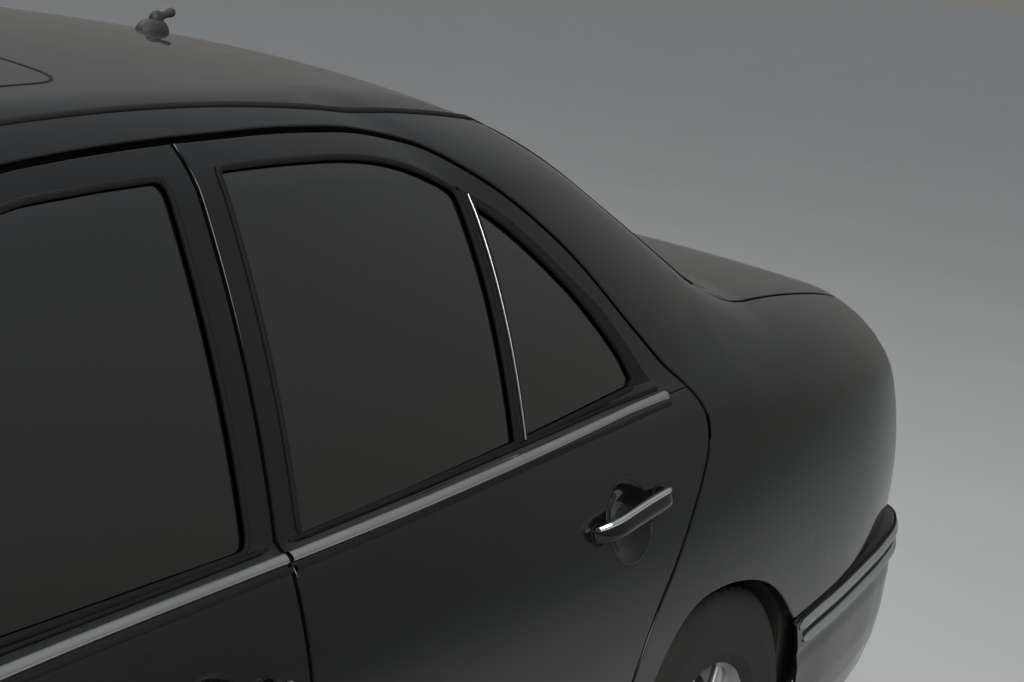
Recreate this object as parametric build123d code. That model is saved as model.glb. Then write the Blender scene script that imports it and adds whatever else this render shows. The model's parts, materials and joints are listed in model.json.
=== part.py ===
"""A four-door saloon car, built panel by panel in millimetres.

+X points to the front, +Y to the car's left, +Z up. The origin is on the ground, half way along the car.
Along the car, places are given as a station s: the distance behind the front axle.
Left-hand pieces are modelled, and the right-hand ones are their mirror images.
"""
import os
from math import asin, cos, hypot, sin

from build123d import *

os.makedirs("parts", exist_ok=True)

# Driving dimensions
LENGTH = 4795.0
WHEELBASE = 2833.0
FRONT_OVERHANG = 840.0
TRACK = 1530.0
FRONT_AXLE_X = LENGTH / 2 - FRONT_OVERHANG

# Wheels and brakes
TYRE_R = 324.0
TYRE_W = 205.0
TYRE_CROWN = 10.0
RIM_SEAT_R = 190.0
RIM_LIP_R = 206.0
RIM_LIP_T = 8.0
RIM_WALL = 8.0
HUB_R = 70.0
HUB_T = 40.0
BOLT_CIRCLE_D = 112.0
BOLT_COUNT = 5
BOLT_HOLE_R = 7.0
DISC_R = 143.0
DISC_T = 22.0
SPOKE_COUNT = 8
SPOKE_W = 48.0
SPOKE_T = 26.0
ARCH_R = 362.0
REAR_ARCH = [(2765.0, 345.0, 335.0), (2833.0, 324.0, 350.0)]
STEERED_WELL_R = 392.0
STEERED_WELL_Y = 450.0
REAR_WELL_Y = 640.0
ARCH_LIP_Y = 850.0
KINGPIN_Y = 690.0

# Gaps and walls
DOOR_GAP = 7.0
SEAT_GAP = 0.3
PANEL_T = 25.0
HEM_T = 5.0
HEM_W = 18.0
DOOR_T = 60.0
WINDOW_FRAME_T = 32.0
DOOR_CLEARANCE = 14.0
FRAME_CLEARANCE = 9.0
RAIL_T = 64.0
PILLAR_INNER_Y = 712.0
CARD_INSET = 75.0
CARD_Y = 742.0
DOOR_TOP_INNER_Y = 700.0
DOORWAY_INSET = 42.0
GLASS_T = 5.0
GLASS_INSET = 8.0
SCREEN_T = 6.0
SCREEN_INSET = 5.0
FLOOR_Z = 215.0
FLOOR_T = 20.0

# Lower body sections. Columns: station, bottom height, bottom half width, widest height, widest half width,
# shoulder height, shoulder half width, shoulder radius, height on the centre line
LOWER_BODY = [
    (-790, 320, 520, 500, 590, 650, 500, 60, 700),
    (-700, 290, 640, 520, 730, 735, 640, 80, 785),
    (-520, 240, 745, 560, 828, 815, 735, 90, 862),
    (-150, 200, 805, 600, 878, 880, 785, 90, 925),
    (420, 190, 832, 620, 893, 915, 812, 70, 985),
    (1100, 188, 845, 620, 898, 915, 826, 60, 990),
    (1800, 188, 847, 620, 899, 950, 822, 60, 1020),
    (2500, 195, 840, 620, 895, 986, 805, 70, 1050),
    (3118, 225, 822, 640, 878, 1035, 792, 120, 1083),
    (3550, 270, 765, 650, 838, 1022, 748, 130, 1066),
    (3800, 300, 690, 660, 768, 992, 672, 110, 1032),
    (3905, 320, 610, 660, 700, 955, 604, 80, 990),
]

# Cabin outline by height: each row gives the value at the reference height, its slope and its curvature
CABIN_REF_Z = 1050.0
CABIN_LEVELS = (880.0, 1050.0, 1230.0, 1460.0)
SCREEN_CENTRE_S = (421.0, 1.73, 0.0)
SCREEN_CORNER_S = (684.0, 1.376, 0.0)
SCREEN_CORNER_Y = (732.0, -0.345, -0.00047)
CABIN_SIDE_S = (1700.0, 0.0, 0.0)
CABIN_SIDE_Y = (769.0, -0.368, -0.00036)
C_PILLAR_S = (2635.0, -1.72, 0.0)
C_PILLAR_Y = (750.0, -0.29, -0.00062)
C_MIDDLE_S = (2882.0, -1.80, 0.0)
C_MIDDLE_Y = (719.0, -0.25, -0.00060)
REAR_CORNER_S = (3100.0, -1.94, 0.0)
REAR_CORNER_Y = (657.0, -0.30, -0.00038)
REAR_CENTRE_S = (3228.0, -1.90, 0.0)
CORNER_R = 40.0
ROOF_TOP_Z = 1438.0
ROOF_TOP_S = 1780.0
ROOF_LONG_R = 7100.0
ROOF_CROSS_R = 5600.0
ROOF_SEAM_Y = 540.0
HEADER_Z = 1376.0

# Door outlines in side view, on the middle of their gaps. Columns: station, height
FRONT_DOOR = [
    (478, 225), (478, 890), (560, 925), (740, 1045), (985, 1225), (1140, 1315), (1292, 1350), (1507, 1370),
    (1600, 1374), (1600, 225),
]
REAR_DOOR = [
    (1600, 225), (1600, 1374), (1787, 1379), (1996, 1374), (2140, 1352), (2292, 1291), (2433, 1207), (2578, 1092),
    (2674, 1021), (2722, 968), (2720, 911), (2676, 860), (2558, 749), (2483, 675), (2440, 599), (2405, 500),
    (2385, 225),
]
FRONT_GLASS = [(690, 905), (1010, 1165), (1180, 1278), (1276, 1317), (1401, 1329), (1550, 1339), (1550, 942)]
REAR_GLASS = [
    (1643, 943), (1650, 1345), (1834, 1349), (1940, 1347), (2012, 1341), (2081, 1329), (2172, 1300), (2168, 975),
]
QUARTER_GLASS = [(2199, 978), (2204, 1287), (2267, 1255), (2337, 1212), (2401, 1165), (2501, 1077), (2535, 1004)]

# Hinges: the door axes stand this far behind the gap and outboard of the centre line
HINGE_BEHIND = 45.0
HINGE_Y = 877.0
HINGE_HEIGHTS = (500.0, 715.0)
HINGE_PIN_R = 4.0
HINGE_EYE_R = 7.0
HINGE_H = 36.0

FRAME_ZONE = [
    (484, 180), (484, 890), (450, 925), (610, 1045), (900, 1255), (1060, 1380), (1100, 1460), (2250, 1460),
    (2420, 1345), (2560, 1230), (2760, 1060), (2790, 960), (2780, 860), (2640, 760), (2520, 640), (2440, 520),
    (2440, 180),
]
BELT_STRIP = {"front": (560, 1592), "rear": (1608, 2630)}
BELT_STRIP_H = 16.0
HANDLE = {"front": (1250, 1500), "rear": (2256, 2503)}
HANDLE_Z = 860.0
HANDLE_PROUD = 32.0
BONNET = [(-640, 560), (-560, 610), (-350, 655), (0, 688), (396, 700)]
BONNET_REAR_S = 150.0
COWL_Y = 700.0
SILL_INNER_Y = 740.0
BOOT_LID = [(3118, 655), (3752, 611), (3960, 585)]
LID_FRONT_S = 3212.0
DECK_Y = 648.0
SCREEN_FRONT = [(-722, 990), (-560, 1362), (560, 1362), (722, 990)]
SCREEN_REAR = [(-628, 1092), (-500, 1352), (500, 1352), (628, 1092)]
HEADLAMPS = [(612, 690, 92, 72), (408, 684, 78, 62)]
TAIL_LAMP = (3730, 3960, 590, 1000, 700, 850)
GRILLE = (270.0, 622.0, 722.0)
GRILLE_FRAME = 14.0
GRILLE_SLOTS = 4
GRILLE_BAR = 8.0
BUMPER_TOP_Z = 600.0
BUMPER_T = 60.0
FRONT_BUMPER = [(-372, 884), (-560, 862), (-690, 796), (-752, 730), (-792, 590)]
REAR_BUMPER = [(3190, 872), (3500, 852), (3790, 806), (3872, 740), (3916, 600)]
FRONT_BUMPER_S = -FRONT_OVERHANG
REAR_BUMPER_S = LENGTH - FRONT_OVERHANG
STRIP_PROUD = 6.0
TUNNEL_HALF_W = 110.0
TUNNEL_Z = 400.0
AXLE_TUNNEL_Z = 420.0
BALL_JOINTS = (212.0, 450.0)
SUBFRAME_Z = 190.0
STUB_R = 20.0
CYLINDERS = 6
CYLINDER_PITCH = 76.0
ENGINE_S = -50.0
CRANK_Z = 395.0
STEER_AT = (1010.0, 370.0, 900.0)
STEER_R = 185.0
STEER_RIM_R = 14.0
EXHAUST_Z = 184.0
EXHAUST_Y = -210.0
EXHAUST_R = 28.0
EXHAUST_TOP_Z = 212.5  # just under the floor
MIRROR_AT = (640.0, 960.0, 985.0)
MIRROR_FOOT_Y = 735.0
AERIAL_AT = (2300.0, 0.0)
AERIAL_BASE_Z = 1408.0
AERIAL_TOP_Z = 1452.0
AERIAL_SOCKET = (6.0, 36.0)  # radius and length


def X(s):
    """The X of a station."""
    return FRONT_AXLE_X - s


REAR_AXLE_X = X(WHEELBASE)


def mirror_y(point):
    """The same place on the other side."""
    return point[0], -point[1]


def belt_z(s):
    """Height of the belt line, just under the windows."""
    return 898.0 + 0.052 * (s - 1124.0)


def side_arc_middle(wide, corner):
    """Middle of the arc that leaves the widest point straight up or down and ends at the corner."""
    dy, dz = wide[0] - corner[0], corner[1] - wide[1]
    r = (dy * dy + dz * dz) / (2 * dy)
    half = asin(dz / r) / 2
    return (wide[0] - r + r * cos(half), wide[1] + r * sin(half))


def lower_section(row, inset):
    """One cross-section of the lower body, drawn inside the outer skin by the inset."""
    s, z_b, y_b, z_w, y_w, z_s, y_s, r_s, z_t = row
    low = (y_b - inset, z_b + inset)
    wide = (y_w - inset, z_w)
    corner = (y_s - inset, z_s - inset)
    top = (0, z_t - inset)

    def flip(point):
        """The same place on the other side of the section."""
        return -point[0], point[1]

    low_mid, high_mid = side_arc_middle(wide, low), side_arc_middle(wide, corner)
    edges = [
        Line(flip(low), low),
        ThreePointArc(low, low_mid, wide),
        ThreePointArc(wide, high_mid, corner),
        ThreePointArc(corner, top, flip(corner)),
        ThreePointArc(flip(corner), flip(high_mid), flip(wide)),
        ThreePointArc(flip(wide), flip(low_mid), flip(low)),
    ]
    face = make_face(Curve() + edges)
    shoulders = [v for v in face.vertices() if abs(v.Y - corner[1]) < 0.01]
    face = fillet(shoulders, r_s)
    return Plane(origin=(X(s), 0, 0), x_dir=(0, 1, 0), z_dir=(1, 0, 0)) * face


def lower_body(inset=0.0):
    """The body below the windows, from nose to tail, as one solid."""
    rows = [list(row) for row in LOWER_BODY]
    rows[0][0] += inset
    rows[-1][0] -= inset
    return loft([lower_section(row, inset) for row in rows])


def at_level(values, z):
    """A cabin outline value at a height."""
    h = z - CABIN_REF_Z
    return sum(v * h**i for i, v in enumerate(values))


def cabin_outline(z, inset):
    """The cabin's plan outline at one height."""

    def spot(s_values, y_values, along, across=1.0):
        """A corner of the outline, moved in by the inset: forwards or backwards, and across."""
        lean_s, lean_y = hypot(1, s_values[1]), hypot(1, y_values[1])
        return (X(at_level(s_values, z) + along * inset * lean_s), at_level(y_values, z) - across * inset * lean_y)

    corner_f = spot(SCREEN_CORNER_S, SCREEN_CORNER_Y, 1.0)
    centre_f = (spot(SCREEN_CENTRE_S, CABIN_SIDE_Y, 1.0)[0], 0)
    side = spot(CABIN_SIDE_S, CABIN_SIDE_Y, 0.0)
    pillar = spot(C_PILLAR_S, C_PILLAR_Y, 0.0)
    bulge = spot(C_MIDDLE_S, C_MIDDLE_Y, -0.3)
    corner_r = spot(REAR_CORNER_S, REAR_CORNER_Y, -1.0)
    centre_r = (spot(REAR_CENTRE_S, CABIN_SIDE_Y, -1.0)[0], 0)
    flip = mirror_y
    edges = [
        ThreePointArc(flip(corner_f), centre_f, corner_f),
        ThreePointArc(corner_f, side, pillar),
        ThreePointArc(pillar, bulge, corner_r),
        ThreePointArc(corner_r, centre_r, flip(corner_r)),
        ThreePointArc(flip(corner_r), flip(bulge), flip(pillar)),
        ThreePointArc(flip(pillar), flip(side), flip(corner_f)),
    ]
    face = make_face(Curve() + edges)
    corners = [v for v in face.vertices() if abs(v.X - corner_f[0]) < 0.01 or abs(v.X - corner_r[0]) < 0.01]
    return Plane.XY.offset(z) * fillet(corners, CORNER_R)


def cabin(inset=0.0):
    """The glasshouse and roof as one solid."""
    body = loft([cabin_outline(z, inset) for z in CABIN_LEVELS])
    top = ROOF_TOP_Z - inset
    half_width, drop = 900.0, 900.0**2 / (2 * ROOF_CROSS_R)
    section = make_face(
        Curve()
        + [
            ThreePointArc((-half_width, top - drop), (0, top), (half_width, top - drop)),
            Line((half_width, top - drop), (half_width, 700)),
            Line((half_width, 700), (-half_width, 700)),
            Line((-half_width, 700), (-half_width, top - drop)),
        ]
    )
    place = Plane(origin=(X(ROOF_TOP_S), 0, 0), x_dir=(0, 1, 0), z_dir=(1, 0, 0))
    axis = Axis((X(ROOF_TOP_S), 0, ROOF_TOP_Z - ROOF_LONG_R), (0, 1, 0))
    half_turn = 14.0
    crown = revolve((place * section).rotate(axis, -half_turn), axis, 2 * half_turn)
    return body & crown


def box(s0, s1, y0, y1, z0, z1):
    """A block between two stations, two Y and two heights."""
    return Pos((X(s0) + X(s1)) / 2, (y0 + y1) / 2, (z0 + z1) / 2) * Box(abs(s1 - s0), abs(y1 - y0), abs(z1 - z0))


def side_face(points, inset=0.0, radius=0.0):
    """A side-view outline of (station, height) points as a face on the centre plane, drawn in by the inset."""
    face = make_face(Polyline([(X(s), z) for s, z in points], close=True))
    if radius:
        face = fillet(face.vertices(), radius)
    if inset:
        face = offset(face, -inset, kind=Kind.INTERSECTION)
    return Plane.XZ * face


def side_prism(points, inset=0.0, y0=300.0, y1=1000.0, radius=0.0):
    """A side-view outline carried across the car from y0 to y1."""
    return Pos(0, y1, 0) * extrude(side_face(points, inset, radius), y1 - y0)


def front_prism(points, s0, s1, radius=0.0):
    """A front-view outline of (y, height) points carried along the car from station s0 to s1."""
    face = make_face(Polyline(points, close=True))
    if radius:
        face = fillet(face.vertices(), radius)
    return extrude(Plane(origin=(X(s1), 0, 0), x_dir=(0, 1, 0), z_dir=(1, 0, 0)) * face, s1 - s0)


def rod(s, y, z, r, h, axis="z"):
    """A cylinder centred at a place, along one axis."""
    turn = {"z": (0, 0, 0), "y": (90, 0, 0), "x": (0, 90, 0)}[axis]
    return Pos(X(s), y, z) * Rot(*turn) * Cylinder(r, h)


def right(part):
    """The right-hand twin of a left-hand piece."""
    return mirror(part, about=Plane.XZ)


def both(part):
    """A left-hand piece and its right-hand twin, as separate solids."""
    return Compound(children=[*part.solids(), *right(part).solids()])


def save(part, name):
    """Write one piece as its own file."""
    solids = part.solids()
    export_step(solids[0] if len(solids) == 1 else Compound(children=solids), f"parts/{name}.step")


LEFT = box(-900, 4000, 0, 1000, 0, 1500)
SKIN_INSETS = (0.0, HEM_T, PANEL_T, PANEL_T + SEAT_GAP, DOOR_T, DOOR_T + DOOR_CLEARANCE)
ROOF_INSETS = (
    0.0, HEM_T, GLASS_INSET, GLASS_INSET + GLASS_T, PANEL_T, WINDOW_FRAME_T, WINDOW_FRAME_T + FRAME_CLEARANCE, RAIL_T,
    SCREEN_INSET, SCREEN_INSET + SCREEN_T,
)
SKIN = {inset: lower_body(inset) for inset in SKIN_INSETS}
ROOF = {inset: cabin(inset) for inset in ROOF_INSETS}
HALF_SKIN = {inset: body & LEFT for inset, body in SKIN.items()}
HALF_ROOF = {inset: body & LEFT for inset, body in ROOF.items()}
outer_left = HALF_SKIN[0.0] + HALF_ROOF[0.0]
hem_inner = HALF_SKIN[HEM_T] + HALF_ROOF[HEM_T]
door_inner = HALF_SKIN[DOOR_T] + HALF_ROOF[WINDOW_FRAME_T]
frame_outer = HALF_SKIN[DOOR_T + DOOR_CLEARANCE] + HALF_ROOF[WINDOW_FRAME_T + FRAME_CLEARANCE]
panel_inner = HALF_SKIN[PANEL_T] + HALF_ROOF[RAIL_T]

front_well = Pos(FRONT_AXLE_X, 0, TYRE_R) * Rot(90, 0, 0) * Cylinder(STEERED_WELL_R, 2 * ARCH_LIP_Y)
front_well -= box(-900, 900, -STEERED_WELL_Y, STEERED_WELL_Y, -200, 1000)
front_well += Pos(FRONT_AXLE_X, 0, TYRE_R) * Rot(90, 0, 0) * (Cylinder(ARCH_R, 2100) - Cylinder(ARCH_R, 1200))
rear_well = None
for s, z, r in REAR_ARCH:
    lobe = Pos(X(s), 0, z) * Rot(90, 0, 0) * (Cylinder(r, 2100) - Cylinder(r, 2 * REAR_WELL_Y))
    rear_well = lobe if rear_well is None else rear_well + lobe
wells = front_well + rear_well

HALF_GAP = DOOR_GAP / 2
DOORS = {"front": FRONT_DOOR, "rear": REAR_DOOR}
LEADING = {"front": 478.0, "rear": 1600.0}
GLASSES = {"front": [FRONT_GLASS], "rear": [REAR_GLASS, QUARTER_GLASS]}


def hinge_pocket(lead):
    """The hollow in a door's leading edge where its hinges turn."""
    s = lead + HINGE_BEHIND
    room = HINGE_EYE_R + 5
    cuts = []
    for z in HINGE_HEIGHTS:
        cuts.append(box(lead - 10, s + room, HINGE_Y - 80, HINGE_Y + room - 3, z - HINGE_H, z + HINGE_H))
    return cuts


def hinge_bracket(lead):
    """The two fixed leaves: an eye round the pin, and an arm to the pillar inboard."""
    s = lead + HINGE_BEHIND
    leaves = []
    for z in HINGE_HEIGHTS:
        arm = box(s - HINGE_EYE_R + 1, s + HINGE_EYE_R - 1, HINGE_Y - 100, HINGE_Y, z - HINGE_H / 2, z + HINGE_H / 2)
        leaf = arm + rod(s, HINGE_Y, z, HINGE_EYE_R, HINGE_H)
        leaves.append(leaf - rod(s, HINGE_Y, z, HINGE_PIN_R + SEAT_GAP, 2 * HINGE_H))
    return leaves


def door(name):
    """A left-hand door: skin, window frame and card as one solid, with its hinge pins."""
    outline = DOORS[name]
    lead = LEADING[name]
    body = outer_left & side_prism(outline, HALF_GAP)
    body -= box(440, 3000, 0, CARD_Y, 0, 880) + box(440, 3000, 0, DOOR_TOP_INNER_Y, 870, 960)
    inner_edge = side_prism(outline, HALF_GAP + HEM_W)
    body -= hem_inner - inner_edge
    card = side_prism(outline, HALF_GAP + CARD_INSET, CARD_Y, 1000) & box(0, 4000, 0, 1000, 0, belt_z(lead) - 10)
    body -= door_inner - card
    for glass in GLASSES[name]:
        body -= side_prism(glass, radius=12)
    for cut in hinge_pocket(lead):
        body -= cut
    body = body.solids().sort_by(SortBy.VOLUME)[-1]
    for z in HINGE_HEIGHTS:
        body += rod(lead + HINGE_BEHIND, HINGE_Y, z, HINGE_PIN_R, 2 * HINGE_H + 1)
    return body - wells


def door_glass(name):
    """The panes of a left-hand door, seated in their openings."""
    sheet = HALF_ROOF[GLASS_INSET] - HALF_ROOF[GLASS_INSET + GLASS_T]
    panes = [sheet & side_prism(glass, SEAT_GAP, radius=12) for glass in GLASSES[name]]
    return Compound(children=[s for p in panes for s in p.solids()])


def shell(body):
    """The left part of the outer skin, one panel thick, within a zone."""
    return (outer_left & body) - panel_inner


def door_trim(name):
    """The belt strip and the pull handle of a left-hand door."""
    s0, s1 = BELT_STRIP[name]
    z0, z1 = belt_z(s0), belt_z(s1)
    strip = side_prism([(s0, z0), (s1, z1), (s1, z1 + BELT_STRIP_H), (s0, z0 + BELT_STRIP_H)]) & STRIP_LAYER
    h0, h1 = HANDLE[name]
    z = HANDLE_Z + 0.052 * (h0 - HANDLE["rear"][0])
    grip = side_prism([(h0, z - 14), (h1, z - 6), (h1, z + 14), (h0, z + 8)], radius=6) & GRIP_LAYER
    for s in (h0 + 16, h1 - 16):
        grip += box(s - 12, s + 12, 700, 1000, z - 9, z + 7) & POST_LAYER
    return Compound(children=[*strip.solids(), *grip.solids()])


def side_frame():
    """The left-hand door frames: sill, pillars and roof rail as one solid."""
    body = outer_left & side_prism(FRAME_ZONE, y0=0)
    body -= box(-900, 4000, 0, PILLAR_INNER_Y, 180, 960)
    body -= HALF_ROOF[RAIL_T]
    body -= box(-900, 4000, 0, ROOF_SEAM_Y + SEAT_GAP, 900, 1500)
    front_of_door = box(440, 640, 0, 1000, 895, 1100) - side_prism(FRONT_DOOR, -HALF_GAP, y0=0)
    body -= HALF_SKIN[0.0] & front_of_door
    for outline in DOORS.values():
        body -= side_prism(outline, -HALF_GAP) - frame_outer
        body -= side_prism(outline, DOORWAY_INSET)
    body -= screens
    body -= wells
    body = body.solids().sort_by(SortBy.VOLUME)[-1]
    for lead in LEADING.values():
        for leaf in hinge_bracket(lead):
            body += leaf
    return body


def bonnet_zone(gap, z0=600):
    """The bonnet's plan outline as a tall block, drawn out by the gap."""
    points = [(X(s), y) for s, y in BONNET]
    outline = [Line(a, b) for a, b in zip(points, points[1:])]
    rear = ThreePointArc(points[-1], (X(BONNET_REAR_S), 0), (points[-1][0], -points[-1][1]))
    mirrored = [Line((a[0], -a[1]), (b[0], -b[1])) for a, b in zip(points, points[1:])]
    front = Line(points[0], (points[0][0], -points[0][1]))
    face = make_face(Curve() + [*outline, rear, *mirrored, front])
    return Pos(0, 0, z0) * extrude(offset(face, gap), 800)


def lid_zone(gap, z0=BUMPER_TOP_Z + 4):
    """The boot lid's plan outline as a tall block, drawn out by the gap."""
    points = [(X(s), y) for s, y in BOOT_LID]
    outline = [Line(a, b) for a, b in zip(points, points[1:])]
    front = ThreePointArc((points[0][0], -points[0][1]), (X(LID_FRONT_S), 0), points[0])
    mirrored = [Line((a[0], -a[1]), (b[0], -b[1])) for a, b in zip(points, points[1:])]
    rear = Line(points[-1], (points[-1][0], -points[-1][1]))
    face = make_face(Curve() + [*outline, rear, *mirrored, front])
    return Pos(0, 0, z0) * extrude(offset(face, gap), 800)


def oval(y, z, half_w, half_h, s0, s1):
    """An oval seen from the front, carried along the car."""
    plane = Plane(origin=(X(s1), y, z), x_dir=(0, 1, 0), z_dir=(1, 0, 0))
    return extrude(plane * Ellipse(half_w, half_h), s1 - s0)


def headlamp_zone(grow=0.0):
    """The space of the four headlamps."""
    zones = []
    for y, z, half_w, half_h in HEADLAMPS:
        for side in (1, -1):
            zones.append(oval(side * y, z, half_w + grow, half_h + grow, -800, -560))
    return Compound(children=zones)


def tail_lamp_zone(grow=0.0):
    """The space of the left-hand tail lamp."""
    s0, s1, y0, y1, z0, z1 = TAIL_LAMP
    return box(s0 - grow, s1, y0 - grow, y1, z0 - grow, z1 + grow)


def bumper_face(points, nose_s):
    """A bumper's plan outline: straight sides, arcs round the corners and a shallow arc across."""
    side, bend, corner, middle, end = [(X(s), y) for s, y in points]
    flip = mirror_y
    edges = [
        Line(flip(side), side),
        ThreePointArc(side, bend, corner),
        ThreePointArc(corner, middle, end),
        ThreePointArc(end, (X(nose_s), 0), flip(end)),
        ThreePointArc(flip(end), flip(middle), flip(corner)),
        ThreePointArc(flip(corner), flip(bend), flip(side)),
    ]
    return make_face(Curve() + edges)


def bumper(points, nose_s, z0, z1):
    """A moulded bumper, hollow behind, closed against the body."""
    face = bumper_face(points, nose_s)
    body = Pos(0, 0, z0) * extrude(face, z1 - z0)
    body = body - SKIN[PANEL_T] - wells
    hollow = Pos(0, 0, z0 - 10) * extrude(offset(face, -BUMPER_T), 90)
    body -= hollow
    return body.solids().sort_by(SortBy.VOLUME)[-1]


def quarter_panel():
    """The left-hand rear wing with its roof pillar."""
    zone = box(2200, 3960, 0, 1000, 180, 1500) - side_prism(FRAME_ZONE, -SEAT_GAP, y0=-10)
    zone -= box(3150, 4000, 0, 1000, 0, BUMPER_TOP_Z + SEAT_GAP)
    body = shell(zone)
    body -= lid_zone(HALF_GAP)
    body -= box(2200, 4000, -1, ROOF_SEAM_Y + SEAT_GAP, HEADER_Z, 1500)
    body -= box(2200, 4000, -1, DECK_Y + SEAT_GAP, 900, 1090) - box(3300, 4000, -1, 1000, 0, 2000)
    body -= screens
    body -= tail_lamp_zone(SEAT_GAP)
    body -= wells
    body -= side_prism(REAR_DOOR, -HALF_GAP)
    body -= box(2200, 4000, -1, SILL_INNER_Y, 0, BUMPER_TOP_Z)
    return body.solids().sort_by(SortBy.VOLUME)[-1]


def wing():
    """The left-hand front wing."""
    zone = side_prism([(-636, 150), (-636, 1100), (700, 1100), (700, 150)], y0=0)
    zone -= box(-900, -300, 0, 1000, 0, BUMPER_TOP_Z + SEAT_GAP)
    zone -= side_prism(FRONT_DOOR, -HALF_GAP)
    body = (HALF_SKIN[0.0] & zone) - HALF_SKIN[PANEL_T]
    body -= box(440, 900, 0, 1000, 0, 895) & box(LEADING["front"] + HALF_GAP, 900, 0, 1000, 0, 2000)
    body -= HALF_SKIN[HEM_T] & box(LEADING["front"] - 45, LEADING["front"] + 10, 700, 1000, 230, 900)
    body -= bonnet_zone(HALF_GAP)
    body -= box(100, 700, -1, COWL_Y + SEAT_GAP, 800, 1200)
    body -= HALF_ROOF[0.0]
    body -= wells
    body -= headlamp_zone(SEAT_GAP)
    body -= box(-900, 900, -1, SILL_INNER_Y, 0, BUMPER_TOP_Z)
    return body.solids().sort_by(SortBy.VOLUME)[-1]


def nose_panel():
    """The fixed panel over the front bumper, with the lamp and grille openings."""
    body = (SKIN[0.0] & box(-800, -643, -1000, 1000, BUMPER_TOP_Z + SEAT_GAP, 1000)) - SKIN[PANEL_T]
    body -= headlamp_zone(SEAT_GAP)
    body -= grille_zone(SEAT_GAP)
    return body.solids().sort_by(SortBy.VOLUME)[-1]


def grille_zone(grow=0.0):
    """The grille's opening in the nose."""
    half_w, z0, z1 = GRILLE
    return box(-800, -600, -half_w - grow, half_w + grow, z0 - grow, z1 + grow)


def grille():
    """The grille: a frame with level bars and a centre upright."""
    half_w, z0, z1 = GRILLE
    body = (SKIN[0.0] & grille_zone()) - SKIN[PANEL_T]
    pitch = (z1 - z0 - GRILLE_FRAME) / GRILLE_SLOTS
    for row in range(GRILLE_SLOTS):
        low = z0 + GRILLE_FRAME + row * pitch
        for side in (1, -1):
            y0, y1 = sorted((side * GRILLE_FRAME / 2, side * (half_w - GRILLE_FRAME)))
            body -= box(-900, -500, y0, y1, low, low + pitch - GRILLE_BAR)
    return body


def bonnet():
    """The bonnet, with its two hinge pins."""
    body = (SKIN[0.0] & bonnet_zone(-HALF_GAP)) - SKIN[PANEL_T]
    body -= box(-900, -640, -1000, 1000, 0, 2000)
    body -= headlamp_zone(SEAT_GAP + 5)
    return body.solids().sort_by(SortBy.VOLUME)[-1]


def boot_lid():
    """The boot lid, with the rear face down to the bumper."""
    body = (SKIN[0.0] & lid_zone(-HALF_GAP, BUMPER_TOP_Z + 8)) - SKIN[PANEL_T]
    for side in (1, -1):
        s0, s1, y0, y1, z0, z1 = TAIL_LAMP
        cut = box(s0 - 8, s1, y0 - 8, y1, 0, z1 + 8)
        body -= cut if side > 0 else right(cut)
    return body.solids().sort_by(SortBy.VOLUME)[-1]


def roof_panel():
    """The roof skin between its two seams, with both headers."""
    body = (ROOF[0.0] & box(800, 2900, -ROOF_SEAM_Y, ROOF_SEAM_Y, HEADER_Z, 1500)) - ROOF[PANEL_T]
    body -= screens
    return body.solids().sort_by(SortBy.VOLUME)[-1]


def cowl_panel():
    """The scuttle between the bonnet and the windscreen."""
    body = (SKIN[0.0] & box(120, 700, -COWL_Y, COWL_Y, 850, 1200)) - SKIN[PANEL_T]
    body = body - bonnet_zone(HALF_GAP) - ROOF[0.0]
    return body.solids().sort_by(SortBy.VOLUME)[-1]


def rear_deck():
    """The shelf panel between the rear window and the boot lid."""
    body = (SKIN[0.0] & box(2900, 3300, -DECK_Y, DECK_Y, 900, 1200)) - SKIN[PANEL_T]
    body = body - lid_zone(HALF_GAP) - ROOF[0.0]
    return body.solids().sort_by(SortBy.VOLUME)[-1]


def floor_pan():
    """Floor, bulkheads, inner wings and boot tub as one welded body."""
    inner = PILLAR_INNER_Y - SEAT_GAP
    body = SKIN[PANEL_T + SEAT_GAP] & box(-620, 3850, -1000, 1000, 0, 1200)
    body -= box(-580, 300, -430, 430, 0, 1200)
    body -= box(365, 2540, -inner, inner, FLOOR_Z + 2 * FLOOR_T, 1200)
    body -= box(2640, 3125, -520, 520, 330, 985)
    body -= box(3120, 3830, -520, 520, 330, 1200)
    body -= box(3240, 3830, -640, 640, 330, 1200)
    body -= box(2690, 2980, -REAR_WELL_Y - 1, REAR_WELL_Y + 1, 0, AXLE_TUNNEL_Z)
    frame = side_prism(FRAME_ZONE, -SEAT_GAP, y0=inner)
    body = body - frame - right(frame)
    body -= box(440, 2450, -1000, -inner, 0, 1200)
    body -= box(440, 2450, inner, 1000, 0, 1200)
    body -= ROOF[0.0] - box(365, 2540, -1000, 1000, 0, 1200)
    body -= wells
    body -= headlamp_zone(SEAT_GAP)
    for zone in (tail_lamp_zone(SEAT_GAP), right(tail_lamp_zone(SEAT_GAP))):
        body -= zone
    for side in (1, -1):
        body -= box(LEADING["front"] - 48, LEADING["front"] + 10, side * 760, side * 1000, 200, 905)
    body += box(365, 2540, -TUNNEL_HALF_W, TUNNEL_HALF_W, FLOOR_Z + FLOOR_T, TUNNEL_Z)
    return body.solids().sort_by(SortBy.VOLUME)[-1]


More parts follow.
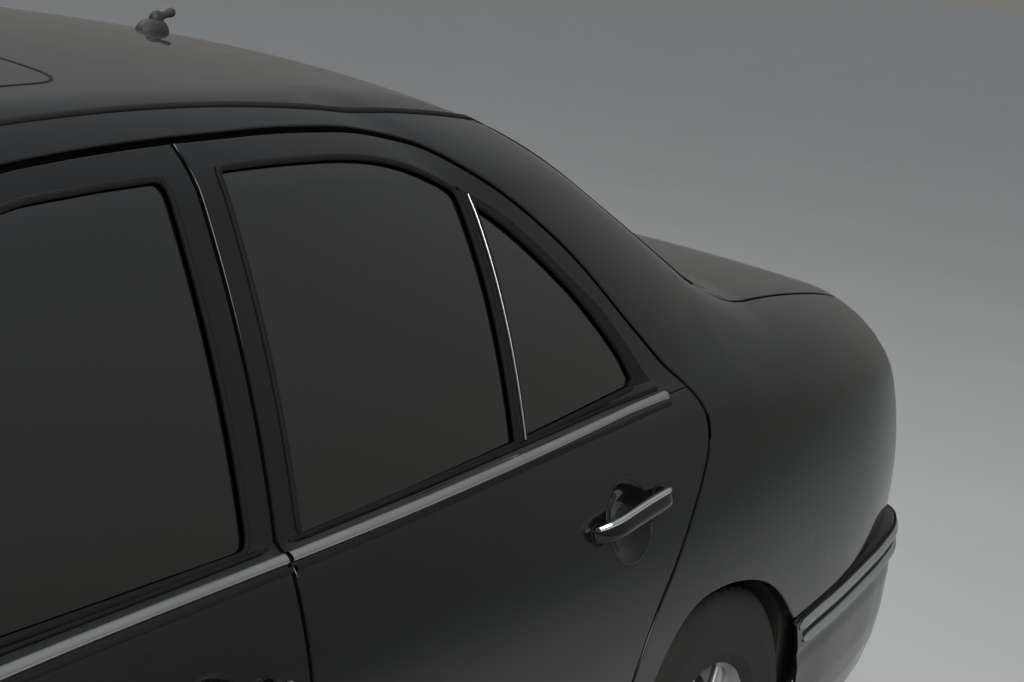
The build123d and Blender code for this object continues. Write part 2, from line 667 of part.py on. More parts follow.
def tyre(s, side):
    """A tyre as a ring of its real section, at one wheel."""
    half = TYRE_W / 2
    bead = RIM_SEAT_R + SEAT_GAP
    pad = half - 14
    section = [
        Line((bead, -pad), (bead, pad)),
        ThreePointArc((bead, pad), (RIM_LIP_R + 44, half), (TYRE_R - 22, half - 4)),
        ThreePointArc((TYRE_R - 22, half - 4), (TYRE_R - 8, half - 10), (TYRE_R - TYRE_CROWN + 6, half - 22)),
        ThreePointArc((TYRE_R - TYRE_CROWN + 6, half - 22), (TYRE_R, 0), (TYRE_R - TYRE_CROWN + 6, 22 - half)),
        ThreePointArc((TYRE_R - TYRE_CROWN + 6, 22 - half), (TYRE_R - 8, 10 - half), (TYRE_R - 22, 4 - half)),
        ThreePointArc((TYRE_R - 22, 4 - half), (RIM_LIP_R + 44, -half), (bead, -pad)),
    ]
    ring = revolve(make_face(Curve() + section), Axis.Y)
    lip = Rot(90, 0, 0) * Cylinder(RIM_LIP_R + SEAT_GAP, 3 * half)
    lip -= Rot(90, 0, 0) * Cylinder(RIM_LIP_R + 2, 2 * (pad - RIM_LIP_T - SEAT_GAP))
    return Pos(X(s), side * TRACK / 2, TYRE_R) * (ring - lip)


def rim(s, side):
    """An alloy wheel with its spokes, hub and brake disc."""
    half = TYRE_W / 2 - 14
    turned = Rot(90, 0, 0)
    outside = turned * Cylinder(RIM_SEAT_R, 2 * half)
    for edge in (-1, 1):
        outside += Pos(0, edge * (half - RIM_LIP_T / 2), 0) * turned * Cylinder(RIM_LIP_R, RIM_LIP_T)
    wheel = outside - turned * Cylinder(RIM_SEAT_R - RIM_WALL, 3 * half)
    face_y = side * (half - SPOKE_T)
    wheel += Pos(0, face_y, 0) * turned * Cylinder(HUB_R, HUB_T)
    for i in range(SPOKE_COUNT):
        spoke = Pos((HUB_R + RIM_SEAT_R) / 2 - 6, 0, 0) * Box(RIM_SEAT_R - HUB_R + 6, SPOKE_T, SPOKE_W)
        wheel += Pos(0, face_y, 0) * Rot(0, 360 / SPOKE_COUNT * i, 0) * spoke
    inner_y = side * (KINGPIN_Y + 17 - TRACK / 2)
    sleeve = Pos(0, (inner_y + face_y) / 2, 0) * turned * Cylinder(HUB_R - 22, abs(face_y - inner_y))
    wheel += sleeve
    wheel += Pos(0, inner_y + side * (8 + DISC_T / 2), 0) * turned * Cylinder(DISC_R, DISC_T)
    stub = Pos(0, (inner_y + face_y) / 2 - side * 4, 0) * turned * Cylinder(STUB_R + SEAT_GAP, abs(face_y - inner_y) + 8)
    wheel -= stub
    for i in range(BOLT_COUNT):
        hole = Pos(BOLT_CIRCLE_D / 2, face_y + side * HUB_T / 2, 0) * turned * Cylinder(BOLT_HOLE_R, HUB_T)
        wheel -= Rot(0, 360 / BOLT_COUNT * i, 0) * hole
    return Pos(X(s), side * TRACK / 2, TYRE_R) * wheel


def stub_reach():
    """How far out a stub axle goes inside a wheel."""
    return TRACK / 2 + TYRE_W / 2 - 14 - SPOKE_T - 2


def knuckle():
    """The left-hand steered knuckle: upright, stub axle and brake caliper."""
    low, high = BALL_JOINTS
    post = box(-24, 24, KINGPIN_Y - 26, KINGPIN_Y + 12, low + 12, high - 12)
    body = post + rod(0, (KINGPIN_Y + 6) / 2 + KINGPIN_Y / 2, TYRE_R, 40, 18, "y")
    body += rod(0, (KINGPIN_Y + stub_reach()) / 2, TYRE_R, STUB_R, stub_reach() - KINGPIN_Y, "y")
    for z in (low + 12, high - 12):
        body -= rod(0, KINGPIN_Y, z, 9 + SEAT_GAP, 40)
    return body


def front_subframe():
    """Cross-member, wishbones and their ball studs under the engine."""
    low, high = BALL_JOINTS
    body = box(-130, 130, -429, 429, SUBFRAME_Z, SUBFRAME_Z + 50)
    for side in (1, -1):
        arm = box(-24, 24, 400, KINGPIN_Y + 12, low - 24, low - 4)
        arm += box(-90, 90, 400, 440, low - 24, SUBFRAME_Z + 20)
        stud = rod(0, KINGPIN_Y, low, 9, 34)
        upper = box(-20, 20, STEERED_WELL_Y + SEAT_GAP, KINGPIN_Y + 12, high + 4, high + 22)
        upper_stud = rod(0, KINGPIN_Y, high, 9, 30)
        for piece in (arm + stud, upper + upper_stud):
            body = Compound(children=[*body.solids(), *(piece if side > 0 else right(piece)).solids()])
    lower = body.solids()
    main = lower[0]
    for piece in lower[1:]:
        main = main + piece
    return main


def engine():
    """The straight-six engine: sump, block, head, ribbed cover, manifolds, pulleys and bell housing."""
    half = CYLINDERS * CYLINDER_PITCH / 2 + 10
    s0, s1 = ENGINE_S - half, ENGINE_S + half
    base = SUBFRAME_Z + 50 + SEAT_GAP
    sump = loft([
        Pos(X(ENGINE_S), 0, base) * Rectangle(2 * half - 60, 150),
        Pos(X(ENGINE_S), 0, CRANK_Z - 50) * Rectangle(2 * half, 230),
    ])
    body = sump + box(s0, s1, -115, 115, CRANK_Z - 50, 580) + box(s0 + 5, s1 - 5, -128, 128, 580, 665)
    cover = box(s0 + 12, s1 - 12, -98, 98, 665, 735)
    body += fillet([e for e in cover.edges() if e.center().Z > 700], 22)
    for i in range(CYLINDERS):
        s = s0 + 10 + CYLINDER_PITCH * (i + 0.5)
        body += box(s - 5, s + 5, -80, 80, 734, 741)
        for side in (1, -1):
            body += rod(s, side * 160, 615, 20, 80, "y")
    for side in (1, -1):
        body += rod(ENGINE_S, side * 215, 615, 36, 2 * half - 20, "x")
        body += box(ENGINE_S - 45, ENGINE_S + 45, side * 110, side * 300, base, base + 24)
        body += box(ENGINE_S - 35, ENGINE_S + 35, side * 110, side * 160, base, CRANK_Z)
    for y, z, r in ((0, CRANK_Z, 78), (120, 470, 48), (-118, 520, 58)):
        body += rod(s0 - 12, y, z, r, 24, "x") + rod(s0 + 10, y, z, r / 2, 60, "x")
    body += rod(s0 + 90, 0, 742, 26, 24)
    bell = Pos(X((s1 + 290) / 2), 0, CRANK_Z) * Rot(0, -90, 0) * Cone(150, 118, 290 - s1)
    return body + bell


def rear_axle():
    """Rear carrier with the final drive, the half shafts and the stub axles."""
    body = box(2730, 2930, -560, 560, 250, 310) + box(2760, 2960, -110, 110, 240, 410)
    reach = stub_reach()
    body += rod(WHEELBASE, 0, TYRE_R, STUB_R, 2 * reach, "y")
    for side in (1, -1):
        body += rod(WHEELBASE, side * (KINGPIN_Y - 10), TYRE_R, 45, 30, "y")
        body += box(2780, 2886, side * 500, side * 690, 290, 330)
        for s in (2765, 2895):
            body += rod(s, side * 480, (300 + AXLE_TUNNEL_Z - SEAT_GAP) / 2, 32, AXLE_TUNNEL_Z - SEAT_GAP - 300)
    return body


def steering_wheel():
    """The steering wheel on its tilted column."""
    body = Torus(STEER_R, STEER_RIM_R) + Cylinder(58, 42)
    for angle in (10, 170, 250, 290):
        body += Rot(0, 0, angle) * (Pos(STEER_R / 2, 0, 0) * Box(STEER_R, 26, 14))
    body -= Pos(0, 0, -21) * Cylinder(14 + SEAT_GAP, 30)
    return place_on_column(body)


def place_on_column(body):
    """Put something made about +Z onto the steering column's axis."""
    s, y, z = STEER_AT
    return Pos(X(s), y, z) * Rot(0, -65, 0) * body


def dashboard():
    """The dashboard across the cabin, with the steering column."""
    profile = [(365.3, 560), (365.3, 880), (560, 896), (770, 890), (830, 845), (810, 700), (700, 560)]
    body = side_prism(profile, y0=-640, y1=640)
    body += place_on_column(Pos(0, 0, -120) * Cylinder(34, 190))
    body += place_on_column(Pos(0, 0, -17.5) * Cylinder(14, 21))
    return body


def front_seats():
    """Both front seats: cushion, backrest and head restraint as one plain solid each."""
    seats = []
    for y in (370, -370):
        cushion = box(1150, 1650, y - 255, y + 255, FLOOR_Z + 2 * FLOOR_T + SEAT_GAP, 560)
        back = Pos(X(1690), y, 840) * Rot(0, -14, 0) * Box(130, 500, 640)
        rest = Pos(X(1785), y, 1200) * Rot(0, -10, 0) * Box(90, 270, 150)
        seats.append((cushion + back + rest).solids()[0])
    return Compound(children=seats)


def rear_seat():
    """The rear bench: cushion and backrest."""
    body = box(2060, 2530, -640, 640, FLOOR_Z + 2 * FLOOR_T + SEAT_GAP, 530)
    body += Pos(X(2490), 0, 760) * Rot(0, -14, 0) * Box(110, 1240, 560)
    body -= box(2050, 2560, -TUNNEL_HALF_W - 1, TUNNEL_HALF_W + 1, 0, TUNNEL_Z + 1)
    return body & box(2000, 2539.5, -1000, 1000, 0, 1100)


def exhaust():
    """The exhaust pipe under the floor, with its silencers and tail pipe."""
    z = EXHAUST_Z
    body = rod(1900, EXHAUST_Y, z, EXHAUST_R, 3200, "x") + rod(1500, EXHAUST_Y, z, 60, 460, "x")
    body = body & box(-900, 4000, -1000, 1000, 0, EXHAUST_TOP_Z)
    silencer = box(3180, 3620, EXHAUST_Y - 230, EXHAUST_Y + 130, z - 45, z + 60)
    return body + silencer + rod(3700, EXHAUST_Y - 160, z + 10, 30, 420, "x")


def mirror_housing():
    """The left-hand door mirror with its foot on the door."""
    s, y, z = MIRROR_AT
    shellform = Pos(X(s), y, z) * fillet(Box(110, 210, 140).edges(), 34)
    foot = box(s - 30, s + 40, MIRROR_FOOT_Y, y, z - 60, z - 20) - HALF_ROOF[0.0] - HALF_SKIN[0.0]
    return shellform + foot.solids().sort_by(SortBy.VOLUME)[-1]


def wipers():
    """Two wiper arms lying on the glass."""
    arms = []
    for y0, y1 in ((-60, -560), (560, 60)):
        face = [(y0, 1000), (y1, 1022), (y1, 1034), (y0, 1018)]
        arms.append(front_prism(face, 0, 700) & WIPER_LAYER)
    return Compound(children=[s for a in arms for s in a.solids()])


def aerial():
    """The roof aerial's foot, with the socket for its rod pointing back and up."""
    s, y = AERIAL_AT
    socket_r, socket_l = AERIAL_SOCKET
    low = (Align.CENTER, Align.CENTER, Align.MIN)
    foot = Pos(X(s), y, AERIAL_BASE_Z) * Cone(30, 15, AERIAL_TOP_Z - AERIAL_BASE_Z, align=low)
    socket = Pos(X(s), y, AERIAL_TOP_Z - 2 * socket_r) * Rot(0, -75, 0) * Cylinder(socket_r, socket_l, align=low)
    return (foot + socket) - ROOF[0.0]


STRIP_LAYER = lower_body(-6) - lower_body(-SEAT_GAP)
GRIP_LAYER = lower_body(-HANDLE_PROUD) - lower_body(-HANDLE_PROUD + 12)
POST_LAYER = lower_body(-HANDLE_PROUD + 5) - lower_body(-SEAT_GAP)
WIPER_LAYER = cabin(-8) - cabin(SCREEN_INSET - SEAT_GAP)
screens = front_prism(SCREEN_FRONT, 100, 1250, 30) + front_prism(SCREEN_REAR, 2400, 3400, 40)


def screen(outline, s0, s1, radius):
    """One of the two bonded screens."""
    sheet = ROOF[SCREEN_INSET] - ROOF[SCREEN_INSET + SCREEN_T]
    face = offset(fillet(make_face(Polyline(outline, close=True)).vertices(), radius), -SEAT_GAP)
    block = extrude(Plane(origin=(X(s1), 0, 0), x_dir=(0, 1, 0), z_dir=(1, 0, 0)) * face, s1 - s0)
    return sheet & block


def build_all():
    """Make every piece and write its file."""
    pieces = {}
    for name in DOORS:
        pieces[f"door_{name}"] = door(name)
        pieces[f"door_glass_{name}"] = door_glass(name)
        pieces[f"door_trim_{name}"] = door_trim(name)
    pieces["side_frame"] = side_frame()
    pieces["mirror"] = mirror_housing()
    pieces["knuckle"] = knuckle()
    for name, piece in pieces.items():
        save(piece, f"{name}_left")
        save(right(piece), f"{name}_right")
    for place, s in (("front", 0), ("rear", WHEELBASE)):
        for side_name, side in (("left", 1), ("right", -1)):
            save(tyre(s, side), f"tyre_{place}_{side_name}")
            save(rim(s, side), f"wheel_{place}_{side_name}")
    save(both(wing()), "front_wings")
    save(both(quarter_panel()), "quarter_panels")
    save(nose_panel(), "nose_panel")
    save(grille(), "grille")
    save(bonnet(), "bonnet")
    save(boot_lid(), "boot_lid")
    save(roof_panel(), "roof_panel")
    save(cowl_panel(), "cowl_panel")
    save(rear_deck(), "rear_deck")
    save(floor_pan(), "floor_pan")
    lamps = (SKIN[0.0] & headlamp_zone()) - SKIN[DOOR_T]
    save(Compound(children=lamps.solids()), "headlamps")
    save(both((HALF_SKIN[0.0] & tail_lamp_zone()) - HALF_SKIN[DOOR_T]), "tail_lamps")
    save(bumper(FRONT_BUMPER, FRONT_BUMPER_S, 215, BUMPER_TOP_Z), "front_bumper")
    save(bumper(REAR_BUMPER, REAR_BUMPER_S, 250, BUMPER_TOP_Z), "rear_bumper")
    save(screen(SCREEN_FRONT, 100, 1250, 30), "windscreen")
    save(screen(SCREEN_REAR, 2400, 3400, 40), "rear_window")
    save(front_subframe(), "front_subframe")
    save(rear_axle(), "rear_axle")
    save(steering_wheel(), "steering_wheel")
    save(dashboard(), "dashboard")
    save(front_seats(), "front_seats")
    save(rear_seat(), "rear_seat")
    save(exhaust(), "exhaust")
    save(wipers(), "wipers")
    save(aerial(), "roof_aerial")
    save(engine(), "engine_block")


if __name__ == "__main__":
    build_all()
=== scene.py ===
"""A dark four-door saloon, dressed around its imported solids.

The outer skin is one smooth body, given as a field: how deep a point lies under the surface. Panels are grids
on that surface between their real gaps, closed with rolled edges. Places along the car are stations: the
distance behind the front axle. Inside this file the car is in millimetres, and meshes are written in metres.
"""
from __future__ import annotations

import json
import logging
import math
from dataclasses import dataclass, field
from enum import Enum
from typing import Callable, Sequence

import bpy
import numpy as np
from mathutils import Matrix, Vector

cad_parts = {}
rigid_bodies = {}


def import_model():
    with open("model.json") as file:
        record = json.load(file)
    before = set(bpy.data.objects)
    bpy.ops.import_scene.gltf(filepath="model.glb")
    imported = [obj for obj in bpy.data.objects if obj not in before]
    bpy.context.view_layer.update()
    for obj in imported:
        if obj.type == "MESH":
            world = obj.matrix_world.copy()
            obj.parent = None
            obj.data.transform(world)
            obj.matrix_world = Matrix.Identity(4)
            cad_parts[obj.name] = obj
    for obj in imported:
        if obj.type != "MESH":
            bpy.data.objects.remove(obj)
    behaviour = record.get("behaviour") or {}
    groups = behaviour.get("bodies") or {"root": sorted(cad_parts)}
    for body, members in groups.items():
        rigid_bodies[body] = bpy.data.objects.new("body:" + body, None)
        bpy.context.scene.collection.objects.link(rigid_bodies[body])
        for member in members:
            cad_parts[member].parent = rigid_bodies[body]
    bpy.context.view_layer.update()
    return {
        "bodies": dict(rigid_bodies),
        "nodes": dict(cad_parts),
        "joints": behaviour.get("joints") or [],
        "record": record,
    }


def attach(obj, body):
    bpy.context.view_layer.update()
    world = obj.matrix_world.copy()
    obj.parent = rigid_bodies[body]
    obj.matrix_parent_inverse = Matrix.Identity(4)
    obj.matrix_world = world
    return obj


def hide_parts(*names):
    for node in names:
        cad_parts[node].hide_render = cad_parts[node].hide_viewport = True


Array = np.ndarray
log = logging.getLogger("saloon")

MM = 0.001


@dataclass(frozen=True)
class Layout:
    """The car's driving sizes, in millimetres."""

    length: float = 4795.0
    front_overhang: float = 840.0
    wheelbase: float = 2833.0
    track: float = 1530.0
    tyre_radius: float = 324.0
    tyre_width: float = 205.0
    arch_radius: float = 352.0
    gap: float = 6.0
    skin: float = 4.0
    edge: float = 2.2

    @property
    def front_axle_x(self) -> float:
        """X of the front axle."""
        return self.length / 2 - self.front_overhang


CAR = Layout()


def row_frame(points: Array) -> Array:
    """Turns (station, y, z) in millimetres into the row frame in metres."""
    out = np.array(points, float)
    out[..., 0] = CAR.front_axle_x - out[..., 0]
    return out * MM


class Track:
    """A natural cubic spline through values given at stations."""

    def __init__(self, at: Sequence[float], values: Sequence[float]) -> None:
        """Solves the spline's second derivatives.

        Args:
            at: increasing places of the knots.
            values: one value at each knot.
        """
        self.at = np.array(at, float)
        self.values = np.array(values, float)
        n = len(self.at)
        gaps = np.diff(self.at)
        slopes = np.diff(self.values) / gaps
        matrix, right = np.eye(n), np.zeros(n)
        for i in range(1, n - 1):
            matrix[i, i - 1 : i + 2] = (gaps[i - 1], 2 * (gaps[i - 1] + gaps[i]), gaps[i])
            right[i] = 6 * (slopes[i] - slopes[i - 1])
        self.bend = np.linalg.solve(matrix, right)

    def __call__(self, s: Array) -> Array:
        """The spline's value at each place, held beyond the ends."""
        s = np.clip(s, self.at[0], self.at[-1])
        i = np.clip(np.searchsorted(self.at, s) - 1, 0, len(self.at) - 2)
        h = self.at[i + 1] - self.at[i]
        a = (self.at[i + 1] - s) / h
        b = 1.0 - a
        cubic = ((a**3 - a) * self.bend[i] + (b**3 - b) * self.bend[i + 1]) * h * h / 6
        return a * self.values[i] + b * self.values[i + 1] + cubic


def round_both(a: Array, b: Array, r: Array | float) -> Array:
    """Depth inside two overlapping bodies at once, with the outer corner rounded to radius r."""
    r = np.maximum(r, 0.01)
    corner = np.hypot(np.maximum(r - a, 0), np.maximum(r - b, 0))
    return np.maximum(r, np.minimum(a, b)) - corner


def fillet_union(a: Array, b: Array, r: Array | float) -> Array:
    """Depth inside either of two bodies, with the inner corner between them filled to radius r."""
    r = np.maximum(r, 0.01)
    corner = np.hypot(np.maximum(r + a, 0), np.maximum(r + b, 0))
    return np.minimum(-r, np.maximum(a, b)) + corner


def circle_depth(p: tuple, q: tuple, r: tuple, x: Array, y: Array) -> Array:
    """Depth of (x, y) inside the circle through three points, as arrays."""
    ax, ay, bx, by, cx, cy = *p, *q, *r
    d = 2 * (ax * (by - cy) + bx * (cy - ay) + cx * (ay - by))
    pa, pb, pc = ax**2 + ay**2, bx**2 + by**2, cx**2 + cy**2
    ux = (pa * (by - cy) + pb * (cy - ay) + pc * (ay - by)) / d
    uy = (pa * (cx - bx) + pb * (ax - cx) + pc * (bx - ax)) / d
    radius = np.hypot(ax - ux, ay - uy)
    return radius - np.hypot(x - ux, y - uy)


class BodySkin:
    """The car's outer surface as a field: positive depth is inside."""

    LOWER = np.array(
        [
            # station, bottom z, bottom y, widest z, widest y, shoulder z, shoulder y, shoulder radius, centre z
            (-860, 330, 500, 500, 560, 640, 470, 60, 690),
            (-700, 290, 650, 520, 738, 745, 645, 80, 790),
            (-520, 240, 745, 560, 828, 822, 735, 70, 866),
            (-150, 200, 805, 600, 878, 884, 785, 50, 928),
            (420, 190, 832, 620, 893, 905, 812, 20, 985),
            (1100, 188, 845, 620, 898, 909, 823, 12, 990),
            (1800, 188, 847, 620, 899, 945, 822, 12, 1020),
            (2500, 195, 840, 620, 895, 981, 799, 20, 1050),
            (2800, 208, 832, 628, 890, 1005, 795, 60, 1068),
            (3118, 225, 822, 640, 878, 1035, 790, 115, 1083),
            (3550, 270, 765, 650, 838, 1022, 745, 130, 1066),
            (3800, 300, 690, 660, 780, 992, 690, 120, 1032),
            (3960, 320, 640, 660, 735, 955, 640, 90, 985),
        ],
        float,
    )
    CABIN_Z = 1050.0
    SCREEN_CENTRE_S = (421.0, 1.73, 0.0)
    SCREEN_CORNER_S = (684.0, 1.376, 0.0)
    SCREEN_CORNER_Y = (732.0, -0.345, -0.00047)
    SIDE_S = 1700.0
    SIDE_Y = (769.0, -0.368, -0.00036)
    PILLAR_S = (2635.0, -1.72, 0.0)
    PILLAR_Y = (750.0, -0.29, -0.00062)
    MIDDLE_S = (2882.0, -1.80, 0.0)
    MIDDLE_Y = (719.0, -0.25, -0.00060)
    REAR_CORNER_S = (3100.0, -1.94, 0.0)
    REAR_CORNER_Y = (657.0, -0.30, -0.00038)
    REAR_CENTRE_S = (3228.0, -1.90, 0.0)
    ROOF_TOP = (1780.0, 1438.0)
    ROOF_BEND = (7100.0, 5600.0)

    def __init__(self) -> None:
        """Fits one spline along the car to each column of the section table."""
        s = self.LOWER[:, 0]
        self.tracks = [Track(s, self.LOWER[:, k]) for k in range(1, 9)]

    def lower(self, s: Array, y: Array, z: Array) -> Array:
        """Depth inside the body below the windows: arcs for the sides and the crown, a flat bottom, curved ends."""
        z_b, y_b, z_w, y_w, z_s, y_s, r_s, z_t = (t(s) for t in self.tracks)
        y = np.abs(y)

        def side(corner_y: Array, corner_z: Array) -> Array:
            """Depth inside the arc that is upright at the widest point and ends at a corner."""
            dy, dz = y_w - corner_y, np.abs(corner_z - z_w)
            r = (dy * dy + dz * dz) / (2 * dy)
            return r - np.hypot(np.maximum(y - y_w + r, 0), z - z_w)

        flank = np.where(z > z_w, side(y_s, z_s), side(y_b, z_b))
        rise = np.maximum(z_t - z_s, 5.0)
        r_top = (y_s * y_s + rise * rise) / (2 * rise)
        crown = r_top - np.hypot(y, z - z_t + r_top)
        depth = round_both(flank, crown, r_s)
        depth = round_both(depth, z - z_b, 30.0)
        tail = (
            3909.0 - y * y / 7200.0 - np.maximum(z - 700, 0) ** 2 / 5200.0
            - np.maximum(640 - z, 0) ** 2 / 2600.0
        )
        nose = (
            795.0 - y * y / 3900.0 - np.maximum(z - 560, 0) ** 2 / 560.0
            - np.maximum(520 - z, 0) ** 2 / 2200.0
        )
        depth = round_both(depth, tail - s, 70.0)
        return round_both(depth, (s + nose) * 0.8, 55.0)

    @staticmethod
    def end_arc(sag: Array, half: Array, inward: Array, y: Array) -> Array:
        """Depth behind an arc across the car, of half chord `half` and height `sag`, straight beyond its centre."""
        r = (half * half + sag * sag) / (2 * sag)
        return r - np.hypot(np.minimum(inward - r, 0), y)

    def cabin(self, s: Array, y: Array, z: Array) -> Array:
        """Depth inside the glasshouse: four arcs in plan at each height, and a crowned roof."""
        h = z - self.CABIN_Z
        y = np.abs(y)

        def at(values: tuple) -> Array:
            """A plan value at each height."""
            return values[0] + values[1] * h + values[2] * h * h

        corner_f = (at(self.SCREEN_CORNER_S), at(self.SCREEN_CORNER_Y))
        corner_r = (at(self.REAR_CORNER_S), at(self.REAR_CORNER_Y))
        pillar = (at(self.PILLAR_S), at(self.PILLAR_Y))
        middle = (at(self.MIDDLE_S), at(self.MIDDLE_Y))
        side_mid = (np.full_like(h, self.SIDE_S), at(self.SIDE_Y))
        centre_f, centre_r = (at(self.SCREEN_CENTRE_S),), (at(self.REAR_CENTRE_S),)
        flank = circle_depth(corner_f, side_mid, pillar, s, y) * 0.92
        rear_flank = circle_depth(pillar, middle, corner_r, s, y) * 0.92
        screen = self.end_arc(corner_f[0] - centre_f[0], corner_f[1], s - centre_f[0], y) * 0.5
        back = self.end_arc(centre_r[0] - corner_r[0], corner_r[1], centre_r[0] - s, y) * 0.46
        ahead = np.clip((pillar[0] + 60 - s) / 120, 0, 1)
        flank = flank * ahead + rear_flank * (1 - ahead)
        depth = round_both(round_both(flank, screen, 26.0), back, 30.0)
        ds = s - self.ROOF_TOP[0]
        roof = self.ROOF_TOP[1] - ds * ds / (2 * self.ROOF_BEND[0]) - y * y / (2 * self.ROOF_BEND[1]) - z
        return round_both(round_both(depth, roof, 85.0), z - 880.0, 10.0)

    def depth(self, points: Array) -> Array:
        """Depth under the skin of points given as (station, y, z)."""
        s, y, z = points[..., 0], points[..., 1], points[..., 2]
        blend = np.interp(s, (300, 2450, 2900, 3300), (6.0, 6.0, 70.0, 70.0))
        return fillet_union(self.lower(s, y, z), self.cabin(s, y, z), blend)

    def gradient(self, points: Array) -> Array:
        """How fast the depth grows along each axis, by central differences."""
        step = 0.5
        grad = np.empty_like(points)
        for k in range(3):
            shift = np.zeros(3)
            shift[k] = step
            grad[..., k] = (self.depth(points + shift) - self.depth(points - shift)) / (2 * step)
        return grad

    def normal(self, points: Array) -> Array:
        """Outward unit normals of the field."""
        grad = -self.gradient(points)
        return grad / np.maximum(np.linalg.norm(grad, axis=-1, keepdims=True), 1e-9)

    def find(self, points: Array, axis: int, low: float, high: float) -> Array:
        """Moves points along one axis onto the skin, between a place inside and a place outside.

        Args:
            points: (station, y, z) of each point; the value on the axis is replaced.
            axis: 0 along the car, 1 across it, 2 upwards.
            low: a value that lies inside the body.
            high: a value that lies outside it.

        Returns:
            The points on the surface.
        """
        points = np.array(points, float)
        inside = np.full(points.shape[:-1], float(low))
        outside = np.full(points.shape[:-1], float(high))
        for _ in range(30):
            points[..., axis] = (inside + outside) / 2
            deep = self.depth(points) > 0
            inside = np.where(deep, points[..., axis], inside)
            outside = np.where(deep, outside, points[..., axis])
        return points

    def push_in(self, points: Array, least: float) -> Array:
        """Moves points that lie shallower than a depth straight in, until they lie that deep."""
        points = np.array(points, float)
        for _ in range(3):
            lack = np.clip(least - self.depth(points), 0, 60)
            points -= self.normal(points) * lack[..., None]
        return points


SKIN = BodySkin()


class View(Enum):
    """The direction in which a place on the body is given."""

    SIDE = "side"
    PLAN = "plan"
    FRONT = "front"
    REAR = "rear"


def seat(view: View, pairs: Sequence[Sequence[float]]) -> Array:
    """Carries flat places onto the skin.

    Args:
        view: the direction in which they are given.
        pairs: (station, z) from the left side, (station, y) in plan, (y, z) from the front or the rear.

    Returns:
        (station, y, z) of each place.
    """
    flat = np.array(pairs, float)
    out = np.zeros(flat.shape[:-1] + (3,))
    if view is View.SIDE:
        out[..., 0], out[..., 2] = flat[..., 0], flat[..., 1]
        return SKIN.find(out, 1, 0.0, 1000.0)
    if view is View.PLAN:
        out[..., 0], out[..., 1] = flat[..., 0], flat[..., 1]
        return SKIN.find(out, 2, 560.0, 1500.0)
    out[..., 1], out[..., 2] = flat[..., 0], flat[..., 1]
    return SKIN.find(out, 0, 1800.0, -900.0 if view is View.FRONT else 4100.0)


def side(*pairs: Sequence[float]) -> Array:
    """Places on the left side, as (station, z)."""
    return seat(View.SIDE, pairs)


def plan(*pairs: Sequence[float]) -> Array:
    """Places seen from above, as (station, y)."""
    return seat(View.PLAN, pairs)


def front(*pairs: Sequence[float]) -> Array:
    """Places seen from the front, as (y, z)."""
    return seat(View.FRONT, pairs)


def rear(*pairs: Sequence[float]) -> Array:
    """Places seen from the rear, as (y, z)."""
    return seat(View.REAR, pairs)


def settle(points: Array, turns: int = 8) -> Array:
    """Moves points onto the skin along its gradient, by Newton's steps."""
    points = np.array(points, float)
    for _ in range(turns):
        grad = SKIN.gradient(points)
        size = np.maximum(np.sum(grad * grad, axis=-1, keepdims=True), 0.04)
        points = points - grad * (SKIN.depth(points)[..., None] / size).clip(-60, 60)
    return points


def smooth_line(points: Array, count: int) -> Array:
    """A smooth curve through points, spaced evenly: cubic Hermite spans with central-difference tangents."""
    p = np.array(points, float)
    if len(p) == 2:
        t = np.linspace(0, 1, count)[:, None]
        return p[0] * (1 - t) + p[1] * t
    at = np.concatenate([[0], np.cumsum(np.linalg.norm(np.diff(p, axis=0), axis=1))])
    tangent = np.gradient(p, at, axis=0)
    fine = np.linspace(0, at[-1], count * 12)
    i = np.clip(np.searchsorted(at, fine) - 1, 0, len(at) - 2)
    h = (at[i + 1] - at[i])[:, None]
    u = (fine - at[i])[:, None] / h
    curve = (2 * u**3 - 3 * u**2 + 1) * p[i] + (u**3 - 2 * u**2 + u) * h * tangent[i]
    curve = curve + (3 * u**2 - 2 * u**3) * p[i + 1] + (u**3 - u**2) * h * tangent[i + 1]
    return spread(curve, count)


def spread(curve: Array, count: int) -> Array:
    """Points spaced evenly by length along a dense polyline."""
    run = np.concatenate([[0], np.cumsum(np.linalg.norm(np.diff(curve, axis=0), axis=1))])
    at = np.linspace(0, run[-1], count)
    return np.stack([np.interp(at, run, curve[:, k]) for k in range(curve.shape[1])], axis=1)


def on_skin(points: Array, count: int) -> Array:
    """A smooth curve on the skin through places on it."""
    return settle(smooth_line(points, count))


def chain(*curves: Array) -> Array:
    """Curves end to end, with each shared point kept once."""
    return np.concatenate([curves[0]] + [c[1:] for c in curves[1:]])


def coons(bottom: Array, top: Array, left: Array, right: Array, u: Array | None = None,
          v: Array | None = None) -> Array:
    """Fills four joined boundary curves: the two ruled surfaces added, less the bilinear of the corners.

    Args:
        bottom: the curve at v = 0, along u.
        top: the curve at v = 1, along u.
        left: the curve at u = 0, along v.
        right: the curve at u = 1, along v.
        u: where the points of bottom and top lie along them, if not evenly.
        v: the same for left and right.

    Returns:
        Grid points, first index along u, second along v.
    """
    u = (np.linspace(0, 1, len(bottom)) if u is None else u)[:, None, None]
    v = (np.linspace(0, 1, len(left)) if v is None else v)[None, :, None]
    ruled_v = (1 - v) * bottom[:, None] + v * top[:, None]
    ruled_u = (1 - u) * left[None] + u * right[None]
    corners = (
        (1 - u) * (1 - v) * bottom[0] + u * (1 - v) * bottom[-1] + (1 - u) * v * top[0]
        + u * v * top[-1]
    )
    return ruled_v + ruled_u - corners


def ruled(bottom: Array, top: Array, across: int) -> Array:
    """A strip between two curves of equal count: straight rulings, then settled on the skin."""
    v = np.linspace(0, 1, across)[None, :, None]
    return settle(bottom[:, None] * (1 - v) + top[:, None] * v)


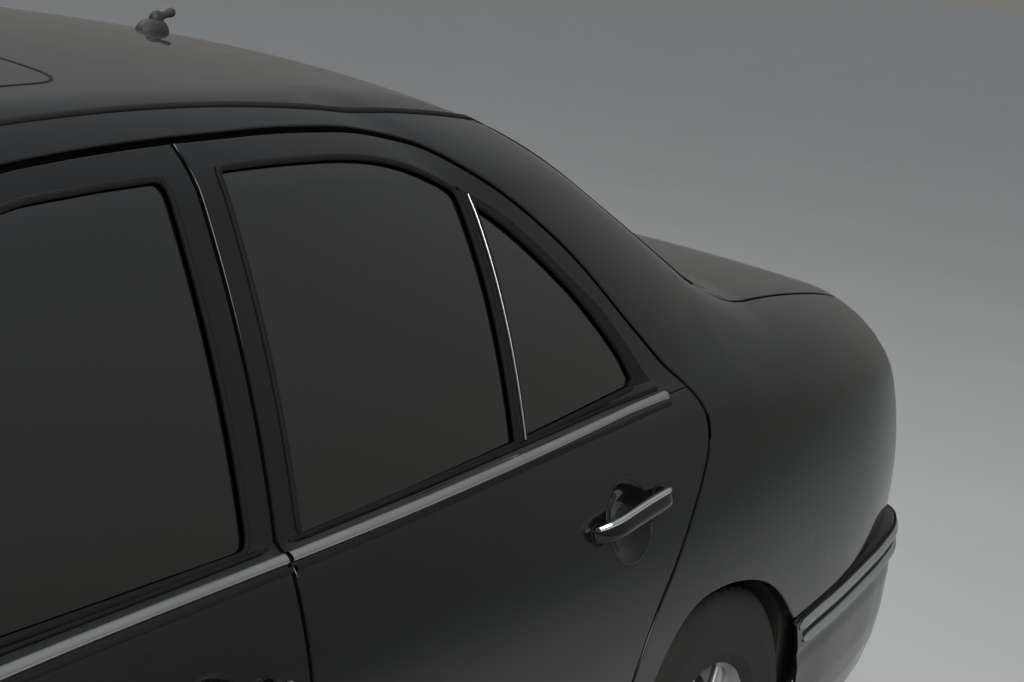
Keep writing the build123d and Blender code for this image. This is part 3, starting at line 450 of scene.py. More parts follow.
def grid_faces(nu: int, nv: int, offset: int = 0, wrap: bool = False) -> Array:
    """Quads of a grid whose points are numbered row by row."""
    i, j = np.meshgrid(np.arange(nu if wrap else nu - 1), np.arange(nv - 1), indexing="ij")
    i, j = i.ravel(), j.ravel()
    k = (i + 1) % nu
    return np.stack([i * nv + j, k * nv + j, k * nv + j + 1, i * nv + j + 1], axis=1) + offset


@dataclass
class Surface:
    """Quads over points in car millimetres. A triangle repeats its last point. Normals may be left out."""

    points: Array
    faces: Array
    normals: Array | None = None

    def flipped(self) -> "Surface":
        """The same sheet facing the other way round its quads."""
        return Surface(self.points, self.faces[:, ::-1], self.normals)

    def facing_out(self) -> "Surface":
        """The same sheet with its quads turned to agree with its normals."""
        a, b, c = (self.points[self.faces[:, k]] for k in (0, 1, 3))
        agree = np.sum(np.cross(b - a, c - a) * self.normals[self.faces[:, 0]])
        # stations run backwards, so the row frame mirrors the sense of a quad
        return self if agree < 0 else self.flipped()


def sheet_of(grid: Array) -> Surface:
    """A sheet on the skin from a grid of points."""
    nu, nv = grid.shape[:2]
    flat = grid.reshape(-1, 3)
    return Surface(flat, grid_faces(nu, nv), SKIN.normal(flat)).facing_out()


def grid_normals(grid: Array, outside: Array) -> Array:
    """Unit normals of a grid by the cross product of its two differences, turned towards the outside."""
    du, dv = np.gradient(grid, axis=0), np.gradient(grid, axis=1)
    normal = np.cross(du, dv)
    normal /= np.maximum(np.linalg.norm(normal, axis=-1, keepdims=True), 1e-9)
    return np.where(np.sum(normal * outside, axis=-1, keepdims=True) < 0, -normal, normal)


def free_sheet(grid: Array, outside: Array) -> Surface:
    """A sheet from any grid of points, with an outward direction given for each point."""
    normals = grid_normals(grid, np.broadcast_to(outside, grid.shape))
    return Surface(grid.reshape(-1, 3), grid_faces(*grid.shape[:2]), normals.reshape(-1, 3)).facing_out()


def without(sheet: Surface, axes: tuple[int, int], centre: Sequence[float], half: Sequence[float],
            power: float = 2.0, snap: bool = True) -> Surface:
    """Cuts a superellipse out of a sheet: |a|^p + |b|^p < 1 is left open, and the rim is drawn onto its outline.

    Args:
        sheet: the sheet.
        axes: the two coordinates in which the outline is drawn.
        centre: its centre in those coordinates.
        half: its half sizes.
        power: 2 for an ellipse, more for a rounded rectangle.
        snap: True where the rim goes back onto the body's skin.

    Returns:
        The sheet with its hole.
    """
    flat = (sheet.points[:, axes] - np.array(centre)) / np.array(half)
    size = np.sum(np.abs(flat) ** power, axis=1) ** (1 / power)
    inner = size < 1
    inside = inner[sheet.faces].all(axis=1)
    kept = sheet.faces[~inside]
    rim = np.zeros(len(sheet.points), bool)
    rim[sheet.faces[inside]] = True
    here = np.zeros(len(sheet.points), bool)
    here[kept] = True
    rim &= here
    points = sheet.points.copy()
    moved_to = flat[rim] / np.maximum(size[rim, None], 1e-6) * np.array(half) + np.array(centre)
    points[np.ix_(np.where(rim)[0], axes)] = moved_to
    if snap:
        points[rim] = settle(points[rim], 2)
        points[np.ix_(np.where(rim)[0], axes)] = moved_to
    used, back = np.unique(kept, return_inverse=True)
    return Surface(points[used], back.reshape(kept.shape), sheet.normals[used])


def join_sheets(sheets: Sequence[Surface], tolerance: float = 0.05) -> Surface:
    """Joins sheets and welds points that meet within a tolerance."""
    points = np.concatenate([s.points for s in sheets])
    normals = np.concatenate([s.normals for s in sheets])
    starts = np.cumsum([0] + [len(s.points) for s in sheets[:-1]])
    faces = np.concatenate([s.faces + k for s, k in zip(sheets, starts)])
    key = np.round(points / tolerance).astype(np.int64)
    _, first, back = np.unique(key, axis=0, return_index=True, return_inverse=True)
    return Surface(points[first], back.reshape(-1)[faces], normals[first])


def closed_shell(sheet: Surface, depth: float, radius: float = CAR.edge) -> Surface:
    """Gives a sheet a thickness and rolled edges, as a closed shell.

    Each free edge is rolled over by a quarter circle of the radius, carried straight in to the depth, and
    met there by a copy of the sheet that faces inwards.

    Args:
        sheet: the outer surface, whose normals point out.
        depth: how far in the inner face lies.
        radius: the radius of the rolled edge.

    Returns:
        The closed shell.
    """
    n = len(sheet.points)
    edges = np.concatenate([sheet.faces[:, [k, (k + 1) % 4]] for k in range(4)])
    edges = edges[edges[:, 0] != edges[:, 1]]
    key = edges[:, 0] * n + edges[:, 1]
    twin = edges[:, 1] * n + edges[:, 0]
    rim = edges[~np.isin(key, twin)]
    used, index = np.unique(rim, return_inverse=True)
    rim_local = index.reshape(rim.shape)
    along = sheet.points[rim[:, 1]] - sheet.points[rim[:, 0]]
    mid_normal = sheet.normals[rim[:, 0]] + sheet.normals[rim[:, 1]]
    across = -np.cross(along, mid_normal)
    across /= np.maximum(np.linalg.norm(across, axis=1, keepdims=True), 1e-9)
    out = np.zeros((len(used), 3))
    np.add.at(out, rim_local[:, 0], across)
    np.add.at(out, rim_local[:, 1], across)
    out /= np.maximum(np.linalg.norm(out, axis=1, keepdims=True), 1e-9)
    base, up = sheet.points[used], sheet.normals[used]
    # the flat part stops short of the outline by the radius, so that the roll ends on it
    sheet_points = sheet.points.copy()
    sheet_points[used] = base - out * radius
    base = sheet_points[used]
    rings, ring_normals = [], []
    for angle in (30.0, 60.0, 90.0):
        a = math.radians(angle)
        rings.append(base + out * radius * math.sin(a) - up * radius * (1 - math.cos(a)))
        ring_normals.append(out * math.sin(a) + up * math.cos(a))
    rings.append(base + out * radius - up * depth)
    ring_normals.append(out)
    inner = sheet_points - sheet.normals * depth
    points = np.concatenate([sheet_points, *rings, inner])
    normals = np.concatenate([sheet.normals, *ring_normals, -sheet.normals])
    faces = [sheet.faces]
    m = len(used)
    levels = [used] + [n + k * m + np.arange(m) for k in range(4)] + [n + 4 * m + used]
    for low, high in zip(levels, levels[1:]):
        a, b = rim_local[:, 0], rim_local[:, 1]
        faces.append(np.stack([low[b], low[a], high[a], high[b]], axis=1))
    faces.append(sheet.faces[:, ::-1] + n + 4 * m)
    return Surface(points, np.concatenate(faces), normals)


def joined(*surfaces: Surface) -> Surface:
    """Several surfaces as one, without welding."""
    starts = np.cumsum([0] + [len(s.points) for s in surfaces[:-1]])
    faces = np.concatenate([s.faces + k for s, k in zip(surfaces, starts)])
    whole = all(s.normals is not None for s in surfaces)
    normals = np.concatenate([s.normals for s in surfaces]) if whole else None
    return Surface(np.concatenate([s.points for s in surfaces]), faces, normals)


def tube(path: Array, across: Array, upward: Array, profile: Array, ring: bool = False) -> Surface:
    """Carries a closed profile along a path: path + a * across + b * upward for each profile point (a, b).

    Args:
        path: the points of the path.
        across: a unit vector at each of them, for the profile's first coordinate.
        upward: a unit vector at each of them, for its second.
        profile: the closed loop, or one loop for each point of the path.
        ring: True if the path closes on itself, otherwise its ends are capped.

    Returns:
        The closed surface.
    """
    profile = np.broadcast_to(profile, (len(path),) + profile.shape[-2:])
    grid = path[:, None] + profile[..., :1] * across[:, None] + profile[..., 1:] * upward[:, None]
    n, m = grid.shape[:2]
    i, j = np.meshgrid(np.arange(n if ring else n - 1), np.arange(m), indexing="ij")
    i, j = i.ravel(), j.ravel()
    k, l = (i + 1) % n, (j + 1) % m
    faces = [np.stack([i * m + j, k * m + j, k * m + l, i * m + l], axis=1)]
    points = [grid.reshape(-1, 3)]
    if not ring:
        j = np.arange(m)
        l = (j + 1) % m
        points.append(np.stack([grid[0].mean(axis=0), grid[-1].mean(axis=0)]))
        first, last = np.full(m, n * m), np.full(m, n * m + 1)
        faces.append(np.stack([first, j, l, l], axis=1))
        base = (n - 1) * m
        faces.append(np.stack([last, base + l, base + j, base + j], axis=1))
    return outward(Surface(np.concatenate(points), np.concatenate(faces)))


def outward(surface: Surface) -> Surface:
    """Turns a closed surface right side out, by the sign of the volume that it holds in the row frame."""
    p = row_frame(surface.points)
    f = surface.faces
    a, b, c, d = (p[f[:, k]] for k in range(4))
    volume = np.sum(np.cross(b - a, c - a) * a) + np.sum(np.cross(c - a, d - a) * a)
    return surface if volume > 0 else Surface(surface.points, f[:, ::-1], surface.normals)


def turned(profile: Array, centre: Sequence[float], count: int = 96) -> Surface:
    """Turns a closed profile of (radius, y) about a wheel's axis: station r cos t, height r sin t."""
    t = np.linspace(0, 2 * math.pi, count, endpoint=False)
    path = np.tile(np.array(centre, float), (count, 1))
    radial = np.stack([np.cos(t), np.zeros(count), np.sin(t)], axis=1)
    axial = np.tile([0.0, 1.0, 0.0], (count, 1))
    return tube(path, radial, axial, profile, ring=True)


def rounded_loop(half_a: float, half_b: float, power: float = 2.6, count: int = 20) -> Array:
    """A rounded rectangle as a superellipse: |a|^p + |b|^p = 1, scaled."""
    t = np.linspace(0, 2 * math.pi, count, endpoint=False)
    c, s = np.cos(t), np.sin(t)
    size = (np.abs(c) ** power + np.abs(s) ** power) ** (-1 / power)
    return np.stack([half_a * c * size, half_b * s * size], axis=1)


def frame_along(path: Array, ring: bool = False) -> tuple[Array, Array]:
    """The skin's normal along a path, and the direction across it in the skin."""
    ahead = np.roll(path, -1, axis=0) - np.roll(path, 1, axis=0) if ring else np.gradient(path, axis=0)
    ahead /= np.maximum(np.linalg.norm(ahead, axis=1, keepdims=True), 1e-9)
    up = SKIN.normal(path)
    up -= ahead * np.sum(up * ahead, axis=1, keepdims=True)
    up /= np.linalg.norm(up, axis=1, keepdims=True)
    return np.cross(up, ahead), up


def bead(path: Array, profile: Array, ring: bool = False) -> Surface:
    """A moulding of one profile laid along a path on the skin: (across, height above the skin)."""
    across, up = frame_along(path, ring)
    return tube(path, across, up, profile, ring)


def inside_out_of(shape: Callable[[Array, Array], Array], nu: int, nv: int) -> Surface:
    """A closed form from a function of longitude u and latitude v in 0..1, with its poles closed.

    Args:
        shape: gives (station, y, z) for arrays u and v.
        nu: points round.
        nv: points from pole to pole.

    Returns:
        The closed surface.
    """
    u, v = np.meshgrid(np.linspace(0, 1, nu, endpoint=False), np.linspace(0, 1, nv)[1:-1], indexing="ij")
    grid = shape(u, v)
    poles = shape(np.array([0.0, 0.0]), np.array([0.0, 1.0]))
    m = nv - 2
    faces = [grid_faces(nu, m, wrap=True)]
    i = np.arange(nu)
    k = (i + 1) % nu
    low, high = np.full(nu, nu * m), np.full(nu, nu * m + 1)
    faces.append(np.stack([low, k * m, i * m, i * m], axis=1))
    faces.append(np.stack([high, i * m + m - 1, k * m + m - 1, k * m + m - 1], axis=1))
    return outward(Surface(np.concatenate([grid.reshape(-1, 3), poles]), np.concatenate(faces)))


def moved(surface: Surface, shift: Sequence[float]) -> Surface:
    """The same surface shifted."""
    return Surface(surface.points + np.array(shift, float), surface.faces, surface.normals)


def mirrored(surface: Surface) -> Surface:
    """The right-hand twin of a left-hand surface."""
    flip = np.array([1.0, -1.0, 1.0])
    normals = None if surface.normals is None else surface.normals * flip
    return Surface(surface.points * flip, surface.faces[:, ::-1], normals)


def handed(surface: Surface, hand: int) -> Surface:
    """The surface as it is on the left (1) or on the right (-1)."""
    return surface if hand > 0 else mirrored(surface)


def put(name: str, surface: Surface, finish: "Finish", body: str = "root", replaces: Sequence[str] = (),
        crease: float = 38.0) -> bpy.types.Object:
    """Makes a piece of a closed surface, dressed and riding on its body.

    Args:
        name: the piece's name.
        surface: its shape.
        finish: what it is made of.
        body: the body that it moves with.
        replaces: the solids that it stands for.
        crease: edges sharper than this many degrees stay sharp, where the surface has no normals of its own.

    Returns:
        The new object.
    """
    mesh = bpy.data.meshes.new(name)
    points, faces = row_frame(surface.points), surface.faces
    three = faces[:, 2] == faces[:, 3]
    sizes = np.where(three, 3, 4)
    keep = np.ones(faces.shape, bool)
    keep[three, 3] = False
    starts = np.concatenate([[0], np.cumsum(sizes)[:-1]])
    mesh.vertices.add(len(points))
    mesh.vertices.foreach_set("co", points.ravel().astype(np.float32))
    mesh.loops.add(int(sizes.sum()))
    mesh.loops.foreach_set("vertex_index", faces[keep].astype(np.int32))
    mesh.polygons.add(len(faces))
    mesh.polygons.foreach_set("loop_start", starts.astype(np.int32))
    mesh.polygons.foreach_set("use_smooth", np.ones(len(faces), bool))
    mesh.materials.append(finish.material())
    mesh.update(calc_edges=True)
    mesh.validate(clean_customdata=False)
    if surface.normals is not None:
        mesh.normals_split_custom_set_from_vertices(surface.normals * np.array([-1.0, 1.0, 1.0]))
    else:
        mesh.set_sharp_from_angle(angle=math.radians(crease))
    obj = bpy.data.objects.new(name, mesh)
    bpy.context.scene.collection.objects.link(obj)
    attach(obj, body)
    if replaces:
        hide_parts(*replaces)
    log.info("%s: %d faces on %s", name, len(faces), body)
    return obj


class Tree:
    """A short way to write a node tree."""

    def __init__(self, tree: bpy.types.NodeTree) -> None:
        """Keeps the tree that the nodes go into."""
        self.tree = tree

    def node(self, kind: str, inputs: dict | None = None, **settings: object) -> bpy.types.Node:
        """Adds a node.

        Args:
            kind: the node's type, without ShaderNode.
            inputs: values or sockets for its inputs, by name or number.
            settings: the node's own properties.

        Returns:
            The new node.
        """
        made = self.tree.nodes.new("ShaderNode" + kind)
        for key, value in settings.items():
            setattr(made, key, value)
        for key, value in (inputs or {}).items():
            if isinstance(value, bpy.types.NodeSocket):
                self.tree.links.new(value, made.inputs[key])
            else:
                made.inputs[key].default_value = value
        return made

    def effect(self, group: bpy.types.NodeTree, inputs: dict | None = None) -> bpy.types.Node:
        """Adds a shared effect."""
        made = self.tree.nodes.new("ShaderNodeGroup")
        made.node_tree = group
        for key, value in (inputs or {}).items():
            if isinstance(value, bpy.types.NodeSocket):
                self.tree.links.new(value, made.inputs[key])
            else:
                made.inputs[key].default_value = value
        return made

    def place(self) -> bpy.types.NodeSocket:
        """Object coordinates."""
        return self.node("TexCoord").outputs["Object"]

    def maths(self, operation: str, *values: object) -> bpy.types.NodeSocket:
        """The result of a Math node."""
        return self.node("Math", dict(enumerate(values)), operation=operation).outputs[0]

    def between(self, value: bpy.types.NodeSocket, low: float, high: float, to_low: float = 0.0,
                to_high: float = 1.0) -> bpy.types.NodeSocket:
        """A value mapped from one range to another, held at its ends."""
        return self.node("MapRange", {0: value, 1: low, 2: high, 3: to_low, 4: to_high}).outputs[0]

    def blend(self, factor: bpy.types.NodeSocket, a: object, b: object) -> bpy.types.NodeSocket:
        """Two colours mixed by a factor."""
        mix = self.node("Mix", data_type="RGBA")
        for key, value in ((0, factor), (6, a), (7, b)):
            if isinstance(value, bpy.types.NodeSocket):
                self.tree.links.new(value, mix.inputs[key])
            elif key == 0:
                mix.inputs[key].default_value = value
            else:
                mix.inputs[key].default_value = (*value, 1.0)
        return mix.outputs[2]


def new_group(name: str, inputs: dict[str, float], outputs: Sequence[str]) -> tuple[Tree, dict, dict]:
    """Starts a shared effect with named number sockets, and Place as its vector input.

    Args:
        name: the effect's name.
        inputs: its number inputs and their defaults.
        outputs: its number outputs.

    Returns:
        The tree, the sockets that bring the inputs in, and the sockets that take the outputs.
    """
    group = bpy.data.node_groups.new(name, "ShaderNodeTree")
    group.interface.new_socket("Place", in_out="INPUT", socket_type="NodeSocketVector")
    for key, value in inputs.items():
        group.interface.new_socket(key, in_out="INPUT", socket_type="NodeSocketFloat").default_value = value
    for key in outputs:
        group.interface.new_socket(key, in_out="OUTPUT", socket_type="NodeSocketFloat")
    entry, leave = group.nodes.new("NodeGroupInput"), group.nodes.new("NodeGroupOutput")
    return Tree(group), dict(entry.outputs.items()), dict(leave.inputs.items())


class Effects:
    """The shared effects: film of dust, fine grain and metal flake."""

    _made: dict[str, bpy.types.NodeTree] = {}

    @classmethod
    def dust(cls) -> bpy.types.NodeTree:
        """A film that settles low on the body and on level places: Mask grows to Amount there, broken by noise."""
        if "dust" not in cls._made:
            t, given, wanted = new_group("settled_dust", {"Amount": 0.3, "Top": 0.5}, ["Mask"])
            noise = t.node("TexNoise",
                           {"Vector": given["Place"], "Scale": 7.0, "Detail": 5.0, "Roughness": 0.62})
            height = t.node("SeparateXYZ", {0: given["Place"]}).outputs[2]
            low = t.node("MapRange", {0: height, 1: 0.12, 2: given["Top"], 3: 1.0, 4: 0.12}).outputs[0]
            facing = t.node("SeparateXYZ", {0: t.node("NewGeometry").outputs["Normal"]}).outputs[2]
            level = t.between(facing, 0.55, 1.0, 0.0, 0.35)
            broken = t.between(noise.outputs["Fac"], 0.35, 0.7, 0.25, 1.0)
            mask = t.maths("MULTIPLY", t.maths("MULTIPLY", t.maths("ADD", low, level), broken),
                           given["Amount"])
            t.tree.links.new(mask, wanted["Mask"])
            cls._made["dust"] = t.tree
        return cls._made["dust"]

    @classmethod
    def grain(cls) -> bpy.types.NodeTree:
        """Moulded or tanned grain: Voronoi cells at Scale with finer noise over them, as Height and Shade."""
        if "grain" not in cls._made:
            t, given, wanted = new_group("fine_grain", {"Scale": 900.0}, ["Height", "Shade"])
            cells = t.node("TexVoronoi",
                           {"Vector": given["Place"], "Scale": given["Scale"], "Randomness": 0.9})
            noise = t.node("TexNoise", {"Vector": given["Place"], "Scale": given["Scale"], "Detail": 3.0})
            cloud = t.node("TexNoise", {"Vector": given["Place"], "Scale": 9.0, "Detail": 4.0})
            t.tree.links.new(t.maths("ADD", cells.outputs["Distance"], noise.outputs["Fac"]),
                             wanted["Height"])
            t.tree.links.new(t.between(cloud.outputs["Fac"], 0.3, 0.7), wanted["Shade"])
            cls._made["grain"] = t.tree
        return cls._made["grain"]

    @classmethod
    def flake(cls) -> bpy.types.NodeTree:
        """Metal flake in paint: the brightest few of many small cells, as Mask, and a slow ripple, as Ripple."""
        if "flake" not in cls._made:
            t, given, wanted = new_group("paint_flake", {"Scale": 1500.0}, ["Mask", "Ripple"])
            cells = t.node("TexVoronoi", {"Vector": given["Place"], "Scale": given["Scale"]})
            tone = t.node("SeparateColor", {0: cells.outputs["Color"]}).outputs[0]
            ripple = t.node("TexNoise", {"Vector": given["Place"], "Scale": 260.0, "Detail": 1.0})
            t.tree.links.new(t.between(tone, 0.75, 1.0), wanted["Mask"])
            t.tree.links.new(ripple.outputs["Fac"], wanted["Ripple"])
            cls._made["flake"] = t.tree
        return cls._made["flake"]


@dataclass(frozen=True)
class Finish:
    """A finish of the car: its colour, gloss and fine relief, and the record's slot that it belongs to.

    The colour varies to a second tone with the grain's slow shade, dust lightens and dulls it low on the
    body, and the grain stands up as relief.
    """

    name: str
    slot: str
    colour: tuple[float, float, float]
    second: tuple[float, float, float] | None = None
    rough: float = 0.5
    rough_spread: float = 0.08
    metallic: float = 0.0
    grain: float = 900.0
    relief: float = 0.1
    coat: float = 0.0
    dust: float = 0.25
    dust_colour: tuple[float, float, float] = (0.16, 0.14, 0.12)
    flake: float = 0.0
    clear: float = 0.0
    index: float = 1.5
    glow: float = 0.0
    sheen: float = 0.0
    specular: float = 0.5

    _made = {}

    def material(self) -> bpy.types.Material:
        """The finish as a Blender material, made once."""
        if self.name in Finish._made:
            return Finish._made[self.name]
        made = bpy.data.materials.new(self.name)
        made.use_nodes = True
        made.node_tree.nodes.clear()
        t = Tree(made.node_tree)
        place = t.place()
        grain = t.effect(Effects.grain(), {"Place": place, "Scale": self.grain})
        dust = t.effect(Effects.dust(), {"Place": place, "Amount": self.dust, "Top": 0.55})
        tone = t.blend(grain.outputs["Shade"], self.colour,
                       self.second or tuple(0.82 * c for c in self.colour))
        height = grain.outputs["Height"]
        metallic: object = self.metallic
        if self.flake:
            flake = t.effect(Effects.flake(), {"Place": place, "Scale": 1500.0})
            tone = t.blend(t.maths("MULTIPLY", flake.outputs["Mask"], self.flake), tone, (0.2, 0.22, 0.25))
            height = flake.outputs["Ripple"]
        dusty = dust.outputs["Mask"]
        tone = t.blend(dusty, tone, self.dust_colour)
        spread = t.between(grain.outputs["Shade"], 0.0, 1.0, self.rough - self.rough_spread / 2,
                           self.rough + self.rough_spread / 2)
        rough = t.maths("ADD", spread, t.maths("MULTIPLY", dusty, 0.5))
        bump = t.node("Bump", {"Strength": self.relief, "Distance": 0.0004, "Height": height})
        inputs = {"Base Color": tone, "Roughness": rough, "Normal": bump.outputs[0], "Metallic": metallic,
                  "IOR": self.index, "Coat Weight": self.coat, "Coat Roughness": 0.03,
                  "Sheen Weight": self.sheen,
                  "Specular IOR Level": self.specular}
        if self.clear:
            inputs["Transmission Weight"] = self.clear
        if self.glow:
            inputs["Emission Color"] = (*self.colour, 1.0)
            inputs["Emission Strength"] = self.glow
        shader = t.node("BsdfPrincipled", inputs)
        t.node("OutputMaterial", {0: shader.outputs[0]})
        Finish._made[self.name] = made
        return made


PAINT = Finish("black_paint", "paint", (0.005, 0.0053, 0.0056), (0.004, 0.0042, 0.0045), rough=0.3, coat=0.75,
               relief=0.012, flake=0.03, dust=0.03, dust_colour=(0.05, 0.044, 0.038), specular=0.02)
INNER_PAINT = Finish("inner_paint", "paint", (0.012, 0.013, 0.014), rough=0.42, coat=0.3, relief=0.05,
                     dust=0.4)
GLASS = Finish("tinted_glass", "glass", (0.05, 0.054, 0.047), (0.044, 0.048, 0.042), rough=0.02,
               rough_spread=0.01,
               clear=1.0, relief=0.0, dust=0.0, index=1.8)
BORDER = Finish("glass_border", "glass", (0.008, 0.008, 0.009), rough=0.12, relief=0.02, dust=0.05)
RUBBER = Finish("window_rubber", "black_trim", (0.0035, 0.0035, 0.0038), (0.005, 0.005, 0.0052), rough=0.7,
                grain=600.0, relief=0.12, dust=0.06, dust_colour=(0.04, 0.036, 0.032), specular=0.22)
PLASTIC = Finish("black_plastic", "black_trim", (0.02, 0.02, 0.021), (0.03, 0.03, 0.031), rough=0.55,
                 grain=1100.0,
                 relief=0.3, dust=0.35)
SATIN = Finish("satin_strip", "bright_trim", (0.55, 0.55, 0.54), (0.46, 0.46, 0.455), rough=0.3, metallic=1.0,
               grain=1400.0, relief=0.03, dust=0.1)
# The bumper strips are real trim, but their pale green-grey colour is a painted sky reflection, and their
# darker-than-chrome tone is painted shade.
STRIP_PAINTED_REFLECTION = Finish("bumper_strip_painted_reflection", "bright_trim", (0.27, 0.295, 0.29), (0.235, 0.255, 0.25), rough=0.36,
               metallic=0.3,
               grain=1400.0, relief=0.05, dust=0.15)
CHROME = Finish("bright_chrome", "bright_trim", (0.82, 0.83, 0.84), (0.76, 0.77, 0.78), rough=0.08,
                metallic=1.0,
                relief=0.01, dust=0.05)
ALLOY = Finish("silver_alloy", "alloy", (0.52, 0.53, 0.54), (0.45, 0.46, 0.47), rough=0.3, metallic=0.9,
               coat=0.6,
               grain=1600.0, relief=0.05, dust=0.3, dust_colour=(0.1, 0.085, 0.07))
TYRE = Finish("tyre_rubber", "tyre", (0.012, 0.012, 0.012), (0.019, 0.0185, 0.018), rough=0.72, grain=500.0,
              relief=0.35, dust=0.22, dust_colour=(0.07, 0.062, 0.054), specular=0.35)
CAST = Finish("dark_castings", "cast_metal", (0.06, 0.06, 0.062), (0.035, 0.034, 0.033), rough=0.6,
              metallic=0.6,
              grain=350.0, relief=0.5, dust=0.7)
STEEL = Finish("bare_steel", "cast_metal", (0.32, 0.31, 0.3), (0.2, 0.19, 0.18), rough=0.4, metallic=1.0,
               grain=700.0,
               relief=0.15, dust=0.5)
CABIN = Finish("cabin_plastic", "cabin_trim", (0.03, 0.03, 0.032), (0.04, 0.04, 0.042), rough=0.6,
               grain=850.0,
               relief=0.4, dust=0.05)
LEATHER = Finish("grained_leather", "upholstery", (0.035, 0.034, 0.036), (0.05, 0.048, 0.049), rough=0.45,
                 grain=520.0,
                 relief=0.4, dust=0.0, sheen=0.1)
CLEAR = Finish("lamp_lens", "lamp", (0.92, 0.94, 0.95), (0.9, 0.92, 0.94), rough=0.03, rough_spread=0.01,
               clear=1.0,
               relief=0.005, dust=0.04)
RED = Finish("red_lens", "lamp_red", (0.32, 0.006, 0.008), (0.25, 0.004, 0.006), rough=0.1, coat=0.8,
             relief=0.02,
             dust=0.06)
AMBER = Finish("amber_lens", "lamp_red", (0.75, 0.22, 0.02), (0.65, 0.17, 0.015), rough=0.1, coat=0.8,
               relief=0.02,
               dust=0.06)
LINER = Finish("underseal", "paint", (0.014, 0.014, 0.015), (0.024, 0.022, 0.02), rough=0.8, grain=260.0,
               relief=0.6,
               dust=0.7)


SIDES = {"left": 1, "right": -1}
BELT_RISE = 0.052


def belt(s: Array) -> Array:
    """Height of the belt strip's lower edge."""
    return 898.0 + BELT_RISE * (np.asarray(s, float) - 1124.0)


def bumper_seam(s: Array | float) -> Array:
    """Height of the rear bumper's upper edge: it rises from the arch and is level across the tail."""
    return np.interp(s, (3118.0, 3793.0), (538.0, 596.0))


def roof_line(s: Array) -> Array:
    """Distance of the roof's seam from the middle: level, then drawn in by a parabola to the rear window's corner."""
    return 540.0 - 40.0 * np.clip((np.asarray(s, float) - 2080.0) / 400.0, 0, 1) ** 2


def shifted(curve: Array, by: float) -> Array:
    """A flat curve moved sideways by a distance, to the left of its run."""
    ahead = np.gradient(curve, axis=0)
    ahead /= np.maximum(np.linalg.norm(ahead, axis=1, keepdims=True), 1e-9)
    return curve + by * np.stack([-ahead[:, 1], ahead[:, 0]], axis=1)


def cut(curve: Array, start: float, end: float, count: int) -> Array:
    """The part of a flat curve between two stations, spaced evenly."""
    inside = curve[(curve[:, 0] > min(start, end)) & (curve[:, 0] < max(start, end))]
    ends = [np.array([[s, np.interp(s, curve[:, 0], curve[:, 1])]]) for s in (start, end)]
    inside = inside[::-1] if start > end else inside
    return spread(np.concatenate([ends[0], inside, ends[1]]), count)


@dataclass
class Outlines:
    """The gaps and openings of the left side, as flat curves in side view."""

    front_top: tuple = (
        (478, 890), (560, 925), (650, 983), (740, 1045), (985, 1225), (1140, 1312), (1292, 1349),
        (1400, 1361),
        (1507, 1369), (1600, 1374),
    )
    rear_top: tuple = (
        (1600, 1374), (1700, 1377), (1787, 1379), (1900, 1378), (1996, 1374), (2070, 1365), (2140, 1352),
        (2220, 1323),
        (2292, 1291), (2433, 1207), (2578, 1092), (2674, 1021),
    )
    rear_corner: tuple = ((2674, 1021), (2708, 990), (2727, 960), (2727, 928), (2714, 902), (2676, 860))
    rear_edge: tuple = ((2676, 860), (2558, 749), (2483, 675), (2440, 599), (2412, 500), (2394, 380),
                        (2385, 225))
    front_glass: tuple = (
        (690, 908), (760, 968), (870, 1058), (1010, 1168), (1180, 1275), (1276, 1315), (1401, 1330),
        (1550, 1339),
    )
    rear_glass_top: tuple = ((1648, 1345), (1740, 1348), (1834, 1349), (1940, 1347), (2012, 1341),
                             (2081, 1328), (2172, 1298))
    quarter_glass_top: tuple = ((2204, 1284), (2267, 1253), (2337, 1210), (2401, 1165), (2501, 1080),
                                (2560, 1022))
    rear_arch: tuple = (
        (2472, 205), (2466, 320), (2474, 430), (2500, 535), (2540, 606), (2590, 650), (2654, 675),
        (2737, 681),
        (2835, 672), (2949, 642), (3020, 607), (3083, 565), (3118, 541),
    )
    front_arch: tuple = (
        (-302, 604), (-230, 640), (-120, 672), (0, 684), (100, 678), (190, 655), (262, 615), (318, 545),
        (352, 450),
        (364, 330), (357, 205),
    )
    bonnet_edge: tuple = ((-640, 560), (-560, 610), (-460, 637), (-350, 655), (-180, 674), (0, 688),
                          (200, 697), (396, 700))
    lid_edge: tuple = ((3118, 655), (3300, 647), (3500, 634), (3752, 611))

    def curve(self, name: str, count: int = 400) -> Array:
        """One of the outlines as a smooth dense curve."""
        return smooth_line(np.array(getattr(self, name), float), count)


LINES = Outlines()


@dataclass
class Panel:
    """A pressed panel: sheets on the skin welded together, closed as a shell."""

    name: str
    sheets: list[Surface]
    depth: float = 18.0
    body: str = "root"
    finish: Finish = PAINT
    replaces: tuple[str, ...] = ()

    def build(self, hand: int = 1) -> bpy.types.Object:
        """Welds, closes and dresses the panel."""
        shell = closed_shell(join_sheets(self.sheets), self.depth)
        return put(self.name, handed(shell, hand), self.finish, self.body, self.replaces)


def strip(bottom: Array, top: Array, across: int) -> Surface:
    """A sheet of straight rulings settled on the skin."""
    return sheet_of(ruled(bottom, top, across))


def patch(bottom: Array, top: Array, left: Array, right: Array) -> Surface:
    """A sheet filling four curves, settled on the skin."""
    return sheet_of(settle(coons(bottom, top, left, right)))


HEADLAMPS = ((612.0, 690.0, 90.0, 70.0), (408.0, 684.0, 76.0, 60.0))


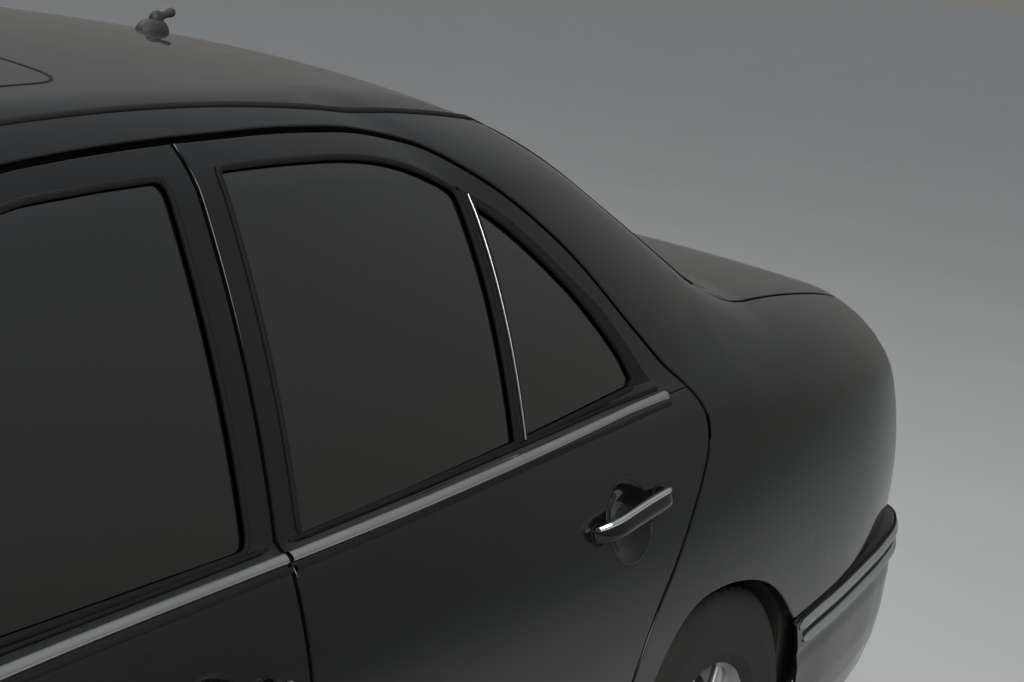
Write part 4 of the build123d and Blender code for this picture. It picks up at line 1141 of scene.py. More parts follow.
@dataclass
class BodyShell:
    """The fixed panels and the opening lids of the body."""

    half_gap: float = 3.0
    bumper_top: float = 604.0
    roof_seam: float = 540.0
    shell: float = 20.0

    def gap_at(self, name: str, by: float) -> Array:
        """A gap's outline moved by the half gap: away from the door for a positive distance."""
        return shifted(LINES.curve(name), by)

    def side_curve(self, flat: Array, count: int) -> Array:
        """A flat side-view curve on the skin."""
        return settle(side(*spread(flat, count)))

    def window_edge(self, view: Callable[..., Array], corners: Sequence[Sequence[float]],
                    count: int) -> Array:
        """A straight edge of a screen on the skin."""
        return settle(view(*spread(np.array(corners, float), count)))

    def pillar_and_rail(self) -> tuple[list[Surface], Array]:
        """The screen pillar, roof rail and rear pillar between the door gaps and the screens."""
        g = self.half_gap
        low = np.concatenate([self.gap_at("front_top", g)[:-2], self.gap_at("rear_top", g)[2:]])
        corner = self.gap_at("rear_corner", g)
        foot = self.window_edge(front, ((722, 990), (560, 1362)), 60)
        over_s = np.linspace(foot[-1][0] + 14, 2468.0, 80)
        rail = settle(plan(*np.stack([over_s, roof_line(over_s)], axis=1)))
        back = self.window_edge(rear, ((500, 1352), (628, 1092)), 60)
        rail = np.concatenate([foot[-1:], rail, back[:1]])
        deck = on_skin(np.concatenate([back[-1:], plan((3085, 652), (3112, 656))]), 8)
        pillar = ruled(self.side_curve(cut(low, 475, 1150, 60), 60), foot, 20)
        roof = ruled(self.side_curve(cut(low, 1150, 2290, 84), 84), spread(rail, 84), 20)
        rear_low = chain(cut(low, 2290, 2672, 50), spread(corner[corner[:, 0] > 2668][:260], 11))
        rear_low = self.side_curve(rear_low, 60)
        back_all = spread(chain(back, deck), 60)
        last = ruled(rear_low, back_all, 20)
        return [sheet_of(pillar), sheet_of(roof), sheet_of(last)], last[-1]

    def rear_quarter(self, seam: Array) -> list[Surface]:
        """The rear wing: from the door gap and the pillar down to the arch and the bumper, round to the lid."""
        g, n = self.half_gap, len(seam)
        edge = np.concatenate([self.gap_at("rear_corner", g)[150:], self.gap_at("rear_edge", g)[2:]])[::-1]
        up = self.side_curve(edge, 44)
        up = np.concatenate([up[:-1], seam[:1]])
        lid = settle(plan(*shifted(LINES.curve("lid_edge"), g)[8:-4]))
        lid = chain(seam[-1:], settle(spread(lid, 60)))
        tail = on_skin(np.concatenate([lid[-1:], rear((604, 985), (600, 960), (596, 900), (593, 800), (592, 700), (592, 599))]), 40)
        arch = self.side_curve(LINES.curve("rear_arch"), 44 + n - 1)
        line_s = np.linspace(3118, 3700, len(lid))
        line = settle(side(*np.stack([line_s, bumper_seam(line_s) + g], axis=1)))
        level = bumper_seam(3800.0) + g
        y = np.array((740.0, 700.0, 650.0, 592.0))
        behind = rear(*np.stack([y, np.full(4, level)], axis=1))
        round_end = np.concatenate([line[-1:], side((3752, bumper_seam(3752.0) + g), (3800, level)), behind])
        corner = settle(smooth_line(round_end, 40))
        sheets = [strip(arch[:44], up, 22), strip(arch[43:], seam, 22)]
        sheets.append(strip(line, lid, 22))
        sheets.append(strip(corner, tail, 22))
        return sheets

    def front_wing(self) -> list[Surface]:
        """The front wing: from the bonnet's edge to the bumper line and the arch, back to the door gap."""
        g = self.half_gap
        edge = shifted(LINES.curve("bonnet_edge"), g)
        start = on_skin(np.concatenate([side((-638, 604)), front((712, 640), (700, 690), (665, 730)),
                                        plan((-638, 563))]), 22)
        corner = on_skin(np.concatenate([plan((399, 703), (450, 712), (520, 716)), front((722, 990))]), 26)
        foot = ruled(self.side_curve(np.array([[475.0, 889.0], [475.0, 889.5]]), 2), corner[-2:], 12)[0]
        foot = settle(np.linspace(side((475, 889))[0], corner[-1], 12))[::-1]
        down = self.side_curve(np.array([[475.0, 889.0], [475.0, 205.0]]), 40)
        line_s = np.linspace(-638, -302, 30)
        low = settle(side(*np.stack([line_s, np.full(30, self.bumper_top)], axis=1)))
        arch = self.side_curve(LINES.curve("front_arch"), 30 + 26 + 11 + 39 - 2)
        top = settle(plan(*spread(edge[edge[:, 0] > -639], 75)))
        top[0] = start[-1]
        first = patch(low, top[:30], start, settle(np.linspace(low[-1], top[29], 22)))
        over = strip(arch[: 46], top[29:], 22)
        after = chain(corner, foot, down)
        rest = arch[45:]
        after = spread(np.concatenate([top[-1:], after[1:]]), len(rest))
        return [first, over, strip(rest, after, 22)]

    def sill(self) -> list[Surface]:
        """The sill under the doors."""
        s = np.linspace(475, 2388, 90)
        low = settle(side(*np.stack([s, np.full(90, 192.0)], axis=1)))
        high = settle(side(*np.stack([s, np.full(90, 221.5)], axis=1)))
        return [strip(low, high, 5)]

    def bonnet(self) -> list[Surface]:
        """The bonnet between the wings, from the nose to its curved rear edge."""
        g = self.half_gap
        edge = shifted(LINES.curve("bonnet_edge"), -g)
        edge = spread(edge[edge[:, 0] > -637], 70)
        left = settle(plan(*edge))
        right = left * np.array([1.0, -1.0, 1.0])
        y = np.linspace(-left[-1][1], left[-1][1], 60)
        back = settle(plan(*np.stack([147.0 + (393.0 - 147.0) * (y / 697.0) ** 2, y], axis=1)))
        y = np.linspace(-left[0][1], left[0][1], 60)
        nose = settle(plan(*np.stack([np.full(60, left[0][0]), y], axis=1)))
        return [patch(nose, back, right, left)]

    def nose(self) -> list[Surface]:
        """The fixed nose between the bonnet and the bumper, from wing to wing."""
        y = np.linspace(-1, 1, 81)
        top = settle(np.concatenate([front((712, 640), (700, 690), (665, 730)), plan((-643, 563))]))
        half = on_skin(np.concatenate([side((-643, 604)), top]), 40)
        across = settle(plan(*np.stack([np.full(130, -643.0), np.linspace(half[-1][1], -half[-1][1], 130)],
                                       axis=1)))
        whole = chain(half, across, half[::-1] * np.array([1.0, -1.0, 1.0]))
        low_y = np.linspace(1, -1, len(whole)) * whole[0][1]
        low = settle(front(*np.stack([low_y, np.full(len(whole), 604.0)], axis=1)))
        low[0], low[-1] = whole[0], whole[-1]
        sheet = strip(low, whole, 60)
        for y, z, half_w, half_h in HEADLAMPS:
            for hand in SIDES.values():
                sheet = without(sheet, (1, 2), (hand * y, z), (half_w, half_h))
        return [without(sheet, (1, 2), (0.0, 672.0), (270.0, 50.0), 6.0)]

    def roof(self) -> list[Surface]:
        """The roof between its seams, from screen to screen."""
        y_f = np.linspace(-537, 537, 60)
        ahead = settle(front(*np.stack([y_f, 1368 + 6 * (1 - (y_f / 537) ** 2)], axis=1)))
        y_r = np.linspace(-497, 497, 60)
        behind = settle(rear(*np.stack([y_r, 1359 + 5 * (1 - (y_r / 497) ** 2)], axis=1)))
        s = np.linspace(1300, 2380, 9)
        edge = plan(*np.stack([s, roof_line(s) - self.half_gap], axis=1))
        left = on_skin(np.concatenate([ahead[-1:], edge, behind[-1:]]), 90)
        right = left * np.array([1.0, -1.0, 1.0])
        return [patch(ahead, behind, right, left)]

    def scuttle(self) -> list[Surface]:
        """The scuttle between the bonnet and the windscreen."""
        y = np.linspace(-700, 700, 70)
        ahead = settle(plan(*np.stack([153.0 + (399.0 - 153.0) * (y / 700.0) ** 2, y], axis=1)))
        behind = settle(front(*np.stack([np.linspace(-716, 716, 70), np.full(70, 984.0)], axis=1)))
        return [strip(ahead, behind, 14)]

    def deck(self) -> list[Surface]:
        """The shelf between the rear window's bowed lower edge and the boot lid."""
        y = np.linspace(-650, 650, 70)
        behind = settle(plan(*np.stack([3209.0 - 94.0 * (y / 652.0) ** 2, y], axis=1)))
        y = np.linspace(-624, 624, 70)
        ahead = settle(rear(*np.stack([y, 1090.0 + REAR_WINDOW_BOW * (1 - (y / 628.0) ** 2)], axis=1)))
        left = on_skin(np.concatenate([ahead[-1:], plan((3060, 638.5), (3085, 647.0)), behind[-1:]]), 12)
        right = left * np.array([1.0, -1.0, 1.0])
        return [patch(ahead, behind, right, left)]

    def boot_lid(self) -> list[Surface]:
        """The boot lid: the top from its curved front edge, over the edge and down the rear face."""
        g = self.half_gap
        edge = settle(plan(*shifted(LINES.curve("lid_edge"), -g)[4:-4]))
        tail = rear((598, 985), (594, 960), (590, 900), (587, 800), (586, 700), (586, 612))
        left = on_skin(chain(edge[::24], tail), 110)
        right = left * np.array([1.0, -1.0, 1.0])
        y = np.linspace(-left[0][1], left[0][1], 64)
        ahead = settle(plan(*np.stack([3215.0 - 94.0 * (y / 652.0) ** 2, y], axis=1)))
        ahead[0], ahead[-1] = right[0], left[0]
        low = settle(rear(*np.stack([np.linspace(-586, 586, 64), np.full(64, 612.0)], axis=1)))
        low[0], low[-1] = right[-1], left[-1]
        return [patch(ahead, low, right, left)]

    def build(self) -> None:
        """Makes every panel of the body."""
        rails, seam = self.pillar_and_rail()
        quarter = self.rear_quarter(seam)
        wing, sill = self.front_wing(), self.sill()
        for side_name, hand in SIDES.items():
            Panel(f"roof_rail_and_pillars_{side_name}", rails + quarter, self.shell).build(hand)
            Panel(f"front_wing_skin_{side_name}", wing, self.shell).build(hand)
            Panel(f"sill_skin_{side_name}", sill, 8.0).build(hand)
        Panel("bonnet_skin", self.bonnet(), self.shell, "bonnet", replaces=("bonnet",)).build()
        Panel("nose_skin", self.nose(), self.shell, replaces=("nose_panel",)).build()
        Panel("roof_skin", self.roof(), self.shell, replaces=("roof_panel",)).build()
        Panel("scuttle_skin", self.scuttle(), self.shell, replaces=("cowl_panel",), finish=PLASTIC).build()
        Panel("deck_skin", self.deck(), self.shell, replaces=("rear_deck",)).build()
        Panel("boot_lid_skin", self.boot_lid(), self.shell, "boot_lid", replaces=("boot_lid",)).build()
        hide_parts("quarter_panels")
        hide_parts("front_wings")
        for side_name in SIDES:
            pressed_copy(f"side_frame_{side_name}", f"side_frame_pressing_{side_name}", 21.0, INNER_PAINT,
                         "root")


@dataclass(frozen=True)
class HandlePlace:
    """Where a door's handle lies in side view."""

    start: float
    end: float
    height: float
    bowl: tuple[float, float]


HANDLES = {
    "front": HandlePlace(1296.0, 1528.0, 784.0, (1412.0, 787.0)),
    "rear": HandlePlace(2302.0, 2534.0, 836.0, (2418.0, 839.0)),
}


BOWL_HALF = (70.0, 58.0)
REAR_WINDOW_BOW = 11.0


@dataclass
class SideDoor:
    """One door's skin, window frame and panes."""

    place: str
    half_gap: float = 3.5
    depth: float = 16.0

    def lines(self, centre: float, half: float, fine: int, coarse: int) -> Array:
        """Places from 0 to 1 that lie closer together within a stretch."""
        at = [0.0, centre - half, centre + half, 1.0]
        counts = (max(int(coarse * at[1]), 2), fine, max(int(coarse * (1 - at[2])), 2))
        runs = [np.linspace(a, b, n, endpoint=False) for a, b, n in zip(at, at[1:], counts)]
        return np.concatenate([*runs, [1.0]])

    def bowl(self, grid: Array) -> Surface:
        """Presses the finger bowl behind the handle into the skin: depth by distance from its middle."""
        middle = HANDLES[self.place].bowl
        flat = (grid[..., [0, 2]] - np.array(middle)) / np.array(BOWL_HALF)
        away = np.hypot(flat[..., 0], flat[..., 1])
        depth = np.interp(away, (0.0, 0.35, 0.62, 0.84, 0.97, 1.03), (14.0, 13.2, 9.6, 3.6, 0.35, 0.0))
        normal = SKIN.normal(grid)
        return free_sheet(grid - normal * depth[..., None], normal)

    def lower(self) -> list[Surface]:
        """The skin below the belt strip."""
        g = self.half_gap
        if self.place == "front":
            s0, s1 = 478 + g, 1600 - g
            u, v = self.lines(0.832, 0.075, 50, 70), self.lines(0.81, 0.095, 42, 50)
            x = s0 + (s1 - s0) * u
            low = settle(side(*np.stack([x, np.full(len(x), 225.0)], axis=1)))
            high = settle(side(*np.stack([x, belt(x) + 8], axis=1)))
            left, right = (
                settle(side(*np.stack([np.full(len(v), s), 225 + (belt(s) + 8 - 225) * v], axis=1))) for s in (s0, s1)
            )
            return [self.bowl(settle(coons(low, high, left, right, u, v)))]
        s0 = 1600 + g
        u, v = self.lines(0.772, 0.09, 56, 70), self.lines(0.80, 0.11, 48, 50)
        edge = np.concatenate([shifted(LINES.curve("rear_corner"), -g),
                               shifted(LINES.curve("rear_edge"), -g)[2:]])[::-1]
        over = edge[:, 1] < belt(edge[:, 0]) + 8
        edge = spread(edge[over | (edge[:, 0] < 2600)], 500)
        run = v * 499
        edge = np.stack([np.interp(run, np.arange(500), edge[:, k]) for k in (0, 1)], axis=1)
        right = settle(side(*edge))
        end = right[-1]
        x = s0 + (end[0] - s0) * u
        high = settle(side(*np.stack([x, belt(x) + 8 + u * (end[2] - belt(end[0]) - 8)], axis=1)))
        high[-1] = end
        x = s0 + (right[0][0] - s0) * u
        low = settle(side(*np.stack([x, np.full(len(x), 225.0)], axis=1)))
        low[-1] = right[0]
        left = settle(side(*np.stack([np.full(len(v), s0), 225 + (belt(s0) + 8 - 225) * v], axis=1)))
        return [self.bowl(settle(coons(low, high, left, right, u, v)))]

    def frame(self) -> list[Surface]:
        """The window frame: strips from the gap to the glass, mitred at the corners."""
        g = self.half_gap

        def run(flat: Array, count: int) -> Array:
            """A flat run on the skin."""
            return settle(side(*spread(np.array(flat, float), count)))

        if self.place == "front":
            top = shifted(LINES.curve("front_top"), -g)
            outer = run(cut(top, 1596.5, 481.5, 10)[:1].tolist() + cut(top, 1596, 482, 118).tolist(), 100)
            inner = run(cut(LINES.curve("front_glass"), 1550, 694, 100), 100)
            base = run([(481.5, belt(481.5) + 8), (1596.5, belt(1596.5) + 8)], 80)
            sill = run([(690, 908), (1550, 942)], 80)
            back_o = run([(1596.5, belt(1596.5) + 8), tuple(outer[0][[0, 2]])], 30)
            back_i = run([(1550, 942), (1550, 1339)], 30)
            nose_o = run([tuple(outer[-1][[0, 2]]), (481.5, belt(481.5) + 8)], 5)
            nose_i = run([(689.0, 909.2), (690.0, 908.0)], 5)
            back_o[0], back_o[-1], nose_o[0], nose_o[-1] = base[-1], outer[0], outer[-1], base[0]
            nose_i[0], nose_i[-1] = inner[-1], sill[0]
            sill[-1], back_i[-1] = back_i[0], inner[0]
            pairs = [(outer, inner), (nose_o, nose_i), (base, sill), (back_o, back_i)]
            return [strip(i, o, 6) for o, i in pairs]
        top = np.concatenate([shifted(LINES.curve("rear_top"), -g),
                              shifted(LINES.curve("rear_corner"), -g)[2:]])
        stop = np.argmax((top[:, 0] > 2600) & (top[:, 1] < belt(top[:, 0]) + 8))
        top = top[:stop]
        top = top[top[:, 0] > 1603.5]
        outer = run(np.concatenate([[[1603.5, top[0, 1]]], top]), 120)
        glass = np.concatenate([LINES.curve("rear_glass_top"), LINES.curve("quarter_glass_top")])
        inner = run(glass, 120)
        ahead_o = run([(1603.5, belt(1603.5) + 8), (1603.5, top[0, 1])], 30)
        ahead_i = run([(1645, 943), tuple(glass[0])], 30)
        base_o = run([tuple(outer[-1][[0, 2]]), (1603.5, belt(1603.5) + 8)], 90)
        base_i = run([tuple(glass[-1]), (2535, 1000), (2199, 976), (1645, 943)], 90)
        ahead_o[-1], ahead_i[-1], base_o[0], base_i[0] = outer[0], inner[0], outer[-1], inner[-1]
        base_o[-1], base_i[-1] = ahead_o[0], ahead_i[0]
        return [strip(i, o, 6) for o, i in ((outer, inner), (ahead_o, ahead_i), (base_o, base_i))]

    def panes(self) -> dict[str, Surface]:
        """The window panes, set a little under the skin."""
        made = {}
        if self.place == "front":
            top = LINES.curve("front_glass")
            x = np.linspace(0, 1, 60)
            high = spread(top, 60)
            low = np.stack([690 + 860 * x, 908 + 34 * x], axis=1)
            made["front"] = (low, high)
        else:
            x = np.linspace(0, 1, 50)
            made["main"] = (np.stack([1645 + 533 * x, 943 + 32 * x], axis=1),
                            spread(LINES.curve("rear_glass_top"), 50))
            made["quarter"] = (
                np.stack([2190 + 360 * x, 976 + 26 * x], axis=1),
                spread(LINES.curve("quarter_glass_top"), 50),
            )
        sheets = {}
        for name, (low, high) in made.items():
            v = np.linspace(-0.012, 1.012, 34)[None, :, None]
            grid = low[:, None] * (1 - v) + high[:, None] * v
            if name == "front":
                grid[0, :, 0] -= 2
            seated = settle(side(*grid.reshape(-1, 2)).reshape(len(low), -1, 3))
            normals = SKIN.normal(seated)
            sheet = sheet_of(seated)
            sheet.points = (seated - normals * 4.0).reshape(-1, 3)
            sheets[name] = closed_shell(sheet, 4.0, 0.6)
        return sheets

    def inner(self, hand: int, side_name: str) -> None:
        """The door's inner pressing: the solid's own shape, held clear under the skin."""
        node = f"door_{self.place}_{side_name}"
        pressed_copy(node, f"door_{self.place}_{side_name}_pressing", 15.5, INNER_PAINT, node)

    def build(self) -> None:
        """Makes the door on both sides."""
        lower, frame, panes = self.lower(), self.frame(), self.panes()
        for side_name, hand in SIDES.items():
            body = f"door_{self.place}_{side_name}"
            Panel(f"{body}_skin", lower, self.depth, body).build(hand)
            Panel(f"{body}_window_frame", frame, self.depth, body).build(hand)
            for name, pane in panes.items():
                obj = put(f"{body}_pane_{name}", handed(pane, hand), GLASS, body)
                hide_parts(f"door_glass_{self.place}_{side_name}")
            self.inner(hand, side_name)


def pressed_copy(node: str, name: str, least: float, finish: Finish, body: str) -> bpy.types.Object:
    """A copy of a solid with whatever lies shallower than a depth pushed straight in to that depth.

    Args:
        node: the solid to stand for.
        name: the new piece's name.
        least: the least depth under the skin, in millimetres.
        finish: its finish.
        body: the body that it rides on.

    Returns:
        The new piece.
    """
    source = bpy.data.objects[node].data if node in bpy.data.objects else FRAME["nodes"][node].data
    points = np.empty(len(source.vertices) * 3, np.float32)
    source.vertices.foreach_get("co", points)
    points = points.reshape(-1, 3).astype(float) / MM
    points[:, 0] = CAR.front_axle_x - points[:, 0]
    counts = np.empty(len(source.polygons), np.int32)
    source.polygons.foreach_get("loop_total", counts)
    corners = np.empty(len(source.loops), np.int32)
    source.loops.foreach_get("vertex_index", corners)
    key = np.round(points / 0.02).astype(np.int64)
    _, first, back = np.unique(key, axis=0, return_index=True, return_inverse=True)
    points = SKIN.push_in(points[first], least)
    faces = back.reshape(-1)[corners[: len(counts) * 3].reshape(-1, 3)]
    whole = (faces[:, 0] != faces[:, 1]) & (faces[:, 1] != faces[:, 2]) & (faces[:, 0] != faces[:, 2])
    faces = faces[whole]
    return put(name, Surface(points, np.concatenate([faces, faces[:, 2:]], axis=1)), finish, body, (node,),
               30.0)


def moulding(width: float, height: float, sunk: float = 1.5, count: int = 12) -> Array:
    """A rounded bar's section: half an ellipse on a flat foot that is sunk under the skin."""
    t = np.linspace(0, math.pi, count)
    top = np.stack([-width / 2 * np.cos(t), height * np.sin(t) ** 0.8], axis=1)
    return np.concatenate([top, [[width / 2, -sunk], [-width / 2, -sunk]]])


def side_run(flat: Sequence[Sequence[float]] | Array, count: int) -> Array:
    """A side-view line on the skin, in evenly spaced points."""
    return settle(side(*spread(np.array(flat, float), count)))


def eased_ring(flat: Array, count: int, turns: int = 3) -> Array:
    """A closed flat outline in evenly spaced points, with its corners eased by averaging neighbours."""
    ring = spread(np.concatenate([flat, flat[:1]]), count + 1)[:-1]
    for _ in range(turns):
        ring = (np.roll(ring, 1, axis=0) + 2 * ring + np.roll(ring, -1, axis=0)) / 4
    return ring


@dataclass
class WindowTrim:
    """What frames a door's windows: rubbers, divider bar, belt strip and its black lip."""

    place: str
    rubber: float = 9.0
    strip_height: float = 15.0
    strip_proud: float = 5.5

    def rings(self) -> dict[str, Array]:
        """The outline of each pane, in side view."""
        if self.place == "front":
            top = LINES.curve("front_glass", 120)
            return {"main": np.concatenate([[[690, 908], [1550, 942]], top[::-1]])}
        main, quarter = LINES.curve("rear_glass_top", 90), LINES.curve("quarter_glass_top", 70)
        return {
            "main": np.concatenate([[[1645, 943], [2178, 975]], main[::-1]]),
            "quarter": np.concatenate([[[2196, 976], [2548, 1002]], quarter[::-1]]),
        }

    def rear_seal(self) -> Surface:
        """The broad black seal behind the quarter light: a raised band between the pane and its outer edge."""
        outer = smooth_line(np.array(
            [(2176, 1302), (2272, 1264), (2342, 1223), (2430, 1162), (2490, 1122), (2548, 1068), (2610, 1006)], float), 60)
        inner = smooth_line(np.array(
            [(2182, 1292), (2267, 1250), (2337, 1206), (2401, 1161), (2470, 1105), (2520, 1056), (2558, 1004)], float), 60)
        sheet = strip(settle(side(*inner)), settle(side(*outer)), 9)
        v = np.tile(np.linspace(-1, 1, 9), 60)
        lift = 1.4 + 1.6 * (1 - v * v)
        sheet.points = sheet.points + sheet.normals * lift[:, None]
        return closed_shell(sheet, 4.0, 1.2)

    def build(self) -> None:
        """Makes the trim of the door on both sides."""
        s0, s1 = {"front": (563.0, 1595.5), "rear": (1604.5, 2630.0)}[self.place]
        x = np.linspace(s0, s1, 130)
        belt_path = side_run(np.stack([x, belt(x) + 8], axis=1), 130)
        lip_path = side_run(np.stack([x, belt(x) - 2.5], axis=1), 130)
        upper_path = side_run(np.stack([x[2:-2], belt(x[2:-2]) + 18.5], axis=1), 126)
        beads = {name: bead(side_run(eased_ring(ring, 260), 260), moulding(self.rubber, 3.2), ring=True)
                 for name, ring in self.rings().items()}
        pieces = [
            ("belt_strip", bead(belt_path, moulding(self.strip_height, self.strip_proud)), SATIN),
            ("belt_lip", bead(lip_path, moulding(7.0, 3.4)), RUBBER),
            ("belt_wiper", bead(upper_path, moulding(7.0, 4.2)), RUBBER),
            *((f"rubber_{name}", shape, RUBBER) for name, shape in beads.items()),
        ]
        if self.place == "rear":
            bar = side_run([(2177, 976), (2181, 1296)], 60)
            edge = side_run([(2193, 977), (2197, 1290)], 60)
            pieces += [
                ("divider_bar", bead(bar, moulding(20.0, 3.6)), RUBBER),
                ("divider_bright_edge", bead(edge, moulding(2.6, 4.2)), SATIN),
                ("quarter_seal", self.rear_seal(), RUBBER),
            ]
        for side_name, hand in SIDES.items():
            body = f"door_{self.place}_{side_name}"
            for name, shape, finish in pieces:
                replaces = (f"door_trim_{self.place}_{side_name}",) if name == "belt_strip" else ()
                put(f"{body}_{name}", handed(shape, hand), finish, body, replaces)


@dataclass
class Handle:
    """A pull handle: a bowed grip in body colour under a bright strip, with rubber feet and its lock."""

    place: str
    proud: float = 27.0
    half_height: float = 13.0
    slope: float = 0.098

    def build(self) -> None:
        """Makes the handle on both sides."""
        where = HANDLES[self.place]
        t = np.linspace(-1, 1, 60)
        s = where.start + (where.end - where.start) * (t + 1) / 2
        z = where.height + self.slope * (s - where.start) + 2.0 * (1 - t * t)
        path = side_run(np.stack([s, z], axis=1), 60)
        across, up = frame_along(path)
        # the bow: nearly level between feet that dive under the skin
        lift = self.proud * (1 - np.abs(t) ** 7) - 1.0
        bow = path + up * lift[:, None]
        shrink = 1 - 0.30 * np.abs(t)[:, None, None] ** 6
        grip = tube(bow, across, up, rounded_loop(self.half_height, 7.5, 2.8, 24)[None] * shrink)
        strip_path = bow - across * (self.half_height - 0.5) * shrink[:, 0] + up * 2.0
        keep = np.abs(t) < 0.985
        bright = tube(strip_path[keep], across[keep], up[keep],
                      rounded_loop(4.6, 7.6, 2.6, 18)[None] * shrink[keep])
        feet = []
        for end in (-1, 1):
            foot_s = np.array([where.start + 14, where.end - 14])[(end + 1) // 2]
            flat = eased_ring(np.stack([
                foot_s + 19 * np.cos(np.linspace(0, 2 * math.pi, 24, endpoint=False)),
                where.height + self.slope * (foot_s - where.start) + 15 * np.sin(np.linspace(0, 2 * math.pi, 24, endpoint=False)),
            ], axis=1), 36, 1)
            feet.append(bead(side_run(flat, 36), moulding(3.4, 1.8), ring=True))
        rim_t = np.linspace(0, 2 * math.pi, 72, endpoint=False)
        half = np.array(BOWL_HALF) + 0.5
        rim_flat = np.stack([where.bowl[0] + half[0] * np.cos(rim_t),
                             where.bowl[1] + half[1] * np.sin(rim_t)], axis=1)
        rim = bead(side(*rim_flat), moulding(3.0, 0.9, 0.6), ring=True)
        for side_name, hand in SIDES.items():
            body = f"door_{self.place}_{side_name}"
            put(f"{body}_handle_grip", handed(grip, hand), PAINT, body)
            put(f"{body}_handle_strip", handed(bright, hand), CHROME, body)
            put(f"{body}_handle_feet", handed(joined(*feet), hand), RUBBER, body)
            put(f"{body}_handle_bowl_rim", handed(rim, hand), PAINT, body)
            if self.place == "front":
                lock = turned(np.array([(0.01, 0), (9, 0), (9, 3), (7, 4.4), (3, 4.6), (0.01, 4.6)], float),
                              (0, 0, 0), 36)
                spot = side((where.end + 26, where.height + 17))[0] - np.array([0, 1.2, 0])
                put(f"{body}_lock", handed(moved(lock, spot), hand), CHROME, body)


@dataclass
class Screen:
    """A bonded screen: tinted pane, black printed border and rubber seal."""

    name: str
    node: str
    view: Callable[..., Array]
    low: tuple[float, float]
    high: tuple[float, float]
    bow: float = 0.0
    border: float = 46.0

    def grid(self, u: Array, v: Array) -> Array:
        """Points on the skin between the screen's edges, for u in -1..1 across and v in 0..1 upwards."""
        half = self.low[0] + (self.high[0] - self.low[0]) * v[None, :]
        z = (
            self.low[1] + (self.high[1] - self.low[1]) * v[None, :]
            + self.bow * (1 - u[:, None] ** 2) * (1 - v[None, :])
        )
        flat = np.stack([u[:, None] * half, z], axis=-1)
        return self.view(*flat.reshape(-1, 2)).reshape(len(u), len(v), 3)

    def under(self, u: Array, v: Array, depth: float) -> Surface:
        """The same grid as a sheet, a distance under the skin."""
        sheet = sheet_of(self.grid(u, v))
        sheet.points = sheet.points - sheet.normals * depth
        return sheet

    def build(self) -> None:
        """Makes the pane, its border and its seal."""
        pane = closed_shell(self.under(np.linspace(-0.995, 0.995, 60), np.linspace(0.006, 0.994, 36), 2.0),
                            5.0, 0.8)
        put(f"{self.name}_pane", pane, GLASS, replaces=(self.node,))
        bu, bv = self.border / self.low[0], self.border / np.hypot(330.0, 560.0)
        u = np.concatenate([[-0.99], np.linspace(-1 + bu, 1 - bu, 56), [0.99]])
        v = np.concatenate([[0.01], np.linspace(1.3 * bv, 1 - bv, 34), [0.99]])
        sheet = self.under(u, v, 8.6)
        nu, nv = len(u) - 1, len(v) - 1
        i, j = np.divmod(np.arange(nu * nv), nv)
        rim = (i == 0) | (i == nu - 1) | (j == 0) | (j == nv - 1)
        put(f"{self.name}_border",
            closed_shell(Surface(sheet.points, sheet.faces[rim], sheet.normals), 1.4, 0.4), BORDER)
        edge = [self.grid(np.linspace(-1, 1, 120), np.array([0.0]))[:, 0],
                self.grid(np.array([1.0]), np.linspace(0, 1, 70))[0][1:],
                self.grid(np.linspace(1, -1, 120), np.array([1.0]))[:, 0][1:],
                self.grid(np.array([-1.0]), np.linspace(1, 0, 70))[0][1:-1]]
        ring = settle(eased_ring(np.concatenate(edge), 380, 2))
        put(f"{self.name}_seal", bead(ring, moulding(15.0, 3.0), ring=True), RUBBER)


